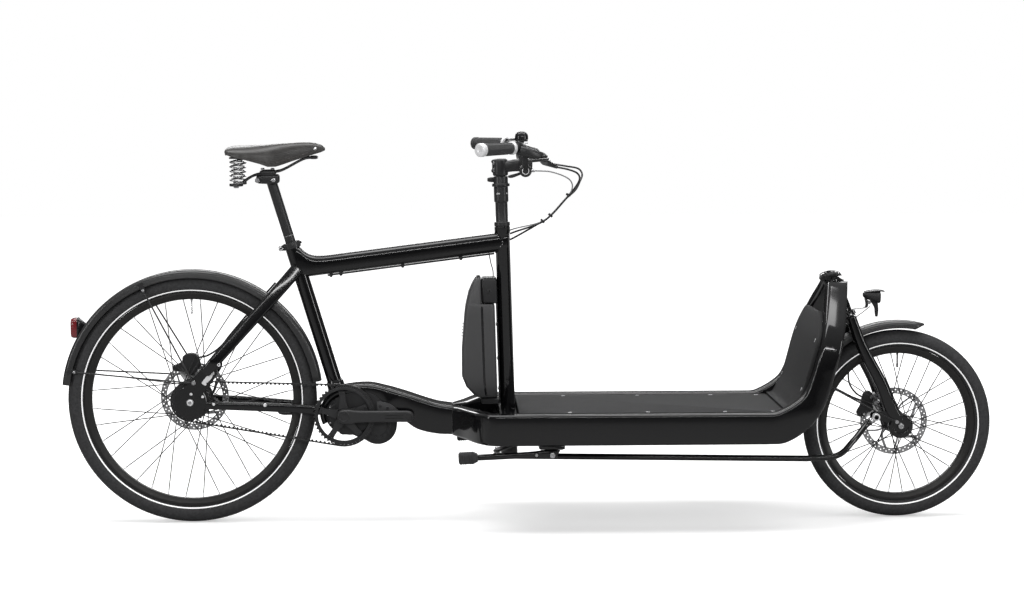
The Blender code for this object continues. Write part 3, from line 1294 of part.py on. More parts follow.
def make_brake_body(name, side):
    """Hydraulic brake body: bar clamp, pivot block and reservoir towards the hose."""
    rows = ((-19, 215, 44, 26, 26), (7, 208, 36, 26, 24), (39, 188, 26, 24, 24), (49, 160, 13, 18, 18),
            (81, 125, -2, 8, 8))
    centres = [at_bars(side, x, y, z) for x, y, z, _, _ in rows]
    rings = [section(c, way.cross(Z), way.cross(Z).cross(way), wide, high, 3)
             for c, way, (_, _, _, wide, high) in zip(centres, directions(centres), rows)]
    body = loft(name, rings, BLACK_METAL)
    low = at_bars(side, -15, 199, 49)
    high = at_bars(side, -24, 219, 50)
    clamp = turned(name + "_clamp", low, high - low, [(0, 16), (18, 16)], BLACK_METAL, 10)
    middle = on_side(side, LEVER_PIVOT)
    pivot = turned(name + "_pivot", middle - Z * 9, Z, [(0, 9), (18, 9)], BLACK_METAL, 10)
    jaw = turned(name + "_jaw", middle - Z * (4 + GAP), Z, [(0, 14), (8 + 2 * GAP, 14)], BLACK_METAL, 10)
    pin = turned(name + "_pin", middle - Z * 8, Z, [(0, 2.5), (16, 2.5)], STEEL, 6)
    hole = tube(name + "_bar_hole", bar_route(), BAR_R + GAP, BLACK_METAL, 8)
    weld(body, clamp, pivot)
    cut(body, jaw)
    weld(body, pin)
    if side < 0:
        pod = turned(name + "_shifter", at_bars(side, -1, 172, -10), Y, [(0, 13), (4, 16), (20, 16), (24, 13)],
                     BLACK_METAL, 10)
        neck = loft(name + "_shifter_neck", [section(at_bars(side, x, y, z), X, Y, 16, 14, 3)
                                             for x, y, z in ((-1, 170, -4), (-5, 202, 32))], BLACK_METAL)
        weld(body, pod, neck)
    return cut(body, hole)


def make_brake_lever(name, side):
    """Two-finger blade on the pivot pin, hooked at its tip."""
    rows = ((45, 200, 22, 10), (51, 214, 22, 11), (45, 236, 21, 9), (27, 264, 20, 8), (5, 288, 19, 8),
            (5, 298, 19, 9))
    path = [at_bars(side, x, y, z) for x, y, z, _ in rows]
    rings = [section(p, way.cross(Z), Z, row[3], 7.4, 2) for p, way, row in zip(path, directions(path), rows)]
    blade = loft(name, rings, BLACK_METAL)
    middle = on_side(side, LEVER_PIVOT)
    eye = turned(name + "_eye", middle - Z * 4, Z, [(0, 7), (8, 7)], BLACK_METAL, 12)
    hole = turned(name + "_hole", middle - Z * 20, Z, [(0, 2.9), (40, 2.9)], BLACK_METAL, 8)
    return cut(weld(blade, eye), hole)


SHIFT_PIVOT = BAR_CENTRE + point(-1, -147.7, -10)


def make_shift_lever():
    """Thumb paddle that turns on the shifter pod's inner side."""
    hub = turned("shift_lever", SHIFT_PIVOT, Y, [(0, 8), (5, 8)], BLACK_METAL, 12)
    paddle = loft("shift_paddle", [section(SHIFT_PIVOT + point(x, 2.5, z), Y, X.cross(Y), wide, high, 1.5)
                                   for x, z, wide, high in ((0, -3, 4, 8), (-18, -9, 5, 8), (-34, -14, 10, 9),
                                                            (-44, -15, 9, 5))], BLACK_METAL)
    return weld(hub, paddle)


def make_bell():
    """Bell on the bar's right half: clamp, dome and a thumb lever."""
    base = BAR_CENTRE + point(-11, -160, 66)
    clamp = turned("bell", BAR_CENTRE + point(-12.4, -154, 47.4), Vector((-0.18, -0.97, 0.12)),
                   [(0, 15.5), (12, 15.5)], BLACK_METAL, 10)
    dome = turned("bell_dome", base, Z, [(0, 15), (4, 16.5), (19, 16), (25, 11)], BLACK_METAL, 10)
    foot = turned("bell_foot", base - Z * 12, Z, [(0, 7), (14, 7)], BLACK_METAL, 8)
    lever = loft("bell_lever", [section(base + point(x, 0, 3), Y, Z, wide, high, 1)
                                for x, wide, high in ((-10, 8, 5), (-36, 8, 4), (-40, 8, 8))], BLACK_METAL)
    hole = tube("bell_bar_hole", bar_route(), BAR_R + GAP, BLACK_METAL, 8)
    return cut(weld(clamp, dome, foot, lever), hole)


def hose_route(rows, side=1):
    return smooth([at_bars(side, x, y, z) for x, y, z in rows], 2)


def make_control_hoses():
    """Brake hoses and gear cable, clipped together and led into the column's front."""
    entry = on_column(COLUMN_TOP - 11) + X * (COLUMN_R + GAP + 1.9)
    shared = [at_bars(1, x, y, z) for x, y, z in ((135, -14, -48), (109, -8, -92), (71, -3, -134), (29, 0, -162))]
    trunk = tube("control_hoses", smooth(shared + [entry], 2), 4.6, BELT_RUBBER, 6)
    right = hose_route(((81.4, 124, -2.2), (119, 96, -6), (143, 56, -20), (135, 14, -48)), -1)
    left = hose_route(((81.4, 124, -2.2), (123, 96, -6), (151, 50, -14), (135, -14, -48)))
    gear = hose_route(((17, 158, -10), (65, 120, -12), (111, 64, -26), (132, 16, -50)), -1)
    first = tube("control_hose_right", right, 2.5, BELT_RUBBER, 4)
    second = tube("control_hose_left", left, 2.5, BELT_RUBBER, 4)
    cable = tube("gear_cable", gear, 1.8, BELT_RUBBER, 4)
    clip = loft("hose_clip", [section(at_bars(1, 35 + x, 0, x * 0.6 - 158.5), Y, Z, 14, 14, 3) for x in (-4, 4)],
                BLACK_PLASTIC)
    return weld(trunk, first, second, cable, clip)


def make_rear_brake_hose():
    """Hose from the left seat stay's lower face to the rear caliper."""
    top = on_seat_line(SEAT_TUBE_END - 68)
    foot = REAR_AXLE + point(56, 0, 96)
    way = (foot - top).normalized()
    behind = way.cross(Y) * -19.2
    if behind.x > 0:
        behind = -behind
    route = smooth([top + (foot - top) * 0.22 + behind + Y * 36, top + (foot - top) * 0.36 + behind + Y * 47,
                    top + (foot - top) * 0.5 + behind + Y * 55, REAR_AXLE + point(97, 57, 165.5),
                    REAR_AXLE + point(69, 56, 131.5), REAR_AXLE + point(37, 53, 109.5),
                    REAR_AXLE + point(13.5, 49, 104)], 2)
    return tube("rear_brake_hose", route, 2.5, BELT_RUBBER, 6)


def make_strap_bundle():
    """Folded straps lying on the steering head."""
    top = on_head_axis(HEAD_HIGH) + HEAD_UP * 5.6
    ahead = Y.cross(HEAD_UP)
    rows = ((-26, 20, 7), (-22, 34, 14), (-8, 42, 19), (6, 44, 16), (18, 38, 19), (26, 26, 12), (29, 14, 6))
    return loft("strap_bundle", [section(top + ahead * x + HEAD_UP * (high / 2), Y, HEAD_UP, wide, high, 6)
                                 for x, wide, high in rows], BLACK_PLASTIC, crease=60)

make_seat_tube()
make_top_tube()
make_head_column()
make_boom()
make_rail("rail_right", -1)
make_rail("rail_left", 1)
make_front_head_tube()
make_chain_stay("chain_stay_right", -1)
make_chain_stay("chain_stay_left", 1)
make_seat_stay("seat_stay_right", -1)
make_seat_stay("seat_stay_left", 1)
make_deck_board()
make_front_board()
make_motor()
REAR_HUB = [(-37, 6), (-37, 28), (-33, 51), (-27, 44), (26, 44), (32, 51), (47, 24), (47, 6)]
FRONT_HUB = [(-42, 8), (-42, 15), (-32, 29), (-26, 18), (22, 18), (29, 29), (36, 22), (36, 8)]
make_tyre("rear_tyre", REAR_AXLE, REAR_R)
make_tyre("front_tyre", FRONT_AXLE, FRONT_R)
make_wheel("rear_wheel", REAR_AXLE, REAR_R, REAR_HUB, REAR_SPOKES, (-31, 30), 51)
make_wheel("front_wheel", FRONT_AXLE, FRONT_R, FRONT_HUB, FRONT_SPOKES, (-30.5, 26.5), 29)
make_rotor("rear_rotor", REAR_AXLE, REAR_DISC_Y, 20)
make_rotor("front_rotor", FRONT_AXLE, FRONT_DISC_Y, 16)
up_turn, low_turn, straight, front_wrap, rear_wrap = belt_path()
front_phase = up_turn - BELT_PITCH / 2 / FRONT_PITCH_R
at_rear = FRONT_PITCH_R * front_wrap + straight
rear_lead = (math.ceil(at_rear / BELT_PITCH - 0.5) + 0.5) * BELT_PITCH - at_rear
rear_phase = up_turn - front_wrap - rear_lead / REAR_PITCH_R
make_sprocket("front_sprocket", BB, FRONT_PITCH_R, FRONT_TEETH, front_phase, FRONT_PITCH_R - 13, BELT_W + 1)
make_sprocket("rear_sprocket", REAR_AXLE, REAR_PITCH_R, REAR_TEETH, rear_phase, 13, BELT_W + 1)
make_belt()
make_crank("crank_arm_right", -1, 1)
make_crank("crank_arm_left", 1, -1)
make_rear_axle()
make_fork()
make_steering_rod()
make_steering_shaft()
make_steering_arm()
make_rear_fender()
make_front_fender()
make_tail_light()
make_rear_caliper()
make_front_caliper()
make_headlight()
make_kickstand_bracket()
make_kickstand()
make_battery_dock()
make_battery()
make_seat_collar()
make_seat_clamp_lever()
make_seatpost()
make_saddle_frame()
make_spring("spring_right", -1)
make_spring("spring_left", 1)
make_saddle_leather()
make_handlebar()
make_stem()
make_grip("grip_right", -1)
make_grip("grip_left", 1)
make_brake_body("brake_body_right", -1)
make_brake_body("brake_body_left", 1)
make_brake_lever("brake_lever_right", -1)
make_brake_lever("brake_lever_left", 1)
make_shift_lever()
make_bell()
make_control_hoses()
make_rear_brake_hose()
make_strap_bundle()

# The origin of each moving piece goes on its joint's axis.
set_origin(REAR_AXLE, "rear_tyre", "rear_wheel", "rear_rotor", "rear_sprocket")
set_origin(FRONT_AXLE, "front_tyre", "front_wheel", "front_rotor")
set_origin(BB, "front_sprocket", "crank_arm_right", "crank_arm_left")
set_origin(COLUMN_FOOT, "steering_shaft", "steering_arm")
set_origin(on_column(COLUMN_TOP), "handlebar", "stem", "grip_right", "grip_left", "brake_body_right",
           "brake_body_left", "bell", "control_hoses")
set_origin(HEAD_FOOT, "fork", "front_fender", "front_caliper", "headlight")
set_origin(rod_start(), "steering_rod")
set_origin(on_side(-1, LEVER_PIVOT), "brake_lever_right")
set_origin(LEVER_PIVOT, "brake_lever_left")
set_origin(SHIFT_PIVOT, "shift_lever")
set_origin(STAND_PIVOT, "kickstand")
set_origin(on_seat_line(SEAT_TUBE_END), "seatpost")
set_origin(SADDLE_HINGE, "saddle_frame", "saddle_leather", "spring_right", "spring_left")
set_origin(clamp_cam(), "seat_clamp_lever")
set_origin(point(behind_column(DECK_Z + 19, 57), 0, DECK_Z + 19), "battery")
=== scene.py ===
"""Front-loading cargo bike: what is seen of it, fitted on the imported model.

Lengths are written in millimetres, as in the part's source, and turned into
metres when a mesh is made. X points forward, Y to the rider's left and Z up.
"""
import math

import bpy
import bmesh
from mathutils import Matrix, Vector


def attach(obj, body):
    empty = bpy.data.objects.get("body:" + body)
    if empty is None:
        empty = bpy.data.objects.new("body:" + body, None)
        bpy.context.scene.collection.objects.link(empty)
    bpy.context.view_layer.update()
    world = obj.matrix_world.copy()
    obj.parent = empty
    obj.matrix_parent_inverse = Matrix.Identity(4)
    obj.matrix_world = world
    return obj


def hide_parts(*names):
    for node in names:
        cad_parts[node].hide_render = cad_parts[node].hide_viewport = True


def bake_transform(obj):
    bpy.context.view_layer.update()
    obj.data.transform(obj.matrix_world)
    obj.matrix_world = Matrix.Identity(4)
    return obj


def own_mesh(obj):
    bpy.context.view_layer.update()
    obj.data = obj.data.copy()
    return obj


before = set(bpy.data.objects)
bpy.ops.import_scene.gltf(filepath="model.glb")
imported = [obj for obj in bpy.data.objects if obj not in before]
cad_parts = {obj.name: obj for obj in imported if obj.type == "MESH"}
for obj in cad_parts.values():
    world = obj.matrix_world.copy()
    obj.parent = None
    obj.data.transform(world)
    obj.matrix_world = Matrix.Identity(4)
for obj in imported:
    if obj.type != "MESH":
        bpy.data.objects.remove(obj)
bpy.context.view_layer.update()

MM = 0.001
X = Vector((1, 0, 0))
Y = Vector((0, 1, 0))
Z = Vector((0, 0, 1))

# Sizes shared with the part's source
REAR_R = 326.5
FRONT_R = 250.0
TYRE_W = 47.0
TYRE_H = 42.5
ROTOR_R = 90.0
ROTOR_T = 2.0
REAR_OLD = 135.0
FRONT_OLD = 100.0
BELT_PITCH = 11.0
BELT_TEETH = 111
FRONT_TEETH = 46
REAR_TEETH = 30
BELT_W = 11.0
BELT_LINE = -48.0
BELT_BACK = 1.6
BELT_LAND = 0.7
TOOTH_H = 3.2
TOOTH_BASE = 6.2
TOOTH_TIP = 4.0
CRANK_LEN = 170.0
SEAT_ANGLE = math.radians(73.1)
SEAT_TUBE_R = 19.0
SEAT_TUBE_START = 92.0
SEAT_TUBE_END = 470.0
TOP_TUBE_W = 38.0
TOP_TUBE_H = 50.0
TOP_TUBE_DROP = 69.0
TOP_TUBE_RISE = math.radians(7.2)
COLUMN_LEAN = math.radians(1.72)
COLUMN_R = 19.0
COLUMN_TOP = 779.0
DECK_Z = 310.0
RAIL_H = 81.0
RAIL_W = 44.0
RAIL_OUT = 232.0
DECK_FRONT = 655.0
BOARD_T = 10.0
HEAD_ANGLE = math.radians(68.5)
FORK_RAKE = 25.0
HEAD_TUBE_R = 22.0
HEAD_LOW = 548.0
HEAD_HIGH = 634.0
BAR_R = 11.1
FENDER_REACH = 342.0
FENDER_HALF = 29.0
# The gap left between solids that meet, and sizes that several pieces use
FIT = 0.3
DROPOUT_T = 7.0
REAR_DISC_Y = 47.3
FRONT_DISC_Y = 36.3
REAR_BAND_R = 288.6
FRONT_BAND_R = 215.2
CRANK_IN = 58.0
SPROCKET_W = BELT_W + 1
CHAINRING_IN = 13.0
BRAKE_HOSE_R = 2.5
GEAR_CABLE_R = 1.8
FENDER_STAY_R = 2.1
STAY_DROP = 68.0

FRONT_PITCH_R = FRONT_TEETH * BELT_PITCH / (2 * math.pi)
REAR_PITCH_R = REAR_TEETH * BELT_PITCH / (2 * math.pi)
REAR_AXLE = Vector((-887.0, 0, REAR_R))
FRONT_AXLE = Vector((979.0, 0, FRONT_R))
BB = Vector((-488.6195, 0, 286.5))
SEAT_UP = Vector((-math.cos(SEAT_ANGLE), 0, math.sin(SEAT_ANGLE)))
COLUMN_UP = Vector((-math.sin(COLUMN_LEAN), 0, math.cos(COLUMN_LEAN)))
COLUMN_FOOT = Vector((-47.7, 0, 0))
HEAD_UP = Vector((-math.cos(HEAD_ANGLE), 0, math.sin(HEAD_ANGLE)))
HEAD_SIDE = Vector((-math.sin(HEAD_ANGLE), 0, -math.cos(HEAD_ANGLE)))
HEAD_FOOT = FRONT_AXLE + HEAD_SIDE * FORK_RAKE


def on_seat_line(distance):
    """Point on the seat tube's line, measured from the bottom bracket."""
    return BB + SEAT_UP * distance


def middle_of_top_tube(x):
    """Height of the top tube's middle line."""
    return TOP_TUBE_JOINT.z + (x - TOP_TUBE_JOINT.x) * math.tan(TOP_TUBE_RISE)


def on_column(height):
    """Point on the steering column's axis at a height over the ground."""
    return COLUMN_FOOT + COLUMN_UP * (height / COLUMN_UP.z)


def on_head_axis(height):
    """Point on the fork's axis at a height over the ground."""
    return HEAD_FOOT + HEAD_UP * ((height - HEAD_FOOT.z) / HEAD_UP.z)


TOP_TUBE_JOINT = on_seat_line(SEAT_TUBE_END - TOP_TUBE_DROP)


def point(x, y, z):
    """A place or a step in the part's frame."""
    return Vector((x, y, z))


def aimed(turn):
    """Direction in the side view, turned up from X by an angle in radians."""
    return Vector((math.cos(turn), 0, math.sin(turn)))


def mirrored(points):
    """The same points on the other side of the bike."""
    return [Vector((p.x, -p.y, p.z)) for p in points]


# Places that several pieces share
EYELET = REAR_AXLE + point(10, 0, 52)
ROD_Z = 181.0
ROD_END = FRONT_AXLE + point(-71, -76, 28)
FRONT_FENDER_R = FRONT_R + 25
FRONT_FENDER_HALF = 28.0
POST_TOP = 628.7
REAR_INNER = REAR_OLD / 2 + FIT
REAR_OUTER = REAR_INNER + DROPOUT_T + FIT
FRONT_INNER = FRONT_OLD / 2 + FIT
STAY_TOP = on_seat_line(SEAT_TUBE_END - STAY_DROP)
STAY_FOOT = REAR_AXLE + point(56, 0, 96)
DRUM = BB + point(88, 0, -30)
STAND_PIVOT = point(50, 0, 205)
SPRING_X = -90
SPRING_Y = 60
BAR_CENTRE = on_column(COLUMN_TOP + 161) + X * 61
GRIP_IN = BAR_CENTRE + point(-33, 235, 50)
GRIP_OUT = BAR_CENTRE + point(-119, 330, 48)
LEVER_PIVOT = BAR_CENTRE + point(45, 200, 22)
SHIFT_PIVOT = BAR_CENTRE + point(-1, -147.7, -10)


# Shapes: each is a list of points in millimetres and a list of faces.

def loft(rings, closed=False, caps=True):
    """Skin over rings of points."""
    size = len(rings[0])
    verts = [p for ring in rings for p in ring]
    faces = []
    count = len(rings)
    for r in range(count if closed else count - 1):
        low = r * size
        high = (r + 1) % count * size
        for i in range(size):
            j = (i + 1) % size
            faces.append((low + i, low + j, high + j, high + i))
    if caps and not closed:
        faces.append(tuple(range(size))[::-1])
        faces.append(tuple(range((count - 1) * size, count * size)))
    return verts, faces


def section(centre, across, up, width, height, radius=0.0, steps=6):
    """Ring of a rectangle with rounded corners."""
    across = across.normalized()
    up = up.normalized()
    radius = max(0.01, min(radius, width / 2 - 0.01, height / 2 - 0.01))
    ring = []
    for corner, (sx, sy) in enumerate(((1, 1), (-1, 1), (-1, -1), (1, -1))):
        for step in range(steps + 1):
            angle = math.pi / 2 * (corner + step / steps)
            x = sx * (width / 2 - radius) + radius * math.cos(angle)
            y = sy * (height / 2 - radius) + radius * math.sin(angle)
            ring.append(centre + across * x + up * y)
    return ring


def circle(centre, across, up, radius, sides):
    """Ring of points round a centre."""
    turns = [2 * math.pi * i / sides for i in range(sides)]
    return [centre + (across * math.cos(a) + up * math.sin(a)) * radius for a in turns]


def smooth(points, spans=4):
    """Points on a smooth curve through the given ones."""
    points = [Vector(p) for p in points]
    held = [points[0] * 2 - points[1]] + points + [points[-1] * 2 - points[-2]]
    curve = []
    for a, b, c, d in zip(held, held[1:], held[2:], held[3:]):
        for step in range(spans):
            t = step / spans
            curve.append(0.5 * (2 * b + (c - a) * t + (2 * a - 5 * b + 4 * c - d) * t ** 2
                                + (3 * b - a - 3 * c + d) * t ** 3))
    curve.append(points[-1])
    return curve


def refine(rings, spans=4):
    """More rings between the given ones, on smooth curves through their points."""
    tracks = [smooth(track, spans) for track in zip(*rings)]
    return [list(ring) for ring in zip(*tracks)]


def directions(points):
    """Direction of a route at each of its points."""
    found = []
    for i in range(len(points)):
        before = points[max(i - 1, 0)]
        after = points[min(i + 1, len(points) - 1)]
        found.append((after - before).normalized())
    return found


def tube(points, radius, sides=16, closed=False):
    """Round bar along a route; radius is one number or one for each point."""
    radii = radius if isinstance(radius, list) else [radius] * len(points)
    ways = directions(points)
    side = ways[0].orthogonal().normalized()
    rings = []
    for centre, way, size in zip(points, ways, radii):
        side = (side - way * side.dot(way)).normalized()
        rings.append(circle(centre, side, way.cross(side), size, sides))
    return loft(rings, closed)


def turned(centre, axis, profile, sides=48, ring=False):
    """Solid turned about an axis from (distance along, radius) pairs."""
    axis = axis.normalized()
    across = axis.orthogonal().normalized()
    up = axis.cross(across)
    rings = [circle(centre + axis * along, across, up, size, sides) for along, size in profile]
    return loft(rings, closed=ring)


def plate(outline, low, high):
    """Flat plate: an outline in X and Z, as thick as low to high in Y."""
    return loft([[Vector((x, y, z)) for x, z in outline] for y in (low, high)])


def arc(cx, cz, radius, start, end, steps):
    """Points of an arc in X and Z, between two angles in degrees."""
    turns = [math.radians(start + (end - start) * i / steps) for i in range(steps + 1)]
    return [(cx + radius * math.cos(a), cz + radius * math.sin(a)) for a in turns]


def bent(profile, rounding=1.0, steps=3):
    """A profile of (along, radius) pairs with its corners rounded off."""
    made = [profile[0]]
    for before, here, after in zip(profile, profile[1:], profile[2:]):
        here_v = Vector((here[0], here[1], 0))
        into = Vector((before[0], before[1], 0)) - here_v
        out = Vector((after[0], after[1], 0)) - here_v
        reach = min(rounding, into.length * 0.45, out.length * 0.45)
        start = here_v + into.normalized() * reach
        end = here_v + out.normalized() * reach
        for step in range(steps + 1):
            t = step / steps
            p = start * (1 - t) ** 2 + here_v * 2 * t * (1 - t) + end * t ** 2
            made.append((p.x, p.y))
    made.append(profile[-1])
    return made


def socket_bolt(at, way, radius, height):
    """Cap screw with a hexagon socket, its head standing on the point given."""
    way = way.normalized()
    across = way.orthogonal().normalized()
    up = way.cross(across)
    rings = []
    for along, size in ((0, radius), (height * 0.75, radius), (height, radius * 0.84)):
        rings.append(circle(at + way * along, across, up, size, 24))
    for along, size in ((height, radius * 0.55), (height * 0.35, radius * 0.5)):
        ring = []
        for i in range(24):
            turn = 2 * math.pi * i / 24
            wall = math.cos(math.pi / 6) / math.cos((turn % (math.pi / 3)) - math.pi / 6)
            ring.append(at + way * along + (across * math.cos(turn) + up * math.sin(turn)) * size * wall)
        rings.append(ring)
    return loft(rings)


def hex_nut(at, way, radius, height):
    """Hexagon nut with its outer edge broken."""
    way = way.normalized()
    across = way.orthogonal().normalized()
    up = way.cross(across)
    rings = [circle(at, across, up, radius, 6), circle(at + way * height * 0.85, across, up, radius, 6),
             circle(at + way * height, across, up, radius * 0.9, 6)]
    return loft(rings)


def link(name, data):
    """Object linked into the scene."""
    made = bpy.data.objects.new(name, data)
    bpy.context.scene.collection.objects.link(made)
    return made


def face_out(mesh):
    """Turn every face outward."""
    bm = bmesh.new()
    bm.from_mesh(mesh)
    bmesh.ops.recalc_face_normals(bm, faces=bm.faces)
    bm.to_mesh(mesh)
    bm.free()


def piece(name, body, parts, stands_for=(), crease=38, bevel=0.0, finish=None, wear=2):
    """One object from shapes and their materials; it rides on a body of the part, if one is given."""
    mesh = bpy.data.meshes.new(name)
    verts = []
    faces = []
    picks = []
    materials = []
    for shape, material in parts:
        if material not in materials:
            materials.append(material)
        start = len(verts)
        verts.extend(p * MM for p in shape[0])
        faces.extend(tuple(start + i for i in face) for face in shape[1])
        picks.extend([materials.index(material)] * len(shape[1]))
    mesh.from_pydata(verts, [], faces)
    for material in materials:
        mesh.materials.append(material)
    mesh.polygons.foreach_set("material_index", picks)
    face_out(mesh)
    mesh.shade_smooth()
    mesh.set_sharp_from_angle(angle=math.radians(crease))
    made = link(name, mesh)
    if bevel:
        edge = made.modifiers.new("edges", "BEVEL")
        edge.width = bevel * MM
        edge.segments = wear
        edge.limit_method = "ANGLE"
        edge.angle_limit = math.radians(crease)
        edge.harden_normals = True
    if body:
        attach(made, body)
    if stands_for:
        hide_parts(*([stands_for] if isinstance(stands_for, str) else stands_for))
    return made


def skin(node, body, parts, **how):
    """The seen form of one solid of the part, named after it."""
    return piece(node + "_skin", body, parts, node, **how)


# Materials. Texture sizes are in metres, because every object is.

def add_node(tree, kind, sockets=None, **settings):
    """New shader node; each socket named takes a value, or is linked to the output given for it."""
    made = tree.nodes.new("ShaderNode" + kind)
    for name, value in settings.items():
        setattr(made, name, value)
    feed(tree, made, sockets or {})
    return made


def feed(tree, taker, sockets):
    """Give a node's sockets their values or links."""
    for key, value in sockets.items():
        if isinstance(value, bpy.types.NodeSocket):
            tree.links.new(value, taker.inputs[key])
        else:
            taker.inputs[key].default_value = value


def math_node(tree, operation, *values):
    """Output of a Math node fed with numbers or other outputs."""
    return add_node(tree, "Math", dict(enumerate(values)), operation=operation).outputs[0]


def colour_ramp(tree, factor, *stops):
    """Output of a colour ramp between two (position, colour) stops."""
    ramp = add_node(tree, "ValToRGB", {"Fac": factor})
    for element, (position, colour) in zip(ramp.color_ramp.elements, stops):
        element.position = position
        element.color = (*colour, 1)
    return ramp.outputs["Color"]


def new_material(name):
    """Material with its node tree and its shader."""
    made = bpy.data.materials.new(name)
    made.use_nodes = True
    return made, made.node_tree, made.node_tree.nodes["Principled BSDF"]


def material(name, colour, roughness, metallic=0.0, mottle=None, haze=None, bumps=(), sockets=None):
    """Principled material: mottle varies its colour, haze its roughness, bumps its surface."""
    made, tree, shader = new_material(name)
    inputs = {"Base Color": (*colour, 1), "Roughness": roughness, "Metallic": metallic, **(sockets or {})}
    place = add_node(tree, "TexCoord").outputs["Object"]
    if mottle:
        scale, other, low, high = mottle
        noise = add_node(tree, "TexNoise", {"Scale": scale, "Detail": 6, "Vector": place})
        inputs["Base Color"] = colour_ramp(tree, noise.outputs["Fac"], (low, colour), (high, other))
    if haze:
        scale, spread = haze
        noise = add_node(tree, "TexNoise", {"Scale": scale, "Detail": 4, "Vector": place})
        reach = add_node(tree, "MapRange", {"To Min": max(0.0, roughness - spread),
                                            "To Max": roughness + spread, "Value": noise.outputs["Fac"]})
        inputs["Roughness"] = reach.outputs["Result"]
    for kind, scale, strength, depth in bumps:
        where = {"Scale": scale, "Vector": place}
        if kind == "cells":
            height = add_node(tree, "TexVoronoi", where, feature="SMOOTH_F1").outputs["Distance"]
        elif kind == "rings":
            height = add_node(tree, "TexWave", where, bands_direction="X").outputs["Fac"]
        else:
            height = add_node(tree, "TexNoise", {"Detail": 3, **where}).outputs["Fac"]
        rise = {"Strength": strength, "Distance": depth, "Height": height}
        if "Normal" in inputs:
            rise["Normal"] = inputs["Normal"]
        inputs["Normal"] = add_node(tree, "Bump", rise).outputs["Normal"]
    feed(tree, shader, inputs)
    return made


def noise_bump(scale, strength, depth=0.0002):
    """The fine grain that most finishes have."""
    return (("noise", scale, strength, depth),)


def cell_bump(scale, strength, depth=0.0002):
    """The small cells of moulded and woven surfaces."""
    return (("cells", scale, strength, depth),)


PAINT = material("gloss_black_paint", (0.0045, 0.0045, 0.005), 0.11, haze=(45, 0.03),
                 bumps=noise_bump(420, 0.04, 0.0006),
                 sockets={"Coat Weight": 0.2, "Coat Roughness": 0.04, "Specular IOR Level": 0.4})
SATIN = material("satin_black_metal", (0.03, 0.03, 0.031), 0.32, 0.15, haze=(160, 0.06),
                 bumps=noise_bump(2600, 0.06), sockets={"Specular IOR Level": 0.35})
CAST = material("cast_black_metal", (0.03, 0.03, 0.031), 0.46, 0.3, haze=(120, 0.1),
                bumps=noise_bump(1500, 0.25, 0.0003), sockets={"Specular IOR Level": 0.3})
PLASTIC = material("moulded_black_plastic", (0.02, 0.02, 0.021), 0.42, haze=(90, 0.08),
                   bumps=cell_bump(1400, 0.22), sockets={"Specular IOR Level": 0.3})
GLOSS_PLASTIC = material("gloss_black_plastic", (0.007, 0.007, 0.008), 0.2, haze=(60, 0.05),
                         bumps=noise_bump(500, 0.05, 0.0004))
DECK = material("deck_laminate", (0.027, 0.027, 0.0275), 0.66,
                mottle=(900, (0.052, 0.052, 0.053), 0.42, 0.62), haze=(200, 0.1),
                bumps=cell_bump(520, 0.5, 0.0006), sockets={"Specular IOR Level": 0.04})
TYRE = material("tyre_rubber", (0.03, 0.03, 0.031), 0.66, mottle=(160, (0.046, 0.046, 0.048), 0.35, 0.7),
                haze=(300, 0.1), bumps=noise_bump(1800, 0.2, 0.0003), sockets={"Specular IOR Level": 0.25})
# The reflective band's emission is painted light: the band glows though it is no lamp.
GLOWING_REFLEX = material("reflective_band_painted_glow", (0.92, 0.92, 0.92), 0.4, haze=(500, 0.1), bumps=cell_bump(1600, 0.15),
                  sockets={"Emission Color": (1, 1, 1, 1), "Emission Strength": 0.4})
BELT = material("belt_rubber", (0.009, 0.009, 0.0095), 0.6, mottle=(500, (0.016, 0.016, 0.0165), 0.4, 0.7),
                bumps=noise_bump(2400, 0.2))
HOSE = material("hose_cover", (0.009, 0.009, 0.01), 0.34, haze=(200, 0.08), bumps=noise_bump(900, 0.08))
CABLE = material("grey_cable_cover", (0.3, 0.3, 0.31), 0.35, haze=(200, 0.08), bumps=noise_bump(900, 0.08))
GRIP = material("grip_rubber", (0.038, 0.038, 0.039), 0.68, haze=(200, 0.1),
                bumps=cell_bump(620, 0.8, 0.0009))
LEATHER = material("saddle_leather", (0.026, 0.0245, 0.0235), 0.38,
                   mottle=(55, (0.042, 0.039, 0.037), 0.35, 0.72), haze=(38, 0.13),
                   bumps=cell_bump(850, 0.35, 0.0004) + noise_bump(70, 0.25, 0.0012))
STEEL = material("brushed_steel", (0.52, 0.52, 0.53), 0.28, 1.0, haze=(400, 0.1),
                 bumps=noise_bump(1900, 0.08))
ROTOR = material("disc_steel", (0.42, 0.42, 0.43), 0.3, 1.0, haze=(260, 0.12),
                 bumps=(("rings", 700, 0.05, 0.0001),))
CHROME = material("chrome", (0.82, 0.82, 0.83), 0.07, 1.0, haze=(90, 0.03), bumps=noise_bump(200, 0.02))
SILVER = material("silver_anodised", (0.86, 0.86, 0.87), 0.36, 0.35, haze=(300, 0.08),
                  bumps=noise_bump(2100, 0.08))
GREY_MARK = material("light_grey_print", (0.5, 0.5, 0.5), 0.5, haze=(300, 0.08),
                     bumps=noise_bump(900, 0.05))
RED = material("red_lens", (0.17, 0.012, 0.016), 0.13, haze=(80, 0.04), bumps=cell_bump(380, 0.5, 0.0008),
               sockets={"Coat Weight": 0.6, "Coat Roughness": 0.05})
CLEAR = material("clear_lens", (0.75, 0.78, 0.8), 0.06, haze=(80, 0.03),
                 bumps=(("rings", 160, 0.5, 0.0008),), sockets={"Transmission Weight": 0.75, "IOR": 1.5})
BATTERY = material("battery_case", (0.051, 0.051, 0.0525), 0.5, haze=(120, 0.08),
                   bumps=noise_bump(1500, 0.08))
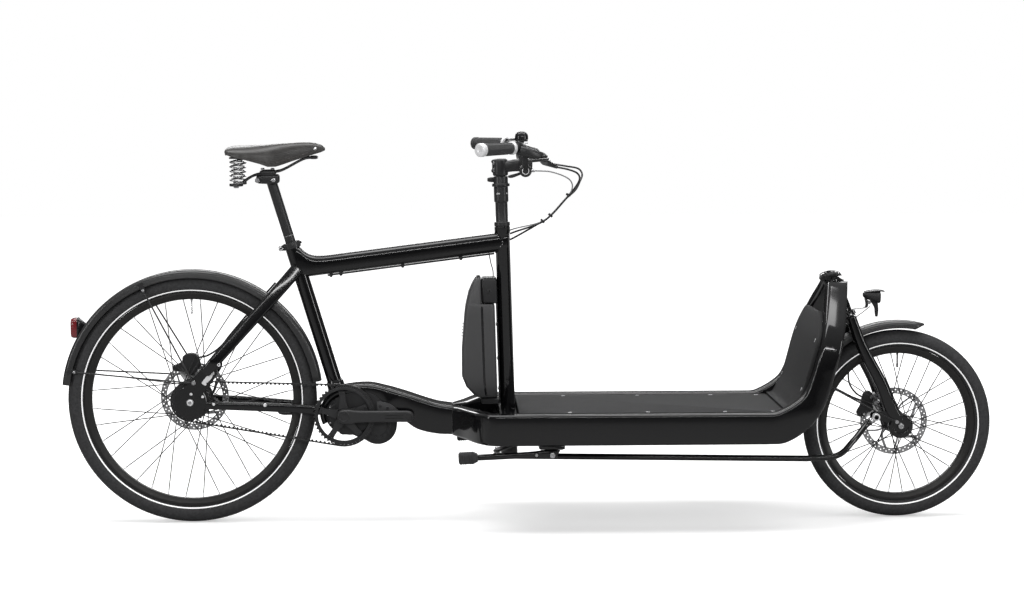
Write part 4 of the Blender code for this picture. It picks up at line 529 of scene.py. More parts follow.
THREAD = material("waxed_thread", (0.05, 0.045, 0.04), 0.6, haze=(300, 0.1),
                  bumps=noise_bump(2500, 0.3, 0.0003))
WIRE = material("dull_spring_steel", (0.5, 0.5, 0.505), 0.22, 1.0, haze=(300, 0.08),
                bumps=noise_bump(1900, 0.05))
FENDER = material("gloss_mudguard", (0.024, 0.024, 0.0245), 0.3, haze=(60, 0.04),
                  bumps=noise_bump(900, 0.02))
STRAP = material("black_webbing", (0.012, 0.012, 0.012), 0.8,
                 mottle=(500, (0.024, 0.024, 0.025), 0.4, 0.65),
                 bumps=cell_bump(900, 0.8, 0.0008) + noise_bump(90, 0.5, 0.002))
RIM = material("black_rim", (0.013, 0.0125, 0.012), 0.42, 0.3, haze=(200, 0.08),
               bumps=noise_bump(1600, 0.1))
SPOKE = material("spoke_steel", (0.035, 0.035, 0.036), 0.4, 0.6, haze=(300, 0.08),
                 bumps=noise_bump(1900, 0.05))
# Near black for the holes in the pedal eyes and the grooves along the crank arms: painted shade.
PAINTED_SHADE = material("painted_recess_shade", (0.003, 0.003, 0.003), 0.8, haze=(200, 0.05), bumps=noise_bump(900, 0.1))
MOTOR_PLATE = material("grey_motor_plate", (0.085, 0.085, 0.087), 0.42, 0.6, haze=(200, 0.08),
                       bumps=noise_bump(1500, 0.12))
SIPE_SHARE = 0.22


def tread_material():
    """Tyre rubber with moulded sipes: U runs round the tyre and V across it, in metres."""
    made = TYRE.copy()
    made.name = "tyre_tread"
    tree = made.node_tree
    shader = tree.nodes["Principled BSDF"]
    split = add_node(tree, "SeparateXYZ", {0: add_node(tree, "UVMap").outputs[0]})
    away = math_node(tree, "ABSOLUTE", split.outputs["Y"])
    rows = []
    # Each row of sipes: how many to a metre, how far they lean, and where they start and end across the tyre.
    for scale, skew, low, high in ((1 / 0.0085, 0.55, 0.0065, 0.0205), (1 / 0.017, -0.8, 0.0, 0.006)):
        lean = math_node(tree, "MULTIPLY_ADD", away, skew, split.outputs["X"])
        part = math_node(tree, "FRACT", math_node(tree, "MULTIPLY", lean, scale))
        groove = math_node(tree, "LESS_THAN", part, SIPE_SHARE)
        inside = math_node(tree, "GREATER_THAN", away, low)
        outside = math_node(tree, "LESS_THAN", away, high)
        rows.append(math_node(tree, "MULTIPLY", math_node(tree, "MULTIPLY", inside, outside), groove))
    bump = add_node(tree, "Bump", {"Strength": 0.9, "Distance": 0.0016,
                                   "Height": math_node(tree, "ADD", *rows),
                                   "Normal": shader.inputs["Normal"].links[0].from_socket}, invert=True)
    tree.links.new(bump.outputs["Normal"], shader.inputs["Normal"])
    return made


TREAD = tread_material()


# Camera, at the place solved from the photograph

FOCAL_PX = 2322
PHOTO_PX = 1024
SENSOR = 36
camera_data = bpy.data.cameras.new("camera")
camera = link("camera", camera_data)
camera_data.sensor_width = SENSOR
camera_data.lens = SENSOR * FOCAL_PX / PHOTO_PX
camera_data.clip_end = 100
camera.matrix_world = Matrix.Translation((-0.254, -6.094, 1.155)) @ Matrix.Rotation(math.radians(-1.96), 4,
        "Z") @ Matrix.Rotation(math.radians(90 - 5.23), 4, "X") @ Matrix.Rotation(math.radians(-0.1), 4,
        "Z")
bpy.context.scene.camera = camera
bpy.context.scene.view_settings.view_transform = "Standard"


# Floor, backdrop and soft studio light

def seen_straight(tree):
    """1 for rays from the camera, straight or through clear parts, and 0 for the others."""
    rays = add_node(tree, "LightPath")
    return math_node(tree, "MAXIMUM", rays.outputs["Is Camera Ray"], rays.outputs["Is Transmission Ray"])


def floor_material():
    """White floor that keeps the soft shadow; its own glow lifts it to white away from the bike."""
    made, tree, shader = new_material("studio_floor")
    seen = seen_straight(tree)
    shade = add_node(tree, "MapRange", {"To Min": 0.4, "To Max": 0.86, "Value": seen})
    feed(tree, shader, {"Roughness": 0.9, "Specular IOR Level": 0.0, "Base Color": shade.outputs["Result"]})
    spot = add_node(tree, "TexCoord")
    away = add_node(tree, "VectorMath", {0: spot.outputs["Object"]}, operation="LENGTH")
    fade = add_node(tree, "MapRange", {"From Min": 1.2, "From Max": 4.5, "To Min": 0.36, "To Max": 0.95,
                                       "Value": away.outputs["Value"]})
    glow = add_node(tree, "Emission", {"Strength": math_node(tree, "MULTIPLY", seen,
            fade.outputs["Result"])})
    both = add_node(tree, "AddShader", {0: shader.outputs[0], 1: glow.outputs[0]})
    feed(tree, tree.nodes["Material Output"], {"Surface": both.outputs[0]})
    return made


FLOOR_HALF = 14
floor_mesh = bpy.data.meshes.new("floor")
floor_mesh.from_pydata([(x * FLOOR_HALF, y * FLOOR_HALF, 0)
                        for x, y in ((-1, -1), (1, -1), (1, 1), (-1, 1))], [], [(0, 1, 2, 3)])
floor_mesh.materials.append(floor_material())
link("floor", floor_mesh)

# The world is white where it is looked at, and a grey sky above a dark ground for light and mirrors.
world = bpy.data.worlds.new("studio")
bpy.context.scene.world = world
world.use_nodes = True
tree = world.node_tree
split = add_node(tree, "SeparateXYZ", {0: add_node(tree, "TexCoord").outputs["Generated"]})
sky = colour_ramp(tree, split.outputs["Z"], (0.0, (0.02, 0.02, 0.02)), (0.9, (0.52, 0.52, 0.52)))
pick = add_node(tree, "Mix", {0: seen_straight(tree)}, data_type="RGBA")
dark, white = [socket for socket in pick.inputs if socket.type == "RGBA"]
tree.links.new(sky, dark)
white.default_value = (1, 1, 1, 1)
mixed = [socket for socket in pick.outputs if socket.type == "RGBA"][0]
feed(tree, tree.nodes["Background"], {"Color": mixed, "Strength": 1.0})


def softbox(name, at, aim, wide, high, watts):
    """Area lamp aimed at a point, out of the camera's sight."""
    lamp = bpy.data.lights.new(name, "AREA")
    lamp.shape = "RECTANGLE"
    lamp.size = wide
    lamp.size_y = high
    lamp.energy = watts
    made = link(name, lamp)
    made.location = at
    made.rotation_euler = (Vector(aim) - Vector(at)).to_track_quat("-Z", "Y").to_euler()
    made.visible_camera = False


softbox("overhead_box", (0, -0.2, 3.4), (0, 0, 0.3), 4.6, 1.5, 115)
softbox("front_strip", (0, -4.4, 2.0), (0, 0, 0.5), 5.0, 0.16, 56)
softbox("left_box", (-4.2, -2.6, 1.5), (-0.4, 0, 0.5), 0.5, 2.2, 42)
softbox("right_box", (4.2, -2.4, 1.5), (0.4, 0, 0.5), 0.5, 2.2, 42)
softbox("back_strip", (0, 3.6, 2.2), (0, 0, 0.4), 4.5, 0.6, 55)


# Frame

def make_frame_tubes():
    """Seat tube, top tube and steering column, with the weld bead where the top tube meets the column."""
    length = SEAT_TUBE_END - SEAT_TUBE_START
    seat = turned(on_seat_line(SEAT_TUBE_START), SEAT_UP,
                  [(0, SEAT_TUBE_R), (length - 1, SEAT_TUBE_R), (length, SEAT_TUBE_R - 1), (length, 14),
                   (length - 40, 13.9)], 56)
    skin("seat_tube", "frame", [(seat, PAINT)], finish="frame_paint")

    joint = TOP_TUBE_JOINT.x
    column = on_column(340).x
    rings = []
    flare = ((-6, 36), (4, 30), (14, 19.5), (26, 10), (42, 3.5), (64, 0.5), (90, 0))
    for away, extra in flare:
        rings.append(section(point(joint + away, 0, middle_of_top_tube(joint + away) + extra / 2), Y, Z,
                             TOP_TUBE_W, TOP_TUBE_H + extra, 17, 7))
    rings = refine(rings, 3)
    rings.append(section(point(column, 0, middle_of_top_tube(column)), Y, Z, TOP_TUBE_W, TOP_TUBE_H, 17, 7))
    skin("top_tube", "frame", [(loft(rings), PAINT)], finish="frame_paint")

    low = DECK_Z - 80
    height = COLUMN_TOP - low
    profile = [(0, COLUMN_R), (height - 18, COLUMN_R), (height - 16, COLUMN_R + 1.5),
               (height - 1, COLUMN_R + 1.5), (height, COLUMN_R + 0.6), (height, 15.6), (height - 20, 15.6)]
    inside = RAIL_OUT - RAIL_W - FIT
    across = on_column(270).x
    member = loft([section(point(across, y, (DECK_Z - 74 + DECK_Z - 16) / 2), X, Z, 52, 58, 7)
                   for y in (-inside, -inside + 1, inside - 1, inside)])
    parts = [(turned(on_column(low), COLUMN_UP, profile, 56), PAINT), (member, PAINT)]
    piece("column_skin", "frame", parts, "head_column", finish="frame_paint")

    seam = []
    for i in range(73):
        turn = 2 * math.pi * i / 72
        y = (TOP_TUBE_W / 2 + 0.6) * math.cos(turn)
        z = (TOP_TUBE_H / 2 + 0.6) * math.sin(turn)
        z = max(-25.6, min(25.6, z * 1.12))
        x = on_column(middle_of_top_tube(column) + z).x - math.sqrt(max(0, COLUMN_R ** 2 - y ** 2)) - 0.3
        seam.append(point(x, y, middle_of_top_tube(x) + z))
    piece("column_weld", "frame", [(tube(seam[:-1], 1.7, 8, closed=True), PAINT)], finish="frame_paint")


def make_stays():
    """Chain stays with their round dropouts, and the deep flat seat stays."""
    for name, side in (("right", -1), ("left", 1)):
        plate_y = REAR_INNER + DROPOUT_T / 2
        start = REAR_AXLE + point(35, 0, -8)
        end = BB + point(-63.6, 0, 12)
        route = smooth([point(start.x, plate_y, start.z), point(start.x + 80, plate_y - 10, start.z - 4),
                        point(start.x + 190, 44, start.z - 11), point(end.x, 31.5, end.z)], 8)
        ways = directions(route)
        ways[-1] = X
        rings = []
        for i, (centre, way) in enumerate(zip(route, ways)):
            along = i / (len(route) - 1)
            ring = section(centre, way.cross(Z), Z, 7 + 9 * min(1, along * 4), 20 + 5 * along, 6.5, 6)
            rings.append(ring if side > 0 else mirrored(ring))
        low, high = sorted((side * REAR_INNER, side * (REAR_INNER + DROPOUT_T)))
        outline = arc(REAR_AXLE.x, REAR_AXLE.z, 41, 115, 395, 60)
        lobe = smooth([point(x, 0, z) for x, z in (outline[-1], (REAR_AXLE.x + 60, REAR_AXLE.z + 56),
                                                   (REAR_AXLE.x + 72, REAR_AXLE.z + 86),
                                                   (REAR_AXLE.x + 55, REAR_AXLE.z + 100),
                                                   (REAR_AXLE.x + 32, REAR_AXLE.z + 88),
                                                   (REAR_AXLE.x - 2, REAR_AXLE.z + 52), outline[0])], 5)
        outline += [(p.x, p.z) for p in lobe[1:-1]]
        outer_face = side * (REAR_INNER + DROPOUT_T)
        parts = [(loft(rings), PAINT), (plate(outline, low, high), PAINT)]
        # Silver bolts where the stay's arm, the sliding dropout and its adjuster are held.
        for ahead, above, radius in ((60, 77, 4.4), (40, 48, 3.6)):
            at = point(REAR_AXLE.x + ahead, outer_face, REAR_AXLE.z + above)
            parts.append((socket_bolt(at, Y * side, radius, 3.2), SILVER))
        for ahead, above in ((61, -5), (33, 15), (3, 22)):
            at = point(REAR_AXLE.x + ahead, outer_face, REAR_AXLE.z + above)
            parts.append((socket_bolt(at, Y * side, 3.6, 2.4), SILVER))
        insert = [point(REAR_AXLE.x + x, outer_face, REAR_AXLE.z + z)
                  for x, z in ((36, 46), (52, 58), (60, 71), (54, 76), (41, 65), (31, 52))]
        insert = smooth(insert + insert[:1], 4)[:-1]
        parts.append((loft([[p + Y * side * d for p in insert] for d in (0, 0.8)]), SILVER))
        at = point(REAR_AXLE.x + 193, side * 57.4, REAR_AXLE.z - 10)
        parts.append((socket_bolt(at, Y * side, 4.6, 3), SILVER))
        skin(f"chain_stay_{name}", "frame", parts, bevel=0.8, finish="frame_paint")

        top = STAY_TOP
        foot = STAY_FOOT
        lean = (top - foot).normalized()
        reach = REAR_OUTER
        route = smooth([point(top.x - 2, 17, top.z), top + (foot - top) * 0.25 + Y * 38,
                        top + (foot - top) * 0.6 + Y * 60,
                        point(foot.x + lean.x * 20, reach + 7, foot.z + lean.z * 20),
                        point(foot.x - lean.x * 22, reach + 5, foot.z - lean.z * 22)], 7)
        rings = []
        for i, (centre, way) in enumerate(zip(route, directions(route))):
            along = i / (len(route) - 1)
            deep = Y.cross(way).normalized()
            across = way.cross(deep).normalized()
            wide = 15 if along < 0.75 else 15 - 20 * (along - 0.75)
            ring = section(centre, across, deep, wide, 34 - 6 * along, 6.5, 6)
            rings.append(ring if side > 0 else mirrored(ring))
        end_ring = rings[-1]
        hub = sum(end_ring, Vector()) / len(end_ring)
        way = directions(route)[-1]
        if side < 0:
            way = mirrored([way])[0]
        rings.append([hub + (p - hub) * 0.72 + way * 4 for p in end_ring])
        at = point(REAR_AXLE.x + 77, side * (REAR_INNER + 18.6), REAR_AXLE.z + 100)
        skin(f"seat_stay_{name}", "frame", [(loft(rings), PAINT),
                                            (socket_bolt(at, Y * side, 4.6, 4), SILVER)], crease=50,
             finish="frame_paint")


def make_boom_skin():
    """Motor bridge that grows into the deep beam under the deck's rear."""
    stations = []
    for angle, thick, half in ((205, 13, 37), (180, 14, 39), (150, 16, 40), (120, 19, 40), (92, 24, 40)):
        turn = math.radians(angle)
        out = aimed(turn)
        stations.append((BB + out * (49.3 + thick / 2), out, thick, half))
    run = ((59, 61, 80, 38, 40), (104, 49, 74, 44, 41), (128, 38, 70, 52, 46), (162, 21, 68, 64, 46),
           (200, 0, 76, 79, 46), (244, -12, 86, 79, 46), (284, -16, 90, 75, 48))
    for ahead, above, lean, thick, half in run:
        turn = math.radians(lean)
        out = aimed(turn)
        stations.append((BB + point(ahead, 0, above), out, thick, half))
    rings = refine([section(centre, Y, out, 2 * half, thick, 10, 6)
                    for centre, out, thick, half in stations], 4)
    lug_end = SEAT_TUBE_START - 57
    lug = turned(on_seat_line(57), SEAT_UP, bent([(0, 25), (8, 23), (lug_end - 8, 23),
                                                  (lug_end - 0.3, SEAT_TUBE_R + 0.4)], 3), 48)
    parts = [(loft(rings), PAINT), (lug, PAINT)]
    skin("boom", "frame", parts, crease=45, finish="frame_paint")


def rail_rows():
    """Middle points, depth directions, widths and depths of the right-hand rail."""
    low = RAIL_OUT - RAIL_W / 2
    middle = DECK_Z - RAIL_H / 2
    start = BB.x + 284.3
    rows = []
    plan = ((0, 24.2, 0, 47.6, 75), (18, 48, 52, 40, 77), (40, 92, 66, 36, 79), (64, 148, 66, 38, 81),
            (82, 182, 56, 41, 81), (98, 203, 32, 43, 81), (114, low, 0, RAIL_W, RAIL_H))
    for ahead, out, turn, width, depth in plan:
        way = Vector((math.cos(math.radians(turn)), -math.sin(math.radians(turn)), 0))
        rows.append((point(start + ahead, -out, middle), way.cross(Z), Z, width, depth))
    sweep = ((-55, 0, 0, 0, RAIL_H), (-20, 0, 2, 10, 82), (13, 0, 18, 32, 78), (45, 1, 43, 52, 70),
             (70, 4, 76, 62, 60), (89, 7, 126, 71, 55), (102, 10, 171, 72, 54), (114, 18, 210, 72, 54),
             (124, 42, 248, 72, 54), (135, 92, 290, 73, 54), (147, 148, 331, 73, 54),
             (155, 192, 366, 74, 54))
    centres = [point(DECK_FRONT + ahead, -(low - inward), middle + above)
               for ahead, inward, above, _, _ in sweep]
    ways = directions(centres)
    ways[0] = X
    for centre, way, (_, _, _, lean, depth) in zip(centres, ways, sweep):
        turn = math.radians(lean - 90)
        out = -aimed(turn)
        across = way.cross(out).normalized()
        rows.append((centre, across, across.cross(way), RAIL_W, depth))
    return rows


def make_rails():
    """Box rails beside the deck that sweep up and in to the front head."""
    straight = 7
    for name, side in (("right", -1), ("left", 1)):
        rows = rail_rows()
        rings = [section(c, across, up, width, depth, 9, 6) for c, across, up, width, depth in rows]
        # The rear bend and the front sweep are refined; the long run between stays straight.
        rear = refine(rings[:straight], 4)
        front = refine(rings[straight:], 4)
        rings = rear + front
        limit = 0.4
        shaped = []
        for ring in rings:
            ring = [point(p.x, min(p.y, -limit), p.z) for p in ring]
            shaped.append(ring if side < 0 else mirrored(ring))
        verts, faces = loft(shaped)
        top = HEAD_HIGH - 2.3
        kept = [point(p.x, p.y, min(p.z, top)) for p in verts]
        skin(f"rail_{name}", "frame", [((kept, faces), PAINT)], crease=55, finish="frame_paint")


def make_heads():
    """Front head tube with its cups."""
    start = on_head_axis(HEAD_LOW)
    length = (HEAD_HIGH - HEAD_LOW) / HEAD_UP.z
    profile = bent([(0, HEAD_TUBE_R - 3), (0.3, HEAD_TUBE_R - 0.4), (7, HEAD_TUBE_R - 0.2),
                    (8, HEAD_TUBE_R - 1.6), (9, HEAD_TUBE_R), (length - 9, HEAD_TUBE_R),
                    (length - 8, HEAD_TUBE_R - 1.6), (length - 7, HEAD_TUBE_R - 0.2),
                    (length - 0.3, HEAD_TUBE_R - 0.4), (length, 15.5)], 0.5, 2)
    piece("front_head_skin", "frame", [(turned(start, HEAD_UP, profile, 48), PAINT)], "front_head_tube",
          finish="frame_paint")


def make_deck():
    """Deck board and bent front board, their bolts sunk at the edges."""
    inside = RAIL_OUT - RAIL_W - 0.8
    top = DECK_Z - 4
    rear = on_column(DECK_Z).x + 19 + 6
    outline = []
    for cx, cy, start in ((DECK_FRONT - 8, inside - 8, 0), (rear + 8, inside - 8, 90),
                          (rear + 8, -inside + 8, 180), (DECK_FRONT - 8, -inside + 8, 270)):
        for step in range(7):
            turn = math.radians(start + 15 * step)
            outline.append((cx + 8 * math.cos(turn), cy + 8 * math.sin(turn)))
    rings = []
    for z, shrink in ((top - BOARD_T, 0.6), (top - BOARD_T + 0.6, 0), (top - 0.8, 0), (top, 0.8)):
        rings.append([point(x - math.copysign(shrink, x - 300), y - math.copysign(shrink, y), z)
                      for x, y in outline])
    board = loft(rings)
    parts = [(board, DECK)]
    for x in (98, 300, 500, 625):
        for y in (-160, 160):
            parts.append((socket_bolt(point(x, y, top - 1.2), Z, 5.2, 2.2), STEEL))
    skin("deck_board", "frame", parts, finish="deck_grey")

    rows = ((2, 0.3, 185), (19, 4, 186), (32, 24, 186), (47, 56, 184), (60, 100, 185), (72.5, 146, 188),
            (83, 182, 186), (91, 212, 165), (97, 240, 124), (100, 252, 96))
    base = point(DECK_FRONT, 0, top)
    centres = [base + point(ahead, 0, above) for ahead, above, _ in rows]
    rings = []
    for centre, way, (_, _, half) in zip(centres, directions(centres), rows):
        rings.append(section(centre, Y, way.cross(Y), 2 * half, BOARD_T, 1.5, 2))
    rings = refine(rings, 4)
    parts = [(loft(rings), DECK)]
    for i, half in ((14, 168), (24, 158)):
        centre = centres[i // 4]
        way = directions(centres)[i // 4]
        face = way.cross(Y).normalized()
        if face.x > 0:
            face = -face
        for side in (-1, 1):
            parts.append((socket_bolt(centre + face * (BOARD_T / 2 - 0.6) + Y * side * half, face, 5.2,
                                      2.4), STEEL))
    skin("front_board", "frame", parts, crease=50, finish="deck_grey")


def make_collar():
    """Seat clamp: split ring, ears and the quick-release cam and blade."""
    at = on_seat_line(SEAT_TUBE_END - 14)
    ring = turned(at, SEAT_UP, bent([(0, 19.4), (0, 23.4), (16.5, 23.4), (16.5, 13.9), (14.3, 13.9),
                                     (14.3, 19.4)], 1.2, 3), 56)
    behind = Y.cross(SEAT_UP) * -1
    ears = []
    for side in (-1, 1):
        ears.append((loft([section(at + behind * d + SEAT_UP * 8 + Y * side * 5.9, Y, SEAT_UP, wide, high,
                                   2.5, 3) for d, wide, high in ((19, 8.2, 14), (30, 8.2, 13.4),
                (34.4, 7.4, 11), (35, 5, 7))]), SATIN))
    pin = at + behind * 29 + SEAT_UP * 8
    nut = turned(pin - Y * 9.6, -Y, bent([(0, 6), (4.6, 6), (5.2, 4)], 0.8, 2), 32)
    rod = turned(pin - Y * 12, Y, [(0, 2.4), (30, 2.4)], 20)
    skin("seat_collar", "frame", [(ring, SATIN), *ears, (nut, CHROME), (rod, CHROME)],
          bevel=0.4, finish="satin_metal")
    cam = turned(pin + Y * 17.5 - SEAT_UP * 6, SEAT_UP,
                 bent([(0, 2), (0, 6.6), (12, 6.6), (12, 2)], 1.0, 3), 40)
    path = smooth([pin + Y * 18, pin + Y * 26 - behind * 14, pin + Y * 29 - behind * 34,
                   pin + Y * 22 - behind * 54], 6)
    rings = []
    for i, (p, way) in enumerate(zip(path, directions(path))):
        along = i / (len(path) - 1)
        high = 9 + 4 * math.sin(math.pi * min(1, along * 1.15))
        if along > 0.9:
            high *= 1 - (along - 0.9) * 3
        rings.append(section(p, way.cross(SEAT_UP), SEAT_UP, 4.4, high, 2.1, 5))
    piece("seat_lever_skin", "seat_lever", [(cam, SATIN), (loft(rings), SATIN)], "seat_clamp_lever",
          finish="satin_metal")


# Wheels and drive

def around(centre, angle, radius, y=0.0):
    """Point at an angle in degrees and a distance from an axle."""
    turn = math.radians(angle)
    return centre + point(radius * math.cos(turn), y, radius * math.sin(turn))


def make_tyre_skin(which, centre, radius, stripe):
    """Tyre with a rounded section, its reflective line and its sipes."""
    half = TYRE_W / 2
    bead = radius - TYRE_H
    profile = []
    for i in range(33):
        turn = math.radians(-128 + 256 * i / 32)
        y = half * math.sin(turn)
        reach = radius - half + half * math.cos(turn)
        profile.append((y, reach))
    profile = [(-11.5, bead), (-12.6, bead + 2.5)] + [p
                                                      for p in profile if p[1] > bead + 5] + [(12.6,
            bead + 2.5), (11.5, bead)]
    shape = turned(centre, Y, profile, 144, ring=True)
    made = skin(f"{which}_tyre", f"{which}_wheel_body", [(shape, TREAD)], crease=60, finish="tyre_rubber")
    layer = made.data.uv_layers.new(name="tread")
    for loop in made.data.loops:
        place = made.data.vertices[loop.vertex_index].co / MM - centre
        turn = math.atan2(place.z, place.x)
        layer.data[loop.index].uv = (turn * radius * MM, place.y * MM)
    for polygon in made.data.polygons:
        values = [layer.data[i].uv.x for i in polygon.loop_indices]
        if max(values) - min(values) > radius * MM:
            for i in polygon.loop_indices:
                if layer.data[i].uv.x < 0:
                    layer.data[i].uv.x += 2 * math.pi * radius * MM
    # Reflective bands on both sides of the tyre; their material glows with painted light.
    bands = []
    for side in (-1, 1):
        rows = []
        for size in (stripe - 1.4, stripe - 0.6, stripe + 0.6, stripe + 1.4):
            depth = math.sqrt(max(0.0, half ** 2 - (size - radius + half) ** 2))
            lift = 0.35 if abs(size - stripe) < 1 else 0.05
            rows.append((side * (depth + lift), size))
        rows += [(side * (abs(y) - 1.0), size) for y, size in rows[::-1]]
        bands.append((turned(centre, Y, rows, 144, ring=True), GLOWING_REFLEX))
    piece(f"{which}_tyre_reflective_line", f"{which}_wheel_body", bands, finish="tyre_rubber")


def make_wheel_skin(which, centre, radius, hub, spokes, flanges, flange_r, extras):
    """Rim, hub shell, laced spokes with their nipples, and the valve."""
    bead = radius - TYRE_H - 0.3
    inner = bead - 20.5
    rim = bent([(9.5, bead - 3), (11, bead), (12.8, bead - 0.4), (13, bead - 7), (8.5, inner + 1.5),
                (0, inner), (-8.5, inner + 1.5), (-13, bead - 7), (-12.8, bead - 0.4), (-11, bead),
                (-9.5, bead - 3), (0, bead - 5)], 1.2, 3)
    parts = [(turned(centre, Y, rim, 144, ring=True), RIM),
             (turned(centre, Y, bent(hub, 1.6, 3), 64, ring=True), CAST)]
    for i in range(spokes):
        side = flanges[i % 2]
        lead = 1 if (i // 2) % 2 else -1
        rim_turn = 2 * math.pi * (i + 0.5) / spokes
        hub_turn = rim_turn + lead * 9.6 * math.pi / spokes
        lift = 1.1 * lead
        start = centre + Vector((math.cos(hub_turn) * (flange_r - 3.5), side + lift,
                                 math.sin(hub_turn) * (flange_r - 3.5)))
        end = centre + Vector((math.cos(rim_turn) * (inner + 3), side * 0.12,
                               math.sin(rim_turn) * (inner + 3)))
        way = (end - start).normalized()
        length = (end - start).length
        parts += [(turned(start, way, [(-1, 1.5), (8, 1.5), (14, 1.3), (length - 10, 1.3)], 8), SPOKE),
                  (turned(end - way * 14, way, [(0, 1.3), (1, 1.9), (14, 1.9)], 8), SILVER)]
        head = start - way * 1.5
        parts.append((turned(head - Y * lead * 1.2, Y * lead, [(0, 2.1), (1.6, 2.1), (2.4, 1.2)], 8),
                      SPOKE))
    valve = around(centre, 90, inner + 3)
    parts.append((turned(valve, Z * -1, [(0, 3.0), (7, 3.0), (7.2, 2.2), (30, 2.2), (31, 2.8), (40, 2.6),
                                         (41, 1.6)], 14), STEEL if which == "rear" else SATIN))
    parts.extend(extras)
    skin(f"{which}_wheel", f"{which}_wheel_body", parts, crease=42, finish="satin_metal")


def perforated_ring(centre, low, high, radii, cells, hole):
    """Brake ring: cells between radii; every other cell of the middle rows is drilled."""
    verts = []
    faces = []

    def at(turn, radius, y):
        return centre + point(radius * math.cos(turn), y, radius * math.sin(turn))

    def add(points, onward=True):
        start = len(verts)
        verts.extend(points)
        face = tuple(range(start, start + len(points)))
        faces.append(face if onward else face[::-1])

    for y in (low, high):
        for k, (near, far) in enumerate(zip(radii, radii[1:])):
            for i in range(cells):
                a, b, c = [2 * math.pi * (i + f) / cells for f in (0, 0.5, 1)]
                if not 0 < k < len(radii) - 2 or (i + k) % 2:
                    add([at(turn, r, y) for turn, r in ((a, near), (b, near), (c, near), (c, far), (b, far),
                                                        (a, far))], y == low)
                    continue
                mid = (near + far) / 2
                edge = [at(turn, r, y) for turn, r in ((a, near), (b, near), (c, near), (c, mid), (c, far),
                                                       (b, far), (a, far), (a, mid))]
                middle = at(b, mid, y)
                for p, q in zip(edge, edge[1:] + edge[:1]):
                    rims = [middle + (corner - middle).normalized() * hole for corner in (q, p)]
                    add([p, q, *rims], y == low)
                    if y == low:
                        lift = point(0, high - low, 0)
                        add([rims[0], rims[1], rims[1] + lift, rims[0] + lift])
    count = cells * 2
    for size in (radii[0], radii[-1]):
        start = len(verts)
        verts += [at(math.pi * i / cells, size, y) for y in (low, high) for i in range(count)]
        for i in range(count):
            j = (i + 1) % count
            faces.append((start + i, start + j, start + count + j, start + count + i))
    return verts, faces


def make_rotor_skin(which, centre, side_y, bore):
    """Brake disc: drilled ring on swept arms, and its lock ring."""
    low = side_y + 0.1
    high = side_y + ROTOR_T - 0.1
    inner = ROTOR_R - 16.5
    ring = perforated_ring(centre, low, high, (inner, inner + 2.6, inner + 8, inner + 13.4, ROTOR_R), 68,
                           1.9)
    parts = [(ring, ROTOR)]
    parts.append((turned(centre + Y * low, Y, [(0, bore + 14), (0, bore + 0.3), (1.8, bore + 0.3),
                                               (1.8, bore + 14)], 48, ring=True), ROTOR))
    for i in range(5):
        turn = 360 * i / 5
        for swing, wide in ((38, 7), (-16, 4.5)):
            path = smooth([around(centre, turn, bore + 9),
                           around(centre, turn + swing * 0.35, (bore + inner) / 2 + 4),
                           around(centre, turn + swing, inner + 2)], 5)
            left = []
            right = []
            for p, way in zip(path, directions(path)):
                across = way.cross(Y).normalized() * wide / 2
                left.append((p.x + across.x, p.z + across.z))
                right.append((p.x - across.x, p.z - across.z))
            parts.append((plate(left + right[::-1], low, high), ROTOR))
    lock = turned(centre + Y * (side_y + ROTOR_T), Y,
                  bent([(0, bore + 0.5), (0, bore + 7), (2.2, bore + 6.6), (2.6, bore + 0.5)], 0.5, 2), 36,
                  ring=True)
    parts.append((lock, SATIN))
    skin(f"{which}_rotor", f"{which}_wheel_body", parts, crease=30, finish="steel")


def make_wheels():
    """Both wheels with their tyres, hubs and brake discs."""
    make_tyre_skin("rear", REAR_AXLE, REAR_R, REAR_BAND_R)
    make_tyre_skin("front", FRONT_AXLE, FRONT_R, FRONT_BAND_R)
    rear_hub = [(-37, 6), (-37, 28), (-33, 51), (-31, 51), (-29, 44), (-12, 43), (-11, 42), (10, 42),
                (11, 43), (28, 44), (30, 51), (32, 51), (36, 40), (47, 24), (47, 6)]
    front_hub = [(-42, 8), (-42, 15), (-33, 28), (-31, 29), (-29, 27), (-25, 18), (22, 18), (25, 26),
                 (28, 29), (30, 28), (36, 22), (36, 8)]
    rings = []
    for y in (-22, 20):
        rings.append((turned(REAR_AXLE + Y * y, Y, bent([(-1.5, 42), (-1.5, 45.2), (1.5, 45.2), (1.5, 42)],
                                                        0.5, 2), 64, ring=True), SATIN))
    make_wheel_skin("rear", REAR_AXLE, REAR_R, rear_hub, 36, (-31, 30), 51, rings)
    make_wheel_skin("front", FRONT_AXLE, FRONT_R, front_hub, 32, (-30.5, 26.5), 29, [])
    make_rotor_skin("rear", REAR_AXLE, REAR_DISC_Y, 20)
    make_rotor_skin("front", FRONT_AXLE, FRONT_DISC_Y, 16)


def belt_path():
    """Where the belt's pitch line bends: angles, the straight run and the wraps."""
    centres = (REAR_AXLE - BB).length
    swing = math.asin((FRONT_PITCH_R - REAR_PITCH_R) / centres)
    line = math.atan2(REAR_AXLE.z - BB.z, REAR_AXLE.x - BB.x)
    up_turn = line - math.pi / 2 + swing
    straight = math.sqrt(centres ** 2 - (FRONT_PITCH_R - REAR_PITCH_R) ** 2)
    return up_turn, straight, math.pi + 2 * swing, math.pi - 2 * swing


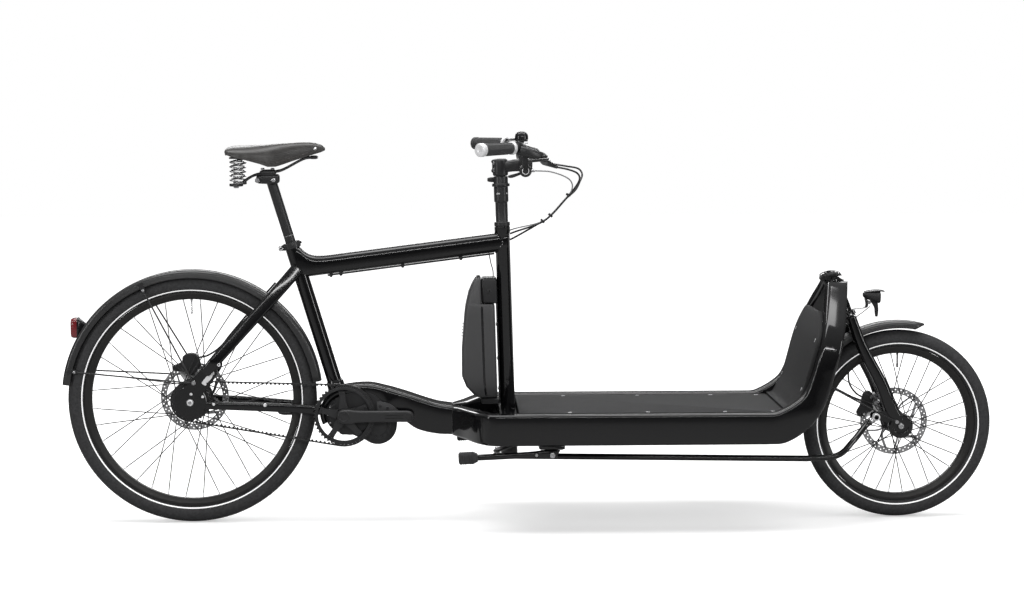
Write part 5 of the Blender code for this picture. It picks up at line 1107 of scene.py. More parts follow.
def belt_point(distance):
    """Place on the pitch line, and the outward normal there."""
    up_turn, straight, front_wrap, rear_wrap = belt_path()
    distance %= BELT_TEETH * BELT_PITCH
    front = FRONT_PITCH_R * front_wrap
    rear = REAR_PITCH_R * rear_wrap
    if distance < front:
        turn = up_turn - distance / FRONT_PITCH_R
        out = aimed(turn)
        return BB + out * FRONT_PITCH_R, out
    distance -= front
    if distance < straight:
        turn = up_turn - front_wrap
        out = aimed(turn)
        return BB + out * FRONT_PITCH_R + Vector((out.z, 0, -out.x)) * distance, out
    distance -= straight
    if distance < rear:
        turn = up_turn - front_wrap - distance / REAR_PITCH_R
        out = aimed(turn)
        return REAR_AXLE + out * REAR_PITCH_R, out
    distance -= rear
    out = Vector((math.cos(up_turn), 0, math.sin(up_turn)))
    return REAR_AXLE + out * REAR_PITCH_R + Vector((out.z, 0, -out.x)) * distance, out


def toothed_band(one, other, low, high):
    """Closed band between two lines of equally many points, from low to high in Y."""
    n = len(one)
    verts = [p + Y * y for y in (low, high) for line in (one, other) for p in line]
    faces = []
    for i in range(n):
        j = (i + 1) % n
        faces += [(i, j, 2 * n + j, 2 * n + i), (n + i, 3 * n + i, 3 * n + j, n + j), (i, n + i, n + j, j),
                  (2 * n + i, 2 * n + j, 3 * n + j, 3 * n + i)]
    return verts, faces


def make_belt_skin():
    """Toothed belt, one tooth for each pitch, with rounded tooth tips."""
    half = ((-TOOTH_BASE / 2 - 0.5, BELT_LAND), (-TOOTH_BASE / 2 + 0.2, BELT_LAND + 0.5),
            (-TOOTH_TIP / 2 - 0.2, BELT_LAND + TOOTH_H - 0.7), (-TOOTH_TIP / 2 + 0.6, BELT_LAND + TOOTH_H))
    tooth = half + tuple((-away, depth) for away, depth in reversed(half))
    inner = []
    outer = []
    for i in range(BELT_TEETH):
        middle = (i + 0.5) * BELT_PITCH
        for k, (away, depth) in enumerate(tooth):
            if depth <= BELT_LAND:
                place, out = belt_point(middle + away)
                away = 0
            else:
                place, out = belt_point(middle)
            inner.append(place + Vector((out.z, 0, -out.x)) * away - out * depth)
            place, out = belt_point(middle + (k - (len(tooth) - 1) / 2) * BELT_PITCH / len(tooth))
            outer.append(place + out * BELT_BACK)
    band = toothed_band(inner, outer, BELT_LINE - BELT_W / 2, BELT_LINE + BELT_W / 2)
    skin("belt", "frame", [(band, BELT)], crease=35, finish="belt_rubber")


def sprocket_ring(centre, radius, teeth, phase, rim_inner, width):
    """Toothed ring whose grooves take the belt's teeth."""
    top = radius - BELT_LAND - 0.35
    floor = top - TOOTH_H - 0.5
    half = ((TOOTH_TIP / 2 + 0.5, floor + 0.4), (TOOTH_BASE / 2 + 0.3, top - 0.5),
            (TOOTH_BASE / 2 + 1.2, top))
    groove = [(-away, size) for away, size in reversed(half)] + [(0, floor), *half]
    outline = []
    inner = []
    for i in range(teeth):
        for away, size in groove:
            turn = phase + 2 * math.pi * i / teeth + away / radius
            for line, reach in ((outline, size), (inner, rim_inner)):
                line.append(centre + point(reach * math.cos(turn), 0, reach * math.sin(turn)))
    return toothed_band(outline, inner, BELT_LINE - width / 2, BELT_LINE + width / 2)


def make_drive():
    """Belt and both sprockets, their teeth in step along one pitch line."""
    up_turn, straight, front_wrap, _ = belt_path()
    front_phase = up_turn - BELT_PITCH / 2 / FRONT_PITCH_R
    at_rear = FRONT_PITCH_R * front_wrap + straight
    lead = (math.ceil(at_rear / BELT_PITCH - 0.5) + 0.5) * BELT_PITCH - at_rear
    rear_phase = up_turn - front_wrap - lead / REAR_PITCH_R
    make_belt_skin()
    left = BELT_LINE - SPROCKET_W / 2
    ring_in = FRONT_PITCH_R - CHAINRING_IN
    ring = sprocket_ring(BB, FRONT_PITCH_R, FRONT_TEETH, front_phase, ring_in, SPROCKET_W)
    guard = turned(BB + Y * left, Y, bent([(0, ring_in), (0, FRONT_PITCH_R - 5.4),
                                           (-0.9, FRONT_PITCH_R - 6), (-0.9, FRONT_PITCH_R - 12.6)], 0.3,
                                          2), 96, ring=True)
    # The ring rides with the crank, beside the arm.
    skin("front_sprocket", "crank", [(ring, SATIN), (guard, CAST)], finish="satin_metal")
    rear = [(sprocket_ring(REAR_AXLE, REAR_PITCH_R, REAR_TEETH, rear_phase, 34, SPROCKET_W), SATIN)]
    rear += [(turned(REAR_AXLE + Y * left, Y, bent([(0.5, 13.5), (0.5, 24), (3.5, 34.2), (8, 34.2),
                                                    (8, 13.5)], 0.8, 2), 64, ring=True), CAST),
             (turned(REAR_AXLE + Y * (left - 0.4), Y, bent([(0, 35), (0, 40.5), (1, 40.5), (1, 35)], 0.3,
                     2), 90, ring=True), SILVER)]
    skin("rear_sprocket", "rear_sprocket_body", rear, finish="satin_metal")


def make_crank_skins():
    """Crank arms with their rounded bosses, the spider and its bolts."""
    inner = CRANK_IN
    for name, side, along in (("right", -1, 1), ("left", 1, -1)):
        way = X * along
        rows = ((-17, 16, 8, 14), (-12, 30, 7, 18), (0, 37, 7.5, 20), (16, 37, 8, 20), (36, 32, 9, 18),
                (90, 30, 11, 15.5), (CRANK_LEN - 24, 30, 12.6, 14), (CRANK_LEN - 6, 30, 13, 14),
                (CRANK_LEN + 6, 25, 13, 13.4), (CRANK_LEN + 12, 12, 13, 12))
        rings = []
        for ahead, wide, out, thick in rows:
            middle = BB + way * ahead + point(0, side * (inner + out - 6 + thick / 2), 0)
            rings.append(section(middle, Z, Y, wide, thick, 5.5, 6))
        parts = [(loft(refine(rings, 3)), SATIN)]
        boss = turned(BB + Y * side * (inner + 2), Y * side,
                      bent([(0, 16.5), (19, 16.5), (20.6, 14.6), (20.6, 11), (19.6, 10.4), (19.6, 2)], 0.8,
                           2), 56)
        parts += [(boss, SATIN),
                  (turned(BB + Y * side * (inner + 22), Y * side,
                          bent([(0, 11), (0, 14.8), (0.8, 14.4), (0.8, 11.4)], 0.2, 2), 56, ring=True),
                   PLASTIC),
                  (turned(BB + Y * side * (inner + 20.8), Y * side,
                          bent([(0, 9.6), (0.9, 9.2), (1.1, 5), (0.4, 4.6), (0.4, 0.5)], 0.3, 2), 40), CAST)]
        eye = BB + way * CRANK_LEN
        outer = side * (inner + 13 - 6 + 14)
        # The dark disc inside the pedal eye is painted shade for the hole.
        parts += [(turned(point(eye.x, outer - side * 1.6, eye.z), Y * side,
                          bent([(0, 6.7), (0, 9), (1.9, 9), (2.1, 6.7)], 0.4, 2), 36, ring=True), CAST),
                  (turned(point(eye.x, outer - side * 1.4, eye.z), Y * side, [(0, 6.7), (0.1, 0.4)], 36),
                   PAINTED_SHADE)]
        # Two dark lines along the arm are painted shade for its grooves.
        for rise in (-4.2, 4.2):
            low = BB + way * (CRANK_LEN - 62) + point(0, 0, rise)
            high = BB + way * (CRANK_LEN - 14) + point(0, 0, rise * 1.05)
            y_low = side * (inner + 12 - 6 + 15.0)
            y_high = side * (inner + 13 - 6 + 14.1)
            parts.append((tube([point(low.x, y_low, low.z), point(high.x, y_high, high.z)], 0.9, 10),
                          PAINTED_SHADE))
        if side < 0:
            low = -inner - 6
            parts.append((turned(BB + Y * low, Y, [(0, 12), (2 * inner + 18, 12)], 36), STEEL))
            for i in range(5):
                turn = 360 * (i + 0.3) / 5
                path = [around(BB, turn, r) for r in (10, 26, 46, FRONT_PITCH_R - 16)]
                wide = (15, 11, 7.5, 8.5)
                left_side = []
                right_side = []
                for p, half in zip(path, wide):
                    across = (path[-1] - path[0]).normalized().cross(Y) * half
                    left_side.append(p + across)
                    right_side.append(p - across)
                edge = smooth(left_side, 4) + smooth(right_side, 4)[::-1]
                parts.append((plate([(p.x, p.z) for p in edge], -inner - 2.6, -inner + 1.2), SATIN))
                at = around(BB, turn, FRONT_PITCH_R - 19.5, -inner - 2.4)
                parts.append((socket_bolt(at, Y * -1, 4.0, 1.8), CAST))
        skin(f"crank_arm_{name}", "crank", parts, crease=40, finish="satin_metal")


def make_motor_skin():
    """Cast motor case and drum with its cover plates, ribs and bolts."""
    half = 38.0
    drum_at = DRUM
    case = turned(BB - Y * half, Y, bent([(0, 4), (0, 38), (2, 41), (5, 48.9), (2 * half - 5, 48.9),
                                          (2 * half - 2, 41), (2 * half, 38), (2 * half, 4)], 1.5, 3), 72)
    drum_half = half + 2
    drum = turned(drum_at - Y * drum_half, Y, bent([(0, 3), (0, 24), (0, 25), (1.5, 26), (1.5, 35), (3, 37),
                                                    (12, 49.8), (2 * drum_half - 12, 49.8),
                                                    (2 * drum_half - 3, 37), (2 * drum_half, 35),
                                                    (2 * drum_half, 3)], 1.2, 3), 72)
    waist = [(BB.x, BB.z - 44), (drum_at.x - 8, drum_at.z - 48), (drum_at.x + 10, drum_at.z + 38),
             (BB.x + 22, BB.z + 36), (BB.x, BB.z + 30)]
    cover = smooth([point(BB.x + x, 0, BB.z + z) for x, z in ((-22, 44), (8, 56), (44, 62), (84, 50),
            (104, 18), (70, -22), (36, -48), (8, -52), (-16, -40), (-22, 44))], 4)
    parts = [(case, CAST), (drum, CAST), (plate(waist, -half + 4, half - 4), CAST),
             (plate([(p.x, p.z) for p in cover[:-1]], -44, -36), CAST)]
    ear_at = (drum_at.x + 4, drum_at.z + 2)
    low = -51.0
    outline = arc(*ear_at, 64, 35, 95, 30) + arc(*ear_at, 26, 95, 35, 20)
    parts.append((plate(outline, low, -46.3), MOTOR_PLATE))
    root = arc(*ear_at, 42, 41, 89, 20) + arc(*ear_at, 30, 89, 41, 20)
    parts.append((plate(root, -48, -drum_half + 9), CAST))
    for angle in (44, 65, 86):
        at = point(ear_at[0] + 52 * math.cos(math.radians(angle)), low,
                   ear_at[1] + 52 * math.sin(math.radians(angle)))
        parts.append((socket_bolt(at, Y * -1, 4.2, 3), SATIN))
    for angle in range(200, 380, 30):
        at = around(drum_at, angle, 31, -drum_half + 1.2)
        parts.append((socket_bolt(at, Y * -1, 2.7, 1.6), CAST))
    for angle in range(15, 375, 60):
        at = around(drum_at, angle, 30, drum_half - 0.2)
        parts.append((socket_bolt(at, Y, 2.7, 1.6), STEEL))
    for angle in range(150, 300, 30):
        for side in (-1, 1):
            at = around(BB, angle, 42.5, side * (half - 2.4))
            parts.append((socket_bolt(at, Y * side, 2.5, 1.5), STEEL))
    for k in range(7):
        y = -24 + 8 * k
        parts.append((turned(drum_at + Y * (y - 1.2), Y,
                             bent([(0, 44), (0, 50.4), (2.4, 50.4), (2.4, 44)], 0.5, 2), 72, ring=True),
                      CAST))
    skin("motor", "frame", parts, crease=38, bevel=0.5, finish="satin_metal")


def make_axle_skin():
    """Fixed rear axle with a nut outside each dropout."""
    drop = REAR_OUTER
    parts = [(turned(REAR_AXLE - Y * (drop + 8.7), Y, [(0, 4.6), (2 * drop + 17.4, 4.6)], 24), STEEL)]
    for side in (-1, 1):
        parts += [(turned(REAR_AXLE + Y * side * 48, Y * side,
                          bent([(0, 5), (0, 9), (19.4, 9), (19.4, 5)], 0.6, 2), 32), CAST),
                  (turned(REAR_AXLE + Y * side * drop, Y * side, [(0, 9.4), (1.2, 9.4)], 32), STEEL),
                  (hex_nut(REAR_AXLE + Y * side * (drop + 1.2), Y * side, 8.6, 6.5), SILVER)]
    skin("rear_axle", "frame", parts, bevel=0.3, finish="steel")


def make_fork_skin():
    """Fork: crown, two raked legs, round dropouts, axle ends and the steering ball stud."""
    ahead = Y.cross(HEAD_UP)
    crown = on_head_axis(HEAD_LOW - 14)
    steerer = turned(on_head_axis(HEAD_LOW - 20), HEAD_UP, [(0, 14.8), (116, 14.8)], 40)
    rows = ((-64, 22, 19), (-60, 27, 24), (-30, 36, 24.5), (0, 43, 26), (30, 36, 24.5), (60, 27, 24),
            (64, 22, 19))
    bridge = loft(refine([section(crown + Y * y, ahead, HEAD_UP, wide, high, 10, 5)
                          for y, wide, high in rows], 3))
    race = turned(on_head_axis(HEAD_LOW - 4), HEAD_UP,
                  bent([(0, 15), (0, 22), (2.4, 22), (2.4, 15)], 0.7, 2), 48)
    parts = [(steerer, SATIN), (bridge, PAINT), (race, SATIN)]
    for side in (-1, 1):
        leg_y = FRONT_OLD / 2 + 5.5
        route = smooth([crown + point(4, side * 56, 4), crown + point(34, side * 57, -74),
                        crown + point(84, side * 57, -168), FRONT_AXLE + point(-26, side * leg_y, 44),
                        FRONT_AXLE + point(2, side * leg_y, -8)], 6)
        rings = []
        for i, (centre, way) in enumerate(zip(route, directions(route))):
            along = i / (len(route) - 1)
            deep = Y.cross(way).normalized()
            narrow = 22 if along < 0.6 else 22 - (along - 0.6) * 34
            rings.append(section(centre, way.cross(deep), deep, narrow, 27 + 9 * along, narrow * 0.46, 6))
        parts.append((loft(rings), PAINT))
        inner = FRONT_AXLE + Y * side * FRONT_INNER
        disc = bent([(0, 14), (0, 32.6), (9, 32.6), (11.6, 28), (11.6, 21), (10.4, 19.5), (10.4, 10.2)],
                    0.8, 3)
        parts.append((turned(inner, Y * side, disc, 64), PAINT))
        cap = bent([(9.6, 0.5), (9.6, 9.8), (12, 9.8), (13.4, 8.6), (13.4, 0.5)], 0.5, 2)
        parts.append((turned(inner, Y * side, cap, 32), SATIN))
    parts += [(turned(FRONT_AXLE - Y * 60, Y, [(0, 7.4), (120, 7.4)], 28), STEEL),
              (hex_nut(FRONT_AXLE + Y * 63.4, Y, 8.4, 5.6), STEEL),
              (socket_bolt(FRONT_AXLE - Y * 63.4, -Y, 7.4, 3.8), STEEL)]
    lug = arc(ROD_END.x, ROD_END.z, 11, 100, 290, 16) + [(ROD_END.x + 40, ROD_END.z - 20),
                                                         (ROD_END.x + 52, ROD_END.z + 14)]
    parts.append((plate(lug, -61, -54), PAINT))
    stud = bent([(0, 4), (0, 9.5), (4, 9.5), (4, 4), (17, 4), (19.6, 1.8)], 0.5, 2)
    parts.append((turned(point(ROD_END.x, -57, ROD_END.z), -Y, stud, 28), STEEL))
    skin("fork", "fork_body", parts, bevel=0.5, finish="frame_paint")


def make_steering_skins():
    """Steering shaft with its height sleeve, the arm below and the rod to the fork."""
    top = COLUMN_TOP
    low = 186
    inner = bent([(0, 13.2), (0, 14.8), (top + 1 - low, 14.8), (top + 1 - low, 20.6),
                  (top + 11 - low, 20.6), (top + 12.5 - low, 16), (top + 63 - low, 16),
                  (top + 65 - low, 18.4), (top + 68 - low, 18.7), (top + 102 - low, 18.7),
                  (top + 104.5 - low, 18), (top + 104.8 - low, 23), (top + 112 - low, 23),
                  (top + 113 - low, 19), (top + 131 - low, 19), (top + 131 - low, 13.2)], 0.9, 3)
    parts = [(turned(on_column(low), COLUMN_UP, inner, 64), SATIN)]
    for up, radius in ((4, 20.75), (8, 20.75), (108.5, 23.15)):
        band = bent([(0, radius - 2), (0, radius), (1.2, radius), (1.2, radius - 2)], 0.3, 2)
        parts.append((turned(on_column(top + up), COLUMN_UP, band, 64), PLASTIC))
    for turn in range(0, 360, 24):
        spin = math.radians(turn)
        rib = X * math.cos(spin) + Y * math.sin(spin)
        parts.append((loft([section(on_column(top + z) + rib * 18.2, Y.cross(rib) + Z * 0.001, rib.cross(Z),
                                    1.6, 2.2, 0.4, 2) for z in (70, 100)]), SATIN))
    for x, y, z, wide in ((-8, -17.2, 86, 9), (15, -11.6, 87, 5)):
        mark = on_column(top + z) + point(x, y, 0)
        out = point(mark.x - on_column(top + z).x, y, 0).normalized()
        parts.append((loft([section(mark + out * d, out.cross(Z), Z, wide, 3.6, 0.6, 2)
                            for d in (-1.6, 0.6)]), GREY_MARK))
    lever_rows = ((-16, 12, 12), (-22, 15, 13), (-28, 16, 12), (-34, 13.6, 9), (-35, 9, 5))
    rings = [section(on_column(top + 122) + point(x, 0, 0), Y, Z, wide, high, 3.5, 4)
             for x, wide, high in lever_rows]
    parts.append((loft(refine(rings, 3)), SATIN))
    skin("steering_shaft", "steering", parts, bevel=0.3, finish="satin_metal")

    foot = on_column(ROD_Z)
    start = foot + point(-34, -76, 0)
    way = (start - foot).normalized()
    across = way.cross(Z)
    collar = turned(foot + Z * -6, COLUMN_UP, bent([(0, 15.6), (0, 21.9), (24, 21.9), (24, 15.6)], 1.2, 3),
                    48)
    rows = ((6, 34, 6.8), (30, 26, 6.8), (76, 20, 6.8), (88, 19, 6.6), (93, 14, 6), (94.5, 8, 5))
    arm = loft(refine([section(foot + way * d + Z * 14, across, Z, wide, high, 2.4, 3)
                       for d, wide, high in rows], 3))
    stud = turned(start - Z * 10, Z, bent([(0, 3), (1, 3.9), (24, 3.9)], 0.4, 2), 24)
    nut = hex_nut(start + Z * 17.5, Z, 7.5, 5.5)
    pinch = socket_bolt(foot + point(-4, 21.6, 6), Y, 4.2, 4)
    skin("steering_arm", "steering", [(collar, SATIN), (arm, SATIN), (stud, STEEL), (nut, STEEL),
                                      (pinch, STEEL)], bevel=0.4, finish="satin_metal")

    front = DECK_FRONT
    points = [start + point(5, -0.5, 0), start + point(120, -12, 0), point(front + 60, -150, ROD_Z - 1),
              point(front + 140, -149, ROD_Z + 6), point(front + 185, -128, ROD_Z + 40),
              point(front + 222, -95, ROD_Z + 74), ROD_END + point(-16, -14, -12)]
    rod = tube(points[:2] + smooth(points[2:], 7), 7.9, 28)
    rear = turned(start - Z * 8.5, Z, bent([(0, 4.9), (0, 9), (2.5, 10.9), (14.5, 10.9), (17, 9),
                                            (17, 4.9)], 0.8, 3), 40)
    eye = turned(ROD_END - Y * 2.5, -Y, bent([(0, 5.8), (0, 8.6), (2, 9.9), (14, 9.9), (16, 8.6),
                                              (16, 5.8)], 0.8, 3), 40)
    boot = turned(ROD_END - Y * 1.9, -Y, bent([(0, 5.7), (0, 7), (0.8, 7.6), (0.8, 5.7)], 0.2, 2), 32)
    link = tube([points[-1], ROD_END + point(-2, -10.5, 0)], 6.4, 24)
    lock = hex_nut(points[-1] + (ROD_END - points[-1]).normalized() * 1.5, ROD_END - points[-1], 8.6, 4.5)
    cap = turned(ROD_END - Y * 17.4, -Y, bent([(0, 7.6), (1.1, 6.6), (1.1, 0.4)], 0.3, 2), 32)
    skin("steering_rod", "rod", [(rod, PAINT), (rear, STEEL), (eye, SILVER), (boot, PLASTIC), (link, STEEL),
                                       (lock, STEEL), (cap, SILVER)], bevel=0.3, finish="frame_paint")


def fender_skin(centre, radius, half, skirt, start, end, point_out=0.0):
    """Mudguard shell with a rolled rim and narrowed ends; point_out steps at its start taper to a tip."""
    rings = []
    count = round(abs(end - start) / 2)
    for i in range(count + 1):
        angle = start + (end - start) * i / count
        if point_out:
            sharp = min(i, point_out)
            angle = start + sharp + (end - start - point_out) * max(0, i - point_out) / (count - point_out)
        turn = math.radians(angle)
        out = aimed(turn)
        near = min(i, count - i) / 3
        trim = 1 - 0.16 * max(0, 1 - near) ** 2
        if point_out and i < point_out:
            trim = 0.5 + 0.5 * math.sin(math.pi / 2 * i / point_out)
        deep = skirt * (1 if not point_out or i > point_out else 0.16 + 0.84 * i / point_out)
        drop = min(10, deep * 0.7)
        side = half * 0.56
        outer = [(-half, radius - deep), (-half - 0.4, radius - deep + min(1.4, deep * 0.1)),
                 (-half, radius - deep + min(3, deep * 0.2))]
        for step in range(6):
            t = step / 5
            bend = math.pi / 2 * t
            outer.append((-half + (half - side) * (1 - math.cos(bend)),
                          radius - drop + drop * math.sin(bend)))
        outer.append((-side * 0.4, radius + 0.2))
        outer = outer + [(-y, r) for y, r in reversed(outer)]
        inner = [(y * (half - 1.7) / half, r - 1.7) for y, r in reversed(outer[2:-2])]
        ring = [((half - 1.7), radius - deep), *inner, (1.7 - half, radius - deep)]
        rings.append([centre + out * r + Y * y * trim for y, r in outer + ring])
    return loft(rings)


def make_rear_fender_skin():
    """Rear mudguard, its four wire stays and their bolts."""
    parts = [(fender_skin(REAR_AXLE, FENDER_REACH - FIT, FENDER_HALF, 21, 8, 173), FENDER)]
    foot_y = REAR_OUTER + 2
    for side in (-1, 1):
        foot = point(EYELET.x, side * foot_y, EYELET.z)
        eye = bent([(-2, 2.6), (-2, 5.8), (2.6, 5.8), (2.6, 2.6)], 0.5, 2)
        parts += [(turned(foot, Y * side, eye, 28), STEEL),
                  (socket_bolt(foot + Y * side * 2.4, Y * side, 4.6, 3.6), STEEL)]
        for angle in (113, 166):
            turn = math.radians(angle)
            tip = REAR_AXLE + point(312 * math.cos(turn), side * (FENDER_HALF + 1.4), 312 * math.sin(turn))
            bend = foot + point(tip.x - foot.x, 0, tip.z - foot.z).normalized() * 44
            parts.append((tube(smooth([foot, bend, tip], 8), FENDER_STAY_R, 14), SATIN))
            tag = REAR_AXLE + point(314 * math.cos(turn), side * (FENDER_HALF + 0.4), 314 * math.sin(turn))
            outward = (tag - REAR_AXLE).normalized()
            outward.y = 0
            strap = [section(tag + Y * side * 0.9 + outward * d, Y, outward.cross(Y), 2.2, wide, 0.8, 3)
                     for d, wide in ((-5, 8), (0, 11), (12, 13), (20, 16))]
            parts += [(loft(strap), PLASTIC),
                      (turned(tag, Y * side, bent([(0, 6), (3.4, 6), (4.2, 4.6)], 0.5, 2), 24), PLASTIC),
                      (socket_bolt(tag + Y * side * 3.8, Y * side, 3.4, 2.4), STEEL)]
    skin("rear_fender", "frame", parts, crease=50, finish="black_plastic")


def make_front_fender_skin():
    """Front mudguard with its pointed tip and two wire stays."""
    parts = [(fender_skin(FRONT_AXLE, FRONT_FENDER_R - FIT, FRONT_FENDER_HALF, 19, 75.5, 172, 5), FENDER)]
    foot_y = FRONT_INNER + 12 + FIT + 5
    for side in (-1, 1):
        foot = FRONT_AXLE + point(-12, side * foot_y, 12)
        bend = FRONT_AXLE + point(-78, side * foot_y, 46)
        turn = math.radians(151)
        tip = FRONT_AXLE + point(260 * math.cos(turn), side * (FRONT_FENDER_HALF + 1), 260 * math.sin(turn))
        parts += [(turned(foot - Y * side * 4.8, Y * side, bent([(0, 4.8), (7.6, 4.8)], 0.4, 2), 24), STEEL),
                  (tube(smooth([foot, bend, tip], 8), FENDER_STAY_R, 14), SATIN),
                  (turned(tip, Y * side, bent([(-1, 5.6), (2.6, 5.6), (3.4, 4.2)], 0.5, 2), 24), PLASTIC),
                  (socket_bolt(tip + Y * side * 3, Y * side, 3.3, 2.3), STEEL)]
    crown = FRONT_AXLE + Vector((math.cos(math.radians(117)), 0,
                                 math.sin(math.radians(117)))) * (FRONT_FENDER_R - 1)
    up = (crown - FRONT_AXLE).normalized()
    parts.append((turned(crown, up, bent([(0, 6), (3, 6), (3.8, 4.6)], 0.4, 2), 24), STEEL))
    skin("front_fender", "fork_body", parts, crease=50, finish="black_plastic")


def make_tail_light_skin():
    """Rear lamp on the mudguard with its ribbed red lens."""
    turn = math.radians(147.5)
    seat = REAR_AXLE + point(FENDER_REACH * math.cos(turn), 0, FENDER_REACH * math.sin(turn))
    out = aimed(turn)
    rows = ((10, 18, 28), (4, 24, 36), (-4, 34, 46), (-7, 38, 52), (-9.5, 38, 52))
    body = loft(refine([section(seat + point(x, 0, 6), Y, Z, wide, high, 9, 5) for x, wide, high in rows],
                       3))
    foot = loft([section(seat + out * d + Z * 2, Y, out.cross(Y), wide, high, 4, 3)
                 for d, wide, high in ((0.6, 20, 30), (10, 24, 34))])
    lens_rows = ((-9, 37, 51), (-18, 38, 52), (-24, 35, 49), (-26, 31, 45), (-27, 24, 38))
    lens = loft(refine([section(seat + point(x, 0, 6), Y, Z, wide, high, 8, 5)
                        for x, wide, high in lens_rows], 2))
    rim = loft([section(seat + point(x, 0, 6), Y, Z, wide, high, 9, 5)
                for x, wide, high in ((-8.6, 39.4, 53.4), (-10, 39, 53))])
    skin("tail_light", "frame", [(body, GLOSS_PLASTIC), (foot, PLASTIC), (rim, GLOSS_PLASTIC), (lens, RED)],
         finish="lens_red")


def caliper_skin(centre, lean, inner, outer, ear, mount_y, face, form, cap_at):
    """Disc caliper body with its piston cap and mounting plate."""
    turn = math.radians(lean)
    along = aimed(turn)
    out = Y.cross(along)
    shape = smooth([point(a, 0, b) for a, b in form], 3)
    outline = [centre + along * p.x + out * p.z for p in shape]
    rings = []
    for y, scale in ((inner, 0.94), (inner + 2, 0.99), (outer - 3, 0.99), (outer, 0.93)):
        rings.append([centre + (p - centre) * scale + Y * y for p in outline])
    parts = [(loft(rings), SATIN)]
    cap = bent([(0, 13.4), (1.6, 13.4), (2.2, 10.5), (1.4, 9.6), (1.4, 0.5)], 0.4, 2)
    parts.append((turned(centre + Y * face + along * cap_at, Y * math.copysign(1, face - inner), cap, 40),
                  CAST))
    low, high = mount_y
    rows = [[Vector((x, y, z)) for x, z in ear] for y in (low, high)]
    parts.append((loft(rows), SILVER))
    return parts, along, out


def caliper_room(piece_made, axle, disc_y):
    """Cut the disc's room out of a caliper."""
    room = turned(axle + Y * (disc_y - 1.4), Y, [(0, ROTOR_R + 2), (ROTOR_T + 2.8, ROTOR_R + 2)], 96)
    mesh = bpy.data.meshes.new(piece_made.name + "_room")
    mesh.from_pydata([p * MM for p in room[0]], [], room[1])
    face_out(mesh)
    tool = link(piece_made.name + "_room", mesh)
    step = piece_made.modifiers.new("room", "BOOLEAN")
    step.operation = "DIFFERENCE"
    step.solver = "EXACT"
    step.use_self = True
    step.object = tool
    bpy.context.view_layer.update()
    graph = bpy.context.evaluated_depsgraph_get()
    done = bpy.data.meshes.new_from_object(piece_made.evaluated_get(graph))
    piece_made.modifiers.remove(step)
    piece_made.data = done
    bpy.data.objects.remove(tool, do_unlink=True)


def make_caliper_skins():
    """Rear and front brake caliper over their discs."""
    centre = REAR_AXLE + point(-20, 0, 83)
    ear = [(REAR_AXLE.x + x, REAR_AXLE.z + z) for x, z in ((-48, 70), (-42, 62), (-16, 22), (8, 30),
            (14, 84))]
    form = ((-38, 0), (-36, -8), (-22, -10), (-9, -14), (-4, -26), (8, -30), (22, -29), (34, -20), (37, -4),
            (34, 10), (24, 22), (10, 27), (-4, 24), (-14, 13), (-30, 9))
    parts, along, out = caliper_skin(centre, 14, 38, 60, ear, (56.2, 67.2), 60, form, 13)
    parts.append((turned(centre + along * 13 + Y * 58, Y,
                         bent([(0, 14.6), (6, 14.6), (8, 11.6), (7, 10.6), (7, 0.5)], 0.7, 2), 40), CAST))
    for d in (-29, 28):
        parts.append((socket_bolt(centre + along * d + Y * 60, Y, 4.6, 4.4), STEEL))
    parts.append((turned(centre + along * 24 + out * 18 + Y * 44, out,
                         bent([(0, 6), (7, 6), (8, 4.4)], 0.5, 2), 28), STEEL))
    made = skin("rear_caliper", "frame", parts, crease=24, finish="satin_metal")
    caliper_room(made, REAR_AXLE, REAR_DISC_Y)

    centre = FRONT_AXLE + point(-72, 0, 44)
    ear = [(FRONT_AXLE.x + x, FRONT_AXLE.z + z) for x, z in ((-78, 62), (-76, 40), (-70, 10), (-34, 34),
            (-52, 78))]
    form = ((-36, -14), (-28, -20), (-8, -18), (8, -21), (26, -22), (36, -14), (35, -2), (22, 8), (8, 10),
            (0, 17), (-12, 16), (-20, 8), (-34, 4))
    parts, along, out = caliper_skin(centre, 68, 27, 43.6, ear, (40.2, 46.5), 27, form, -4)
    for d in (-26, 24):
        parts += [(socket_bolt(centre + along * d + Y * 43.4, Y, 4.4, 3), STEEL),
                  (socket_bolt(centre + along * d + Y * 27.2, -Y, 3.8, 2.2), STEEL)]
    parts.append((turned(centre + along * 20 + out * 20 + Y * 34, out,
                         bent([(0, 5.4), (6, 5.4), (7, 4)], 0.5, 2), 28), SILVER))
    made = skin("front_caliper", "fork_body", parts, crease=24, finish="satin_metal")
    caliper_room(made, FRONT_AXLE, FRONT_DISC_Y)


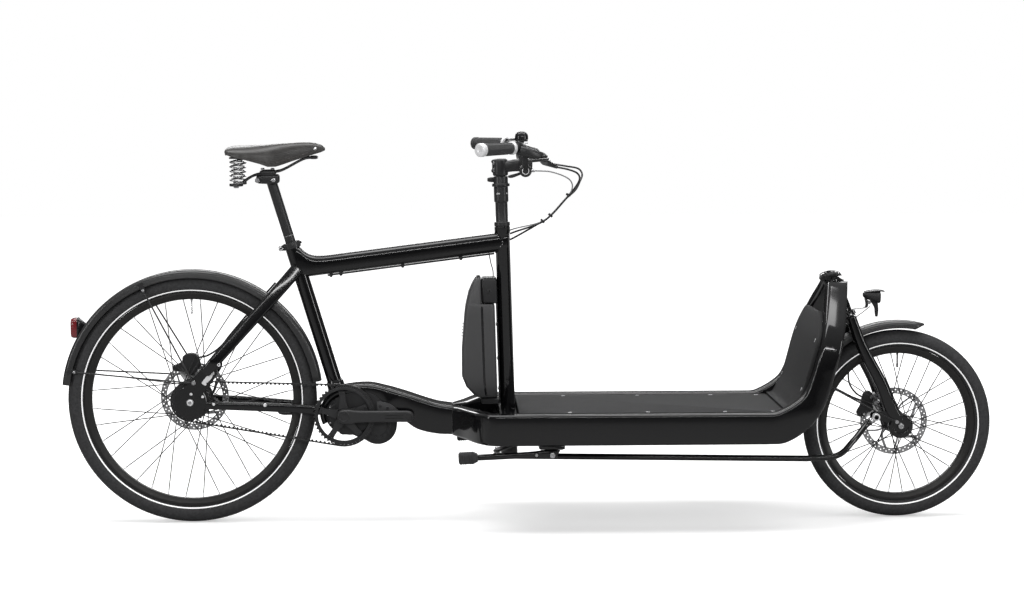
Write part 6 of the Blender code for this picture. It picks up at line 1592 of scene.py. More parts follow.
def make_headlight_skin():
    """Front lamp: hooded body, clear lens, bracket strip and cooling fin."""
    centre = on_head_axis(HEAD_LOW) + point(75, 0, 36)
    rows = ((-24, 15, 10, 9), (-20, 22, 15, 8), (-13, 29, 20, 7), (0, 34, 26, 5), (14, 37, 31, 3),
            (19, 37, 31, 3), (20, 35, 29, 3))
    body = loft(refine([section(centre + point(x, 0, z), Y, Z, wide, high, min(wide, high) * 0.42, 6)
                        for x, wide, high, z in rows], 3))
    hood = loft(refine([section(centre + point(x, 0, z), Y, Z, wide, 3.4, 1.6, 3)
                        for x, z, wide in ((-20, 16.2, 22), (0, 19.6, 31), (18, 20.2, 33), (27, 19.4, 30),
                                           (31, 18.6, 25))], 3))
    rim = turned(centre + point(18.6, 0, 3), X, bent([(0, 15.4), (2, 15.4), (3, 14.2), (2.6, 13), (0, 13)],
                                                     0.4, 2), 48)
    lens = turned(centre + point(18.8, 0, 3), X, bent([(0, 13), (0.8, 12.6), (2.6, 8), (3.2, 4),
                                                       (3.3, 0.5)], 0.5, 2), 48)
    front = on_head_axis(HEAD_LOW - 12) + Y.cross(HEAD_UP) * 24.3
    strip = loft(refine([section(front + HEAD_UP * -6, Y, X, 20, 3, 1, 2),
                         section(front + HEAD_UP * 10, Y, X, 20, 3, 1, 2),
                         section(centre + point(-16, 0, -24), Y, X, 16, 5, 1, 2),
                         section(centre + point(-17, 0, 2), Y, X, 16, 6, 1, 2)], 4))
    fin = loft(refine([section(centre + point(x, 0, z), Y, X, 9.6, deep, 2, 3)
                       for x, z, deep in ((12, -49, 6), (12, -38, 9), (11, -24, 11), (4, -6, 20))], 3))
    bolt = socket_bolt(front + HEAD_UP * 2 + Y.cross(HEAD_UP) * 1.2, Y.cross(HEAD_UP), 4.6, 4)
    pivot = turned(centre + point(-9, -10, -11), Y, bent([(0, 4.4), (20, 4.4)], 0.6, 2), 28)
    skin("headlight", "fork_body", [(body, PLASTIC), (hood, GLOSS_PLASTIC), (rim, SILVER), (lens, CLEAR),
                                    (strip, SATIN), (fin, PLASTIC), (bolt, STEEL), (pivot, STEEL)],
         crease=42, finish="black_plastic")


def make_stand_skins():
    """Twin-leg stand folded back under the deck, and its bracket under the rails."""
    pivot = STAND_PIVOT
    under = DECK_Z - RAIL_H - FIT
    parts = [(loft([section(point(49, 0, z), X, Y, wide, long, 3, 3)
                    for z, wide, long in ((under - 8, 65, 451), (under - 7.4, 66, 452),
                                          (under - 0.4, 66, 452), (under, 65.4, 451.4))]), PAINT)]
    outline = [(pivot.x + x, pivot.z + z) for x, z in ((-30, 17), (-25, 6), (-14, -14), (-8, -15.6),
                                                       (8, -16), (12, -15), (22, 4), (28, 17))]
    for side in (-1, 1):
        parts.append((plate(outline, side * 172 - 3.9, side * 172 + 3.9), PAINT))
        for x in (26, 72):
            parts.append((hex_nut(point(x, side * 205, under - 8), -Z, 6.4, 4.6), STEEL))
    piece("stand_bracket_skin", "frame", parts, "kickstand_bracket", bevel=0.5, finish="frame_paint")

    lean = math.radians(182.5)
    way = aimed(lean)
    up = Y.cross(way)
    parts = [(turned(pivot - Y * 226, Y, bent([(0, 6), (1, 7.8), (451, 7.8), (452, 6)], 0.6, 2), 32),
              PAINT)]
    for side in (-1, 1):
        root = pivot + Y * side * 200
        rows = ((-13, 16, 14), (-11, 21, 19), (14, 24, 22), (60, 18, 16), (197, 16, 15))
        parts.append((loft(refine([section(root + way * d, Y, up, wide, high, 5, 4)
                                   for d, wide, high in rows], 4)), PAINT))
        foot = [(191, 20, 20), (193, 22, 22), (198, 28, 26)]
        for d in range(202, 236, 6):
            foot += [(d, 31, 28.6), (d + 2.4, 34, 30.2), (d + 3.6, 34, 30.2), (d + 5, 31, 28.6)]
        foot += [(237, 33, 29), (240.6, 26, 22)]
        parts += [(loft([section(root + way * d, Y, up, wide, high, 7, 5) for d, wide, high in foot]),
                   TREAD),
                  (socket_bolt(pivot + Y * side * 226, Y * side, 6.8, 5), STEEL),
                  (socket_bolt(root + way * 40 + Y * side * 9.4, Y * side, 4, 3), STEEL)]
        spring = []
        for i in range(12 * 11):
            turn = 2 * math.pi * i / 12
            spring.append(pivot + Y * side * 184 + way * (14 + i * 0.42)
                          + (up * math.cos(turn) + Y * math.sin(turn)) * 4.6)
        parts.append((tube(spring, 0.9, 8), CHROME))
    piece("stand_skin", "stand", parts, "kickstand", bevel=0.0, finish="frame_paint")


def behind_column(height, reach):
    """X of a place behind the column's axis, at a height over the ground."""
    return on_column(height).x - reach


def make_battery_skins():
    """Battery pack and the rail, cradle and lock box that hold it."""
    rings = [section(point(behind_column(z, 19.3 + 1.8), 0, z), Y, X, 40, 3.6, 1.2, 3)
             for z in (DECK_Z + 4, DECK_Z + 330)]
    parts = [(loft(rings), GLOSS_PLASTIC)]
    low = DECK_Z + 2
    rows = ((0, 76, 60, 23.5), (2, 78, 64, 22), (12, 80, 66, 22), (14, 78, 62, 23.5))
    rings = [section(point(behind_column(low, 46.5), 0, low + up), X, Y, long - 30, wide, 6, 4)
             for up, long, wide, _ in rows]
    parts.append((loft(rings), PLASTIC))
    rings = []
    for up, near, half in ((267, 20, 25), (270, 20, 30), (276, 20, 31.6), (326, 20, 31.6), (333, 21, 29),
                           (335, 22, 25)):
        z = DECK_Z + up
        front = behind_column(z, near)
        rear = behind_column(z, 60.2) + (4 if up > 330 or up < 270 else 0)
        rings.append(section(point((rear + front) / 2, 0, z), Y, X, 2 * half, front - rear, 7, 5))
    parts.append((loft(refine(rings, 2)), PLASTIC))
    lock = point(behind_column(DECK_Z + 300, 40), -31.4, DECK_Z + 300)
    parts.append((turned(lock, -Y, bent([(0, 6), (1, 6), (1.4, 4.9), (1.4, 0.5)], 0.4, 2), 32), CAST))
    # The key slot is a dark gloss strip standing out of the lock's face: painted shade for the slot.
    slot_shade = loft([section(lock - Y * d, X, Z, 1.4, 7, 0.5, 2) for d in (1.2, 1.7)])
    parts.append((slot_shade, GLOSS_PLASTIC))
    for z in (350, 430, 520):
        parts.append((socket_bolt(point(behind_column(z, 22.6), 0, z), -X, 4.2, 2.4), STEEL))
    skin("battery_dock", "frame", parts, bevel=0.4, finish="black_plastic")

    near = 27.0
    step = 61.0
    rows = ((19, 80, near, 31), (21, 84, near, 34), (31, 94, near, 40), (48, 109, near, 43),
            (75, 119, near, 44), (144, 117, near, 44), (237, 107, near, 44), (261, 103.2, near, 44),
            (265.5, 102, near + 3, 43.4), (266, 101.8, step, 43.2), (270, 101, step, 43),
            (297, 94, step, 40), (318, 84.5, step, 35), (332, 76, step, 30.5), (335.5, 72, step, 27))
    rings = []
    for above, far, close, half in rows:
        z = DECK_Z + above
        rear = behind_column(z, far)
        front = behind_column(z, close)
        rings.append(section(point((rear + front) / 2, 0, z), Y, X, 2 * half, front - rear,
                             min(13, (front - rear) * 0.4), 7))
    parts = [(loft(rings), BATTERY)]
    for side in (-1, 1):
        seam = []
        for above, inset, half in ((24, 56, 36.6), (31, 58, 40.1), (48, 60, 43.1), (75, 61, 44.1),
                                   (144, 61, 44.1), (237, 61, 44.1), (260, 61, 44.1)):
            seam.append(section(point(behind_column(DECK_Z + above, inset), side * half, DECK_Z + above), X,
                                Y, 5.6, 0.5, 0.2, 1))
        parts.append((loft(seam), GLOSS_PLASTIC))
        ridge = []
        for above, far, half in ((31, 88, 34.6), (48, 103, 38.8), (75, 113, 39.9), (144, 111, 39.9),
                                 (237, 101, 39.9), (270, 95, 38.9), (297, 88.4, 36)):
            ridge.append(point(behind_column(DECK_Z + above, far), side * half, DECK_Z + above))
        parts.append((tube(smooth(ridge, 4), 0.9, 8), GLOSS_PLASTIC))
    parts.append((loft([section(point(behind_column(DECK_Z + 336, x), 0, DECK_Z + 337), Y, Z, 34, 5, 2.2, 4)
                        for x in (72, 63)]), PLASTIC))
    for i in range(5):
        lamp = point(behind_column(DECK_Z + 180 + i * 8, 116.4 - i * 0.9), 0, DECK_Z + 180 + i * 8)
        parts.append((loft([section(lamp - X * d, Y, Z, 7, 4, 1.4, 3) for d in (-2, 0.2)]), GREY_MARK))
    skin("battery", "battery_pack", parts, crease=42, finish="black_plastic")


def make_bundle_skin():
    """Folded webbing straps lashed on the steering head."""
    top = on_head_axis(HEAD_HIGH) + HEAD_UP * 5.6
    ahead = Y.cross(HEAD_UP)
    ahead = Vector((ahead.x, 0, ahead.z * 0.35)).normalized()
    parts = []
    turns = ((-21, 30, 9, 4), (-14, 36, 13.6, 4.4), (-6, 40, 16.6, 4.6), (2, 42, 17.6, 4.6),
             (10, 40, 16.6, 4.6), (18, 34, 13.6, 4.4), (25, 24, 9, 4))
    for n, (x, wide, high, thick) in enumerate(turns):
        rings = []
        count = 40
        for i in range(count):
            turn = 2 * math.pi * i / count
            wave = 1 + 0.05 * math.sin(3 * turn + n * 1.7)
            y = math.copysign(abs(math.cos(turn)) ** 0.7, math.cos(turn)) * (wide / 2 - thick / 2) * wave
            z = math.copysign(abs(math.sin(turn)) ** 0.7, math.sin(turn)) * (high / 2 - thick / 2)
            lean = 1.6 * math.sin(turn * 2 + n)
            centre = top + ahead * (x + lean) + Y * y + HEAD_UP * (high / 2 + z + 0.3)
            out = (Y * y + HEAD_UP * z).normalized()
            rings.append(section(centre, ahead, out, 8.6, thick * 0.55, 0.8, 2))
        parts.append((loft(rings, closed=True), STRAP))
        fill = [section(top + ahead * (x + d) + HEAD_UP * (high / 2 + 0.2), Y, HEAD_UP, wide - thick * 1.2,
                        high - thick * 1.2, 3, 3) for d in (-4, 4)]
        parts.append((loft(fill), STRAP))
    for x, z, radius, half in ((789.5, 641, 8.6, 15), (808, 640, 8.4, 13), (822, 632, 6.5, 11),
                               (802, 629, 7.5, 14), (777, 638, 7.5, 12)):
        roll = point(x, 0, z)
        coil = bent([(0, radius - 3), (0.6, radius), (2 * half - 0.6, radius), (2 * half, radius - 3)], 0.5,
                    2)
        parts.append((turned(roll - Y * half, Y, coil, 24), STRAP))
        for r in (radius - 2.2, radius - 4.4):
            parts.append((turned(roll - Y * (half + 0.7), Y,
                                 [(0, r - 0.9), (0, r), (2 * half + 1.4, r), (2 * half + 1.4, r - 0.9)], 24,
                                 ring=True), STRAP))
    tie = []
    for i in range(33):
        turn = 2 * math.pi * i / 32
        tie.append(section(top + ahead * (1 + 26.5 * math.cos(turn))
                           + HEAD_UP * (9.4 + 9.2 * math.sin(turn)), Y,
                           ahead * math.cos(turn) + HEAD_UP * math.sin(turn), 10, 1.5, 0.4, 1))
    parts.append((loft(tie[:-1], closed=True), STRAP))
    buckle = [section(top + ahead * 2 + HEAD_UP * z, Y, ahead, 18, 12, 2, 3) for z in (17.6, 19.2)]
    parts.append((loft(buckle), GLOSS_PLASTIC))
    made = skin("strap_bundle", "frame", parts, crease=50, finish="black_plastic")


def on_saddle(x, y, z):
    """Place measured from the top of the seatpost."""
    return on_seat_line(POST_TOP) + point(x, y, z)


def saddle_rail(side, spans):
    """Route of one of the saddle's two wires, nose to rear bar."""
    rows = ((108, 8, 73), (81, 17, 69), (31, 21, 43), (7, 21, 36), (-40, 21, 29), (-64, 30, 18),
            (-81, 44, 4))
    return smooth([on_saddle(x, side * y, z) for x, y, z in rows], spans)


def make_seatpost_skin():
    """Straight post, its two-part head clamped on the saddle's rails by two bolts."""
    foot = on_seat_line(SEAT_TUBE_END - 200)
    length = POST_TOP - SEAT_TUBE_END + 212
    parts = [(turned(foot, SEAT_UP, bent([(0, 11), (1, 13.5), (length, 13.5)], 0.6, 2), 48), SATIN)]
    head = on_saddle(-12, 0, 17)
    rows = ((-29.5, 36, 12), (-28, 50, 17), (-22, 54, 23), (0, 54, 25), (22, 54, 25), (28, 50, 19),
            (29.4, 38, 13))
    parts.append((loft(refine([section(head + X * x, Y, Z, wide, high, 6, 5) for x, wide, high in rows],
                              2)), SATIN))
    rows = ((-20, 46, 8), (-18, 52, 12), (-10, 54, 14.6), (10, 54, 15.6), (18, 52, 13), (20, 46, 10))
    parts.append((loft(refine([section(head + X * x + Z * 16.4, Y, Z, wide, high, 4.6, 4)
                               for x, wide, high in rows], 2)), SATIN))
    for x, y in ((-23, 0), (20, 0)):
        bolt = head + point(x * 0.6, y, 24)
        parts.append((socket_bolt(bolt, Z, 5, 4.6), STEEL))
    knurl = []
    for i in range(30):
        turn = 2 * math.pi * i / 30
        size = 6.6 if i % 2 else 6.0
        knurl.append((size * math.cos(turn), size * math.sin(turn)))
    at = head + point(-26, -27, -3)
    parts += [(loft([[at - Y * d + X * x * s + Z * z * s for x, z in knurl]
                     for d, s in ((-2, 0.9), (-1, 1), (3.4, 1), (4.2, 0.86))]), STEEL),
              (turned(head + point(16, -26.6, -2), -Y, bent([(0, 5.4), (2.4, 5.4), (3, 4)], 0.4, 2), 28),
               STEEL)]
    for i in range(4):
        mark = on_seat_line(SEAT_TUBE_END + 20 + i * 26)
        band = bent([(0, 13.2), (0, 13.64), (0.7, 13.64), (0.7, 13.2)], 0.1, 1)
        parts.append((turned(mark, SEAT_UP, band, 48), GREY_MARK if i == 0 else SATIN))
    skin("seatpost", "post", parts, bevel=0.3, finish="satin_metal")


def make_saddle_skins():
    """Wire frame with its nose piece and rear bar, and the two coil springs."""
    parts = []
    for side in (-1, 1):
        parts.append((tube(saddle_rail(side, 6), 3.5, 18), SATIN))
    nose = [section(on_saddle(x, 0, 73), Y, Z, wide, high, 3, 3)
            for x, wide, high in ((99, 18, 6), (101, 24, 9), (108, 24, 9.4), (115, 20, 9), (117, 14, 6))]
    parts.append((loft(refine(nose, 2)), SATIN))
    tension = turned(on_saddle(93, 0, 73), X, bent([(0, 3.4), (26, 3.4)], 0.5, 2), 24)
    parts.append((tension, STEEL))
    bar = []
    for y, wide in ((-78.5, 12), (-77, 16), (-66, 33), (-58, 35), (-50, 33), (-38, 18), (-20, 14), (20, 14),
                    (38, 18), (50, 33), (58, 35), (66, 33), (77, 16), (78.5, 12)):
        bar.append(section(on_saddle(SPRING_X, y, 4), X, Z, wide, 7.6, 2.4, 4))
    parts.append((loft(refine(bar, 2)), SATIN))
    for side in (-1, 1):
        parts.append((hex_nut(on_saddle(SPRING_X, side * SPRING_Y, 0.2), -Z, 7, 4.4), STEEL))
    skin("saddle_frame", "post", parts, finish="satin_metal")
    for name, side in (("spring_right", -1), ("spring_left", 1)):
        route = []
        steps = 28
        turns = 5
        low = 11.3
        high = 68.7
        for i in range(turns * steps + 1):
            angle = 2 * math.pi * i / steps
            route.append(on_saddle(15.2 * math.cos(angle) + SPRING_X,
                                   side * (SPRING_Y + 15.2 * math.sin(angle)),
                                   low + (high - low) * i / (turns * steps)))
        made = skin(name, "post", [(tube(route, 2.3, 14), WIRE)], crease=60, finish="chrome")
        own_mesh(made)


def saddle_outline(x):
    """Half width, top height and lowest edge of the leather at one station."""
    rows = ((-117, 90, 97, 88), (-112, 97, 101.4, 82), (-99, 101.6, 103.6, 77.6), (-84, 100, 104.4, 74),
            (-69, 94.6, 104.8, 70), (-49, 84, 105.4, 64), (-29, 71, 106.4, 58), (-9, 57, 107.6, 50),
            (11, 45.4, 109, 50), (31, 36, 110.4, 56), (51, 29.6, 111.6, 63), (76, 26, 112.4, 71),
            (96, 23.8, 112.4, 77), (112, 22, 110.6, 82), (126, 18.6, 106.6, 86), (133, 15, 102.6, 89),
            (137, 10.6, 98, 91))
    xs = [row[0] for row in rows]
    if x <= xs[0]:
        return rows[0][1:]
    for a, b in zip(rows, rows[1:]):
        if a[0] <= x <= b[0]:
            t = (x - a[0]) / (b[0] - a[0])
            return [a[i] + (b[i] - a[i]) * t for i in (1, 2, 3)]
    return rows[-1][1:]


def make_leather_skin():
    """Leather saddle top: a stretched shell with folded skirts, rivets and a stitched edge."""
    stations = [-117, -115.4, -112, -106, -99, -90, -80, -69, -59, -49, -39, -29, -19, -9, 1, 11, 21, 31,
                41, 51, 64, 76, 86, 96, 105, 112, 119, 126, 130.6, 134, 136.2, 137]
    rings = []
    for x in stations:
        half, top, low = saddle_outline(x)
        outer = []
        inner = []
        for i in range(33):
            turn = math.pi * i / 32
            c = math.cos(turn)
            s = math.sin(turn)
            wide = math.copysign(abs(c) ** 0.62, c)
            dip = 2.2 * max(0.0, 1 - abs(wide) * 2.4) if x < 60 else 0
            lift = s ** 0.62
            flare = 1 - 0.05 * (1 - lift) * (1 if x > -60 else 0)
            outer.append(on_saddle(x, half * wide * flare, low + (top - low) * lift - dip))
            inner.append(on_saddle(x, max(half - 4, 2) * wide * flare,
                                   low + (top - 4.2 - low) * lift - dip))
        rings.append(outer + inner[::-1])
    parts = [(loft(rings), LEATHER)]
    back = []
    for y in range(-84, 85, 12):
        edge = 1 - (abs(y) / 100) ** 4
        back.append(section(on_saddle(-114.5, y, 84 + 5 * edge), X, Z, 3.4, 8 + 6 * edge, 1.4, 3))
    parts.append((loft(refine(back, 2)), LEATHER))
    shelf = [section(on_saddle(-88, y, 74), X, Z, wide, 4.6, 2, 3)
             for y, wide in ((-85, 26), (-80, 37), (80, 37), (85, 26))]
    parts.append((loft(shelf), SATIN))
    nose = [section(on_saddle(x, 0, 93), Y, Z, wide, high, 3, 3)
            for x, wide, high in ((111, 34, 9), (122, 28, 9), (133, 18, 8))]
    parts.append((loft(refine(nose, 2)), SATIN))
    for y in (-70, -42, -14, 14, 42, 70):
        at = on_saddle(-116.6, y, 91 - abs(y) * 0.05)
        parts.append((turned(at + X * 1.6, -X, bent([(0, 4.6), (1.4, 4.6), (2.6, 3), (3, 0.6)], 0.6, 3),
                             24), CHROME))
    for x, side in ((113, -1), (113, 1)):
        half, top, low = saddle_outline(x)
        at = on_saddle(x, side * (half - 0.9), low + (top - low) * 0.48)
        parts.append((turned(at, point(0.16, side, 0.1),
                             bent([(0, 3.8), (1.2, 3.8), (2.1, 2.4), (2.4, 0.5)], 0.5, 3), 24), CHROME))
    for side in (-1, 1):
        line = []
        for x in stations[3:-5]:
            half, top, low = saddle_outline(x)
            line.append(on_saddle(x, side * (half * 0.988 + 0.1), low + (top - low) * 0.12 + 3))
        parts.append((tube(smooth(line, 2), 0.55, 6), THREAD))
    made = skin("saddle_leather", "saddle", parts, crease=60, finish="leather")


def bar_route(spans):
    """Middle line of the handlebar from grip to grip."""
    half = smooth([BAR_CENTRE + Y * 42, BAR_CENTRE + point(-3, 78, 8), BAR_CENTRE + point(-8, 132, 42),
                   BAR_CENTRE + point(-20, 196, 51), GRIP_IN], spans)
    half.append(GRIP_OUT)
    return mirrored(half)[::-1] + half


def at_bars(side, x, y, z):
    """Place measured from the bar's middle, on one side of the bike."""
    return BAR_CENTRE + point(x, side * y, z)


def on_side(side, place):
    """The same place on one side of the bike."""
    return point(place.x, side * place.y, place.z)


def make_bar_skins():
    """Handlebar, and the quill stem that clamps it with two bolts a side."""
    parts = [(tube(bar_route(8), BAR_R, 32), SATIN)]
    for side in (-1, 1):
        for d in range(6):
            mark = at_bars(side, 0, 26 + d * 3.4, 0)
            parts.append((turned(mark, Y, [(0, BAR_R + 0.05), (0.5, BAR_R + 0.05)], 32), GREY_MARK))
    skin("handlebar", "bars", parts, crease=60, finish="satin_metal")

    parts = [(turned(on_column(COLUMN_TOP + 20), COLUMN_UP, bent([(0, 11), (1, 12.1), (116, 12.1)], 0.5, 2),
                     40), SATIN)]
    low = on_column(COLUMN_TOP + 132)
    head = bent([(0, 17.4), (1.2, 18.4), (3, 20), (40, 20), (43.6, 18), (45, 14), (45, 8), (42.6, 7),
                 (42.6, 0.6)], 0.8, 3)
    parts.append((turned(low, COLUMN_UP, head, 56), SATIN))
    rows = ((-65, -6, 30, 28), (-41, -4, 34, 30), (-28, -2, 40, 31), (-15, -1, 46, 32), (2, 0, 46.6, 33.6),
            (19, 0, 46, 34), (21.6, 0, 44, 32), (23, 0, 40, 28))
    parts.append((loft(refine([section(BAR_CENTRE + point(x, 0, z), Y, Z, wide, high, 9, 6)
                               for x, z, wide, high in rows], 2)), SATIN))
    ears = [section(BAR_CENTRE + point(x, 0, -4), Y, Z, wide, high, 5, 4)
            for x, wide, high in ((-82, 14, 28), (-80.6, 19, 34), (-74, 20, 36), (-54, 20, 36))]
    parts.append((loft(refine(ears, 2)), SATIN))
    for z in (-13, 5):
        at = BAR_CENTRE + point(-74.6, -9.6, z)
        parts += [(turned(at, -Y, bent([(0, 5.6), (1.8, 5.6), (2.4, 4.8), (2.4, 2.6), (1, 2.4), (1, 0.5)],
                                       0.4, 2), 32), STEEL),
                  (turned(on_side(-1, at), Y, bent([(0, 6), (1.6, 6), (2, 5)], 0.4, 2), 6), CHROME)]
    for z in (-15.7, 8.3):
        eye = bent([(-7, 2.3), (-7, 5.4), (7, 5.4), (7, 2.3)], 0.7, 3)
        parts.append((turned(BAR_CENTRE + point(-79, 0, z), Y, eye, 32, ring=True), SATIN))
    for side in (-1, 1):
        for z in (-11.6, 11.6):
            parts.append((socket_bolt(BAR_CENTRE + point(22.6, side * 16, z * 0.9), X, 3.6, 3), CHROME))
    face = [section(BAR_CENTRE + point(x, 0, 0), Y, Z, 47.2, 4, 1, 2) for x in (-12, -10.6)]
    parts.append((loft(face), GLOSS_PLASTIC))
    skin("stem", "bars", parts, bevel=0.35, finish="satin_metal")


def make_grip_skins():
    """Textured grips between a clamp ring and an end cap, light on the right-hand grip."""
    for name, side in (("grip_right", -1), ("grip_left", 1)):
        start = on_side(side, GRIP_IN)
        end = on_side(side, GRIP_OUT)
        way = (end - start).normalized()
        length = (end - start).length
        ring = bent([(0, BAR_R + 0.4), (0, 16.4), (8.6, 16.4), (9.4, 15.4), (9.4, BAR_R + 0.4)], 0.6, 3)
        parts = [(turned(start + way * 4, way, ring, 48), SILVER)]
        sleeve = [(9.5, BAR_R + 0.5), (9.5, 13.6), (11, 14.4)]
        count = 27
        for i in range(count):
            here = 13 + (length - 28) * i / count
            step = (length - 28) / count
            size = 14.3 + 1.1 * i / count
            sleeve += [(here, size - 0.35), (here + step * 0.3, size + 0.1),
                       (here + step * 0.7, size + 0.1), (here + step, size - 0.35)]
        sleeve += [(length - 13.4, 15.4), (length - 13, BAR_R + 0.5)]
        parts.append((turned(start + way * 4, way, sleeve, 40), GRIP))
        for turn in range(0, 360, 45):
            spin = math.radians(turn)
            across = way.cross(Z).normalized()
            up = across.cross(way)
            out = across * math.cos(spin) + up * math.sin(spin)
            pad = [section(start + way * (4 + d) + out * (13.5 + 1.1 * d / length), out.cross(way), out,
                           5.2, 3, 1.2, 2) for d in (22, length - 22)]
            parts.append((loft(pad), GRIP))
        cap = bent([(length - 9, BAR_R + 0.5), (length - 9, 16.9), (length + 3, 16.9), (length + 5, 15),
                    (length + 5, 6), (length + 4.2, 5), (length + 4.2, 0.6)], 0.9, 3)
        parts.append((turned(start, way, cap, 48), SILVER if side < 0 else GRIP))
        skin(name, "bars", parts, crease=30, finish="grip_rubber")


def make_brake_skins():
    """Hydraulic brake bodies with their levers; the right one carries the shifter pod."""
    for name, side, body in (("right", -1, "right_brake_lever"), ("left", 1, "left_brake_lever")):
        rows = ((-19, 215, 44, 24, 24), (-8, 213, 41, 26, 26), (7, 208, 36, 26, 24), (24, 199, 31, 25, 24),
                (39, 188, 26, 24, 24), (45, 174, 19.6, 21, 21), (49, 160, 13, 18, 18),
                (64, 143, 5.6, 12.6, 12.6), (81, 125, -2, 8, 8))
        centres = [at_bars(side, x, y, z) for x, y, z, _, _ in rows]
        rings = [section(c, way.cross(Z), way.cross(Z).cross(way), row[3], row[4], min(row[3:]) * 0.36, 5)
                 for c, way, row in zip(centres, directions(centres), rows)]
        parts = [(loft(refine(rings, 2)), SATIN)]
        low = at_bars(side, -15, 199, 49)
        high = at_bars(side, -24, 219, 50)
        parts.append((turned(low, high - low, bent([(0, 11.5), (0, 15.8), (18, 15.8), (18, 11.5)], 1.0, 3),
                             44), SATIN))
        middle = on_side(side, LEVER_PIVOT)
        for z, sign in ((4.4, 1), (-4.4, -1)):
            cheek = bent([(0, 4), (0, 9), (3.6, 9), (4.6, 7.6), (4.6, 0.6)], 0.6, 3)
            parts.append((turned(middle + Z * z, Z * sign, cheek, 36), SATIN))
        parts += [(turned(middle - Z * 8, Z, [(0, 2.4), (16, 2.4)], 20), STEEL),
                  (socket_bolt(middle + Z * 8.6, Z, 3.6, 1.6), STEEL)]
        clamp_bolt = at_bars(side, 0, 207, 62)
        parts.append((socket_bolt(clamp_bolt - Z * 2, Z, 3.4, 3), STEEL))
        joint = at_bars(side, 76, 130, 0.6)
        nut_way = (centres[-1] - centres[-2]).normalized()
        parts.append((hex_nut(joint - nut_way * 4, nut_way, 5.6, 6), STEEL))
        if side < 0:
            pod = bent([(0, 8), (0, 13), (4, 16), (20, 16), (24, 13), (24, 8)], 1.6, 4)
            parts.append((turned(at_bars(side, -1, 172, -10), Y, pod, 48), SATIN))
            ring = bent([(-0.6, 7.4), (-0.6, 9.4), (1.2, 9.4), (1.2, 7.4)], 0.4, 2)
            parts.append((turned(at_bars(side, -1, 172, -10), Y, ring, 40, ring=True), SILVER))
            neck = [section(at_bars(side, x, y, z), X, Y, 15.6, 13.6, 4, 4)
                    for x, y, z in ((-1, 170, -4), (-3, 186, 14), (-5, 202, 32))]
            parts.append((loft(refine(neck, 3)), SATIN))
            barrel = smooth([at_bars(side, 8, 160, -10), at_bars(side, 16, 158.6, -10),
                             at_bars(side, 22, 156, -10)], 3)
            parts.append((tube(barrel, 3.6, 20), STEEL))
        skin("brake_body_" + name, "bars", parts, crease=40, finish="satin_metal")

        rows = ((45, 200, 22, 10), (51, 214, 22, 11), (45, 236, 21, 9), (27, 264, 20, 8), (5, 288, 19, 8),
                (5, 298, 19, 9))
        path = smooth([at_bars(side, x, y, z) for x, y, z, _ in rows], 5)
        wides = [row[3] for row in rows]
        rings = []
        for i, (p, way) in enumerate(zip(path, directions(path))):
            along = i / (len(path) - 1) * (len(rows) - 1)
            n = min(int(along), len(rows) - 2)
            wide = wides[n] + (wides[n + 1] - wides[n]) * (along - n)
            rings.append(section(p, way.cross(Z), Z, wide, 7.2, 2.8, 5))
        eye = turned(middle - Z * 3.9, Z, bent([(0, 3), (0, 6.9), (7.8, 6.9), (7.8, 3)], 0.6, 2), 36)
        knob = turned(at_bars(side, 5, 299, 15.4), Z,
                      bent([(0, 3.6), (0.8, 5), (6.6, 5), (7.4, 3.6)], 0.8, 3), 32)
        dial = turned(middle + point(13, side * 8, -5.2), Z, bent([(0, 3.6), (1.6, 3.6), (2, 2.6)], 0.3, 2),
                      24)
        skin("brake_lever_" + name, body, [(loft(rings), SATIN), (eye, SATIN), (knob, SATIN),
                                           (dial, STEEL)], crease=40, finish="satin_metal")

    hub = turned(SHIFT_PIVOT, Y, bent([(0, 2), (0, 7.9), (5, 7.9), (5, 2)], 0.7, 2), 36)
    rows = ((0, -3, 4, 8), (-10, -6, 4.4, 8), (-18, -9, 5, 8), (-26, -11.8, 7.6, 8.6), (-34, -14, 10, 9),
            (-41, -15, 10, 7), (-44, -15, 8, 4.4))
    rings = [section(SHIFT_PIVOT + point(x, 2.5, z), Y, X.cross(Y), wide, high, 1.9, 3)
             for x, z, wide, high in rows]
    cap = socket_bolt(SHIFT_PIVOT + Y * 4.8, Y, 4, 2)
    skin("shift_lever", "gear_lever", [(hub, SATIN), (loft(refine(rings, 2)), SATIN), (cap, STEEL)],
          crease=45, finish="satin_metal")


def make_bell_skin():
    """Bell on its clamp, with the thumb lever."""
    base = BAR_CENTRE + point(-11, -160, 66)
    clamp = bent([(0, BAR_R + 0.5), (0, 15.2), (12, 15.2), (12, BAR_R + 0.5)], 0.8, 3)
    parts = [(turned(BAR_CENTRE + point(-12.4, -154, 47.4), Vector((-0.18, -0.97, 0.12)), clamp, 40),
              PLASTIC)]
    dome = bent([(3.4, 15.2), (3.4, 16.8), (6, 17), (12, 16.9), (17, 15.8), (21, 13.4), (23.8, 9.6),
                 (25, 5), (25.2, 0.5)], 1.4, 4)
    parts += [(turned(base, Z, dome, 56), GLOSS_PLASTIC),
              (turned(base, Z, bent([(-1, 9), (-1, 16.2), (2.8, 16.2), (2.8, 9)], 0.7, 2), 48), PLASTIC),
              (turned(base - Z * 12, Z, bent([(0, 6.8), (13, 6.8)], 0.5, 2), 32), PLASTIC),
              (turned(base + Z * 24.6, Z, bent([(0, 3), (0.8, 2.6), (1, 0.5)], 0.2, 2), 20), STEEL)]
    lever = [section(base + point(x, 0, z), Y, Z, wide, high, 1.3, 3) for x, z, wide, high in
             ((-8, 2.6, 7, 3.4), (-22, 2.8, 7, 3), (-33, 3, 8, 3.4), (-37, 3.4, 9, 6), (-40, 3.4, 8, 7.6),
              (-41, 3.4, 6, 5))]
    parts.append((loft(refine(lever, 2)), PLASTIC))
    skin("bell", "bars", parts, crease=40, finish="satin_metal")


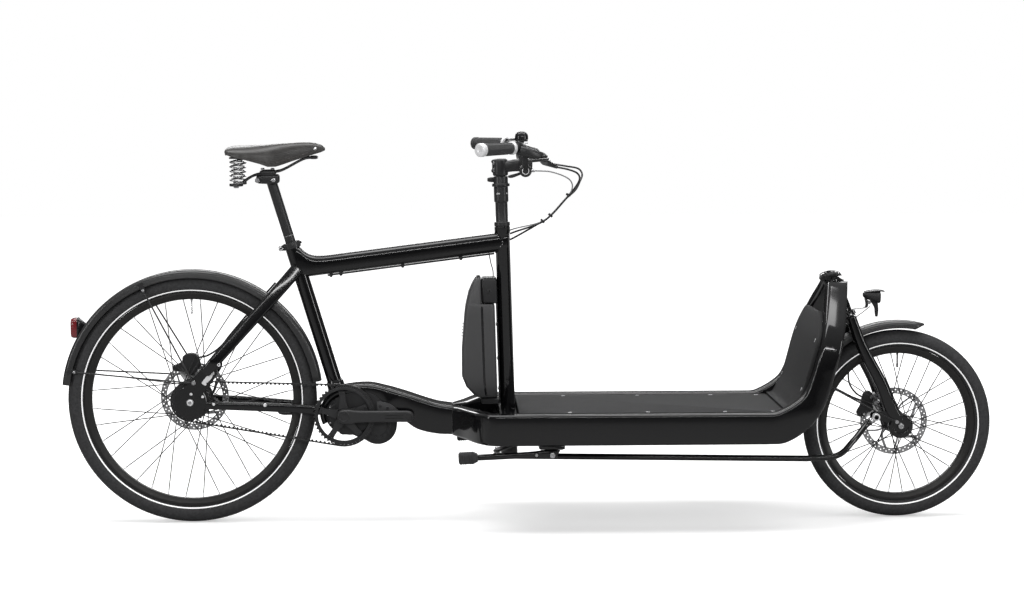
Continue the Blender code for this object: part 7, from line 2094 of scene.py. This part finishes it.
def cord(name, body, route, radius, cover=HOSE, sides=14, stands_for=()):
    """A hose or cable along its route."""
    made = piece(name, body, [(tube(route, radius, sides), cover)], stands_for, crease=70,
                 finish="belt_rubber")
    if body is None:
        follow_bars(made)


def follow_bars(made):
    """Move a piece's placing into its mesh."""
    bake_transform(made)


def make_hoses():
    """Brake hoses and gear cable from the bars to the column, and the cables on the frame."""
    entry = on_column(COLUMN_TOP - 12)
    front = 20.2
    trunk = ((109, -92), (71, -134), (40, -155))
    # Name, radius, cover, place beside the column, rise, drop, and the places near the bars.
    hoses = (("right_brake_hose", BRAKE_HOSE_R, HOSE, -2.7, 0, -8,
              ((81.4, -124, -2.2), (112, -104, -9), (137, -72, -20), (145, -42, -37), (134, -16, -61))),
             ("left_brake_hose", BRAKE_HOSE_R, HOSE, 2.7, 0, -24,
              ((81.4, 124, -2.2), (120, 104, -8), (148, 72, -13), (157, 40, -27), (149, 15, -46),
               (136, 3, -68))),
             ("gear_cable", GEAR_CABLE_R, CABLE, 0.0, 3.2, 0,
              ((22, -156, -10), (65, -120, -14), (106, -76, -29), (124, -44, -45), (126, -18, -66))))
    for name, radius, cover, offset, lift, drop, upper in hoses:
        points = [at_bars(1, *row) for row in upper]
        points += [at_bars(1, x + lift * 0.5, offset - 6 * n + 1, z + lift)
                   for n, (x, z) in zip((1, 0.6, 0.2), trunk)]
        end = entry + point(front - abs(offset) * 0.06, offset, lift * 0.4 + drop)
        points += [end + X * 18 + Z * (5.5 - drop * 0.15), end]
        route = smooth(points, 6)
        cord(name, None, route, radius, cover)
    for n, (x, z, lean) in enumerate(((118, -80, 1.25), (71, -134, 0.86), (50, -149, 0.7))):
        spot = at_bars(1, x, -4.2 + n * 2, z + 1)
        way = aimed(lean)
        clip = turned(spot - way * 3, way, bent([(0, 5.4), (0, 6.6), (6, 6.6), (6, 5.4)], 0.7, 3), 28,
                      ring=True)
        made = piece(f"hose_clip_{n + 1}", None, [(clip, PLASTIC)], finish="black_plastic")
        follow_bars(made)
        if n == 0:
            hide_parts("control_hoses")

    top = STAY_TOP
    foot = STAY_FOOT
    way = (foot - top).normalized()
    behind = way.cross(Y) * -19.2
    if behind.x > 0:
        behind = -behind
    route = smooth([top + (foot - top) * 0.22 + behind + Y * 36,
                    top + (foot - top) * 0.36 + behind + Y * 47, top + (foot - top) * 0.5 + behind + Y * 55,
                    REAR_AXLE + point(97, 57, 165.5), REAR_AXLE + point(69, 56, 131.5),
                    REAR_AXLE + point(37, 53, 109.5), REAR_AXLE + point(13.5, 49, 104)], 8)
    cord("rear_brake_hose_skin", "frame", route, BRAKE_HOSE_R, stands_for="rear_brake_hose")

    under = []
    for x in (-92, -130, -180, -256, -333, -410, -480, -530):
        under.append(point(x, 3.2, middle_of_top_tube(x) - TOP_TUBE_H / 2 - 3.4))
    route = smooth(under, 4)
    cord("frame_hose", "frame", route, BRAKE_HOSE_R)
    cord("frame_gear_cable", "frame", [p + point(0, -6.2, 0.2) for p in route], 2.3)
    parts = []
    for x in (-180, -333, -495, -521):
        low = middle_of_top_tube(x) - TOP_TUBE_H / 2
        parts += [(loft([section(point(x, 0, low + z), X, Y, wide, long, 2, 3)
                         for z, wide, long in ((0.6, 9, 16), (-5, 9, 17), (-7.6, 7, 14), (-8.4, 4, 10))]),
                   PLASTIC),
                  (socket_bolt(point(x, 0, low - 8), -Z, 2.4, 1.6), STEEL)]
    piece("frame_hose_clips", "frame", parts, finish="black_plastic")

    wire = smooth([point(-106, 7, middle_of_top_tube(-106) - 24), point(-101, 6, 682), point(-96, 2, 664),
                   point(-95, 0, 652), point(-95, 0, 644)], 6)
    cord("battery_wire", "frame", wire, 1.4, sides=10)

    wire = smooth([point(904, -6, 563), point(883, -9, 547), point(868, -10, 536), point(862, -10, 524.5),
                   point(865.5, -11, 515), point(873, -11, 512)], 7)
    cord("lamp_cable", "fork_body", wire, 1.1, sides=12)

    route = smooth([FRONT_AXLE + point(-112, 52, 158), FRONT_AXLE + point(-121, 50, 128),
                    FRONT_AXLE + point(-118, 44, 98), FRONT_AXLE + point(-103, 37, 76),
                    FRONT_AXLE + point(-88, 34, 66)], 7)
    cord("front_brake_hose", "fork_body", route, 2.4)


make_frame_tubes()
make_stays()
make_boom_skin()
make_rails()
make_heads()
make_deck()
make_collar()
make_wheels()
make_drive()
make_crank_skins()
make_motor_skin()
make_axle_skin()
make_fork_skin()
make_steering_skins()
make_rear_fender_skin()
make_front_fender_skin()
make_tail_light_skin()
make_caliper_skins()
make_headlight_skin()
make_stand_skins()
make_battery_skins()
make_bundle_skin()
make_seatpost_skin()
make_saddle_skins()
make_leather_skin()
make_bar_skins()
make_grip_skins()
make_brake_skins()
make_bell_skin()
make_hoses()
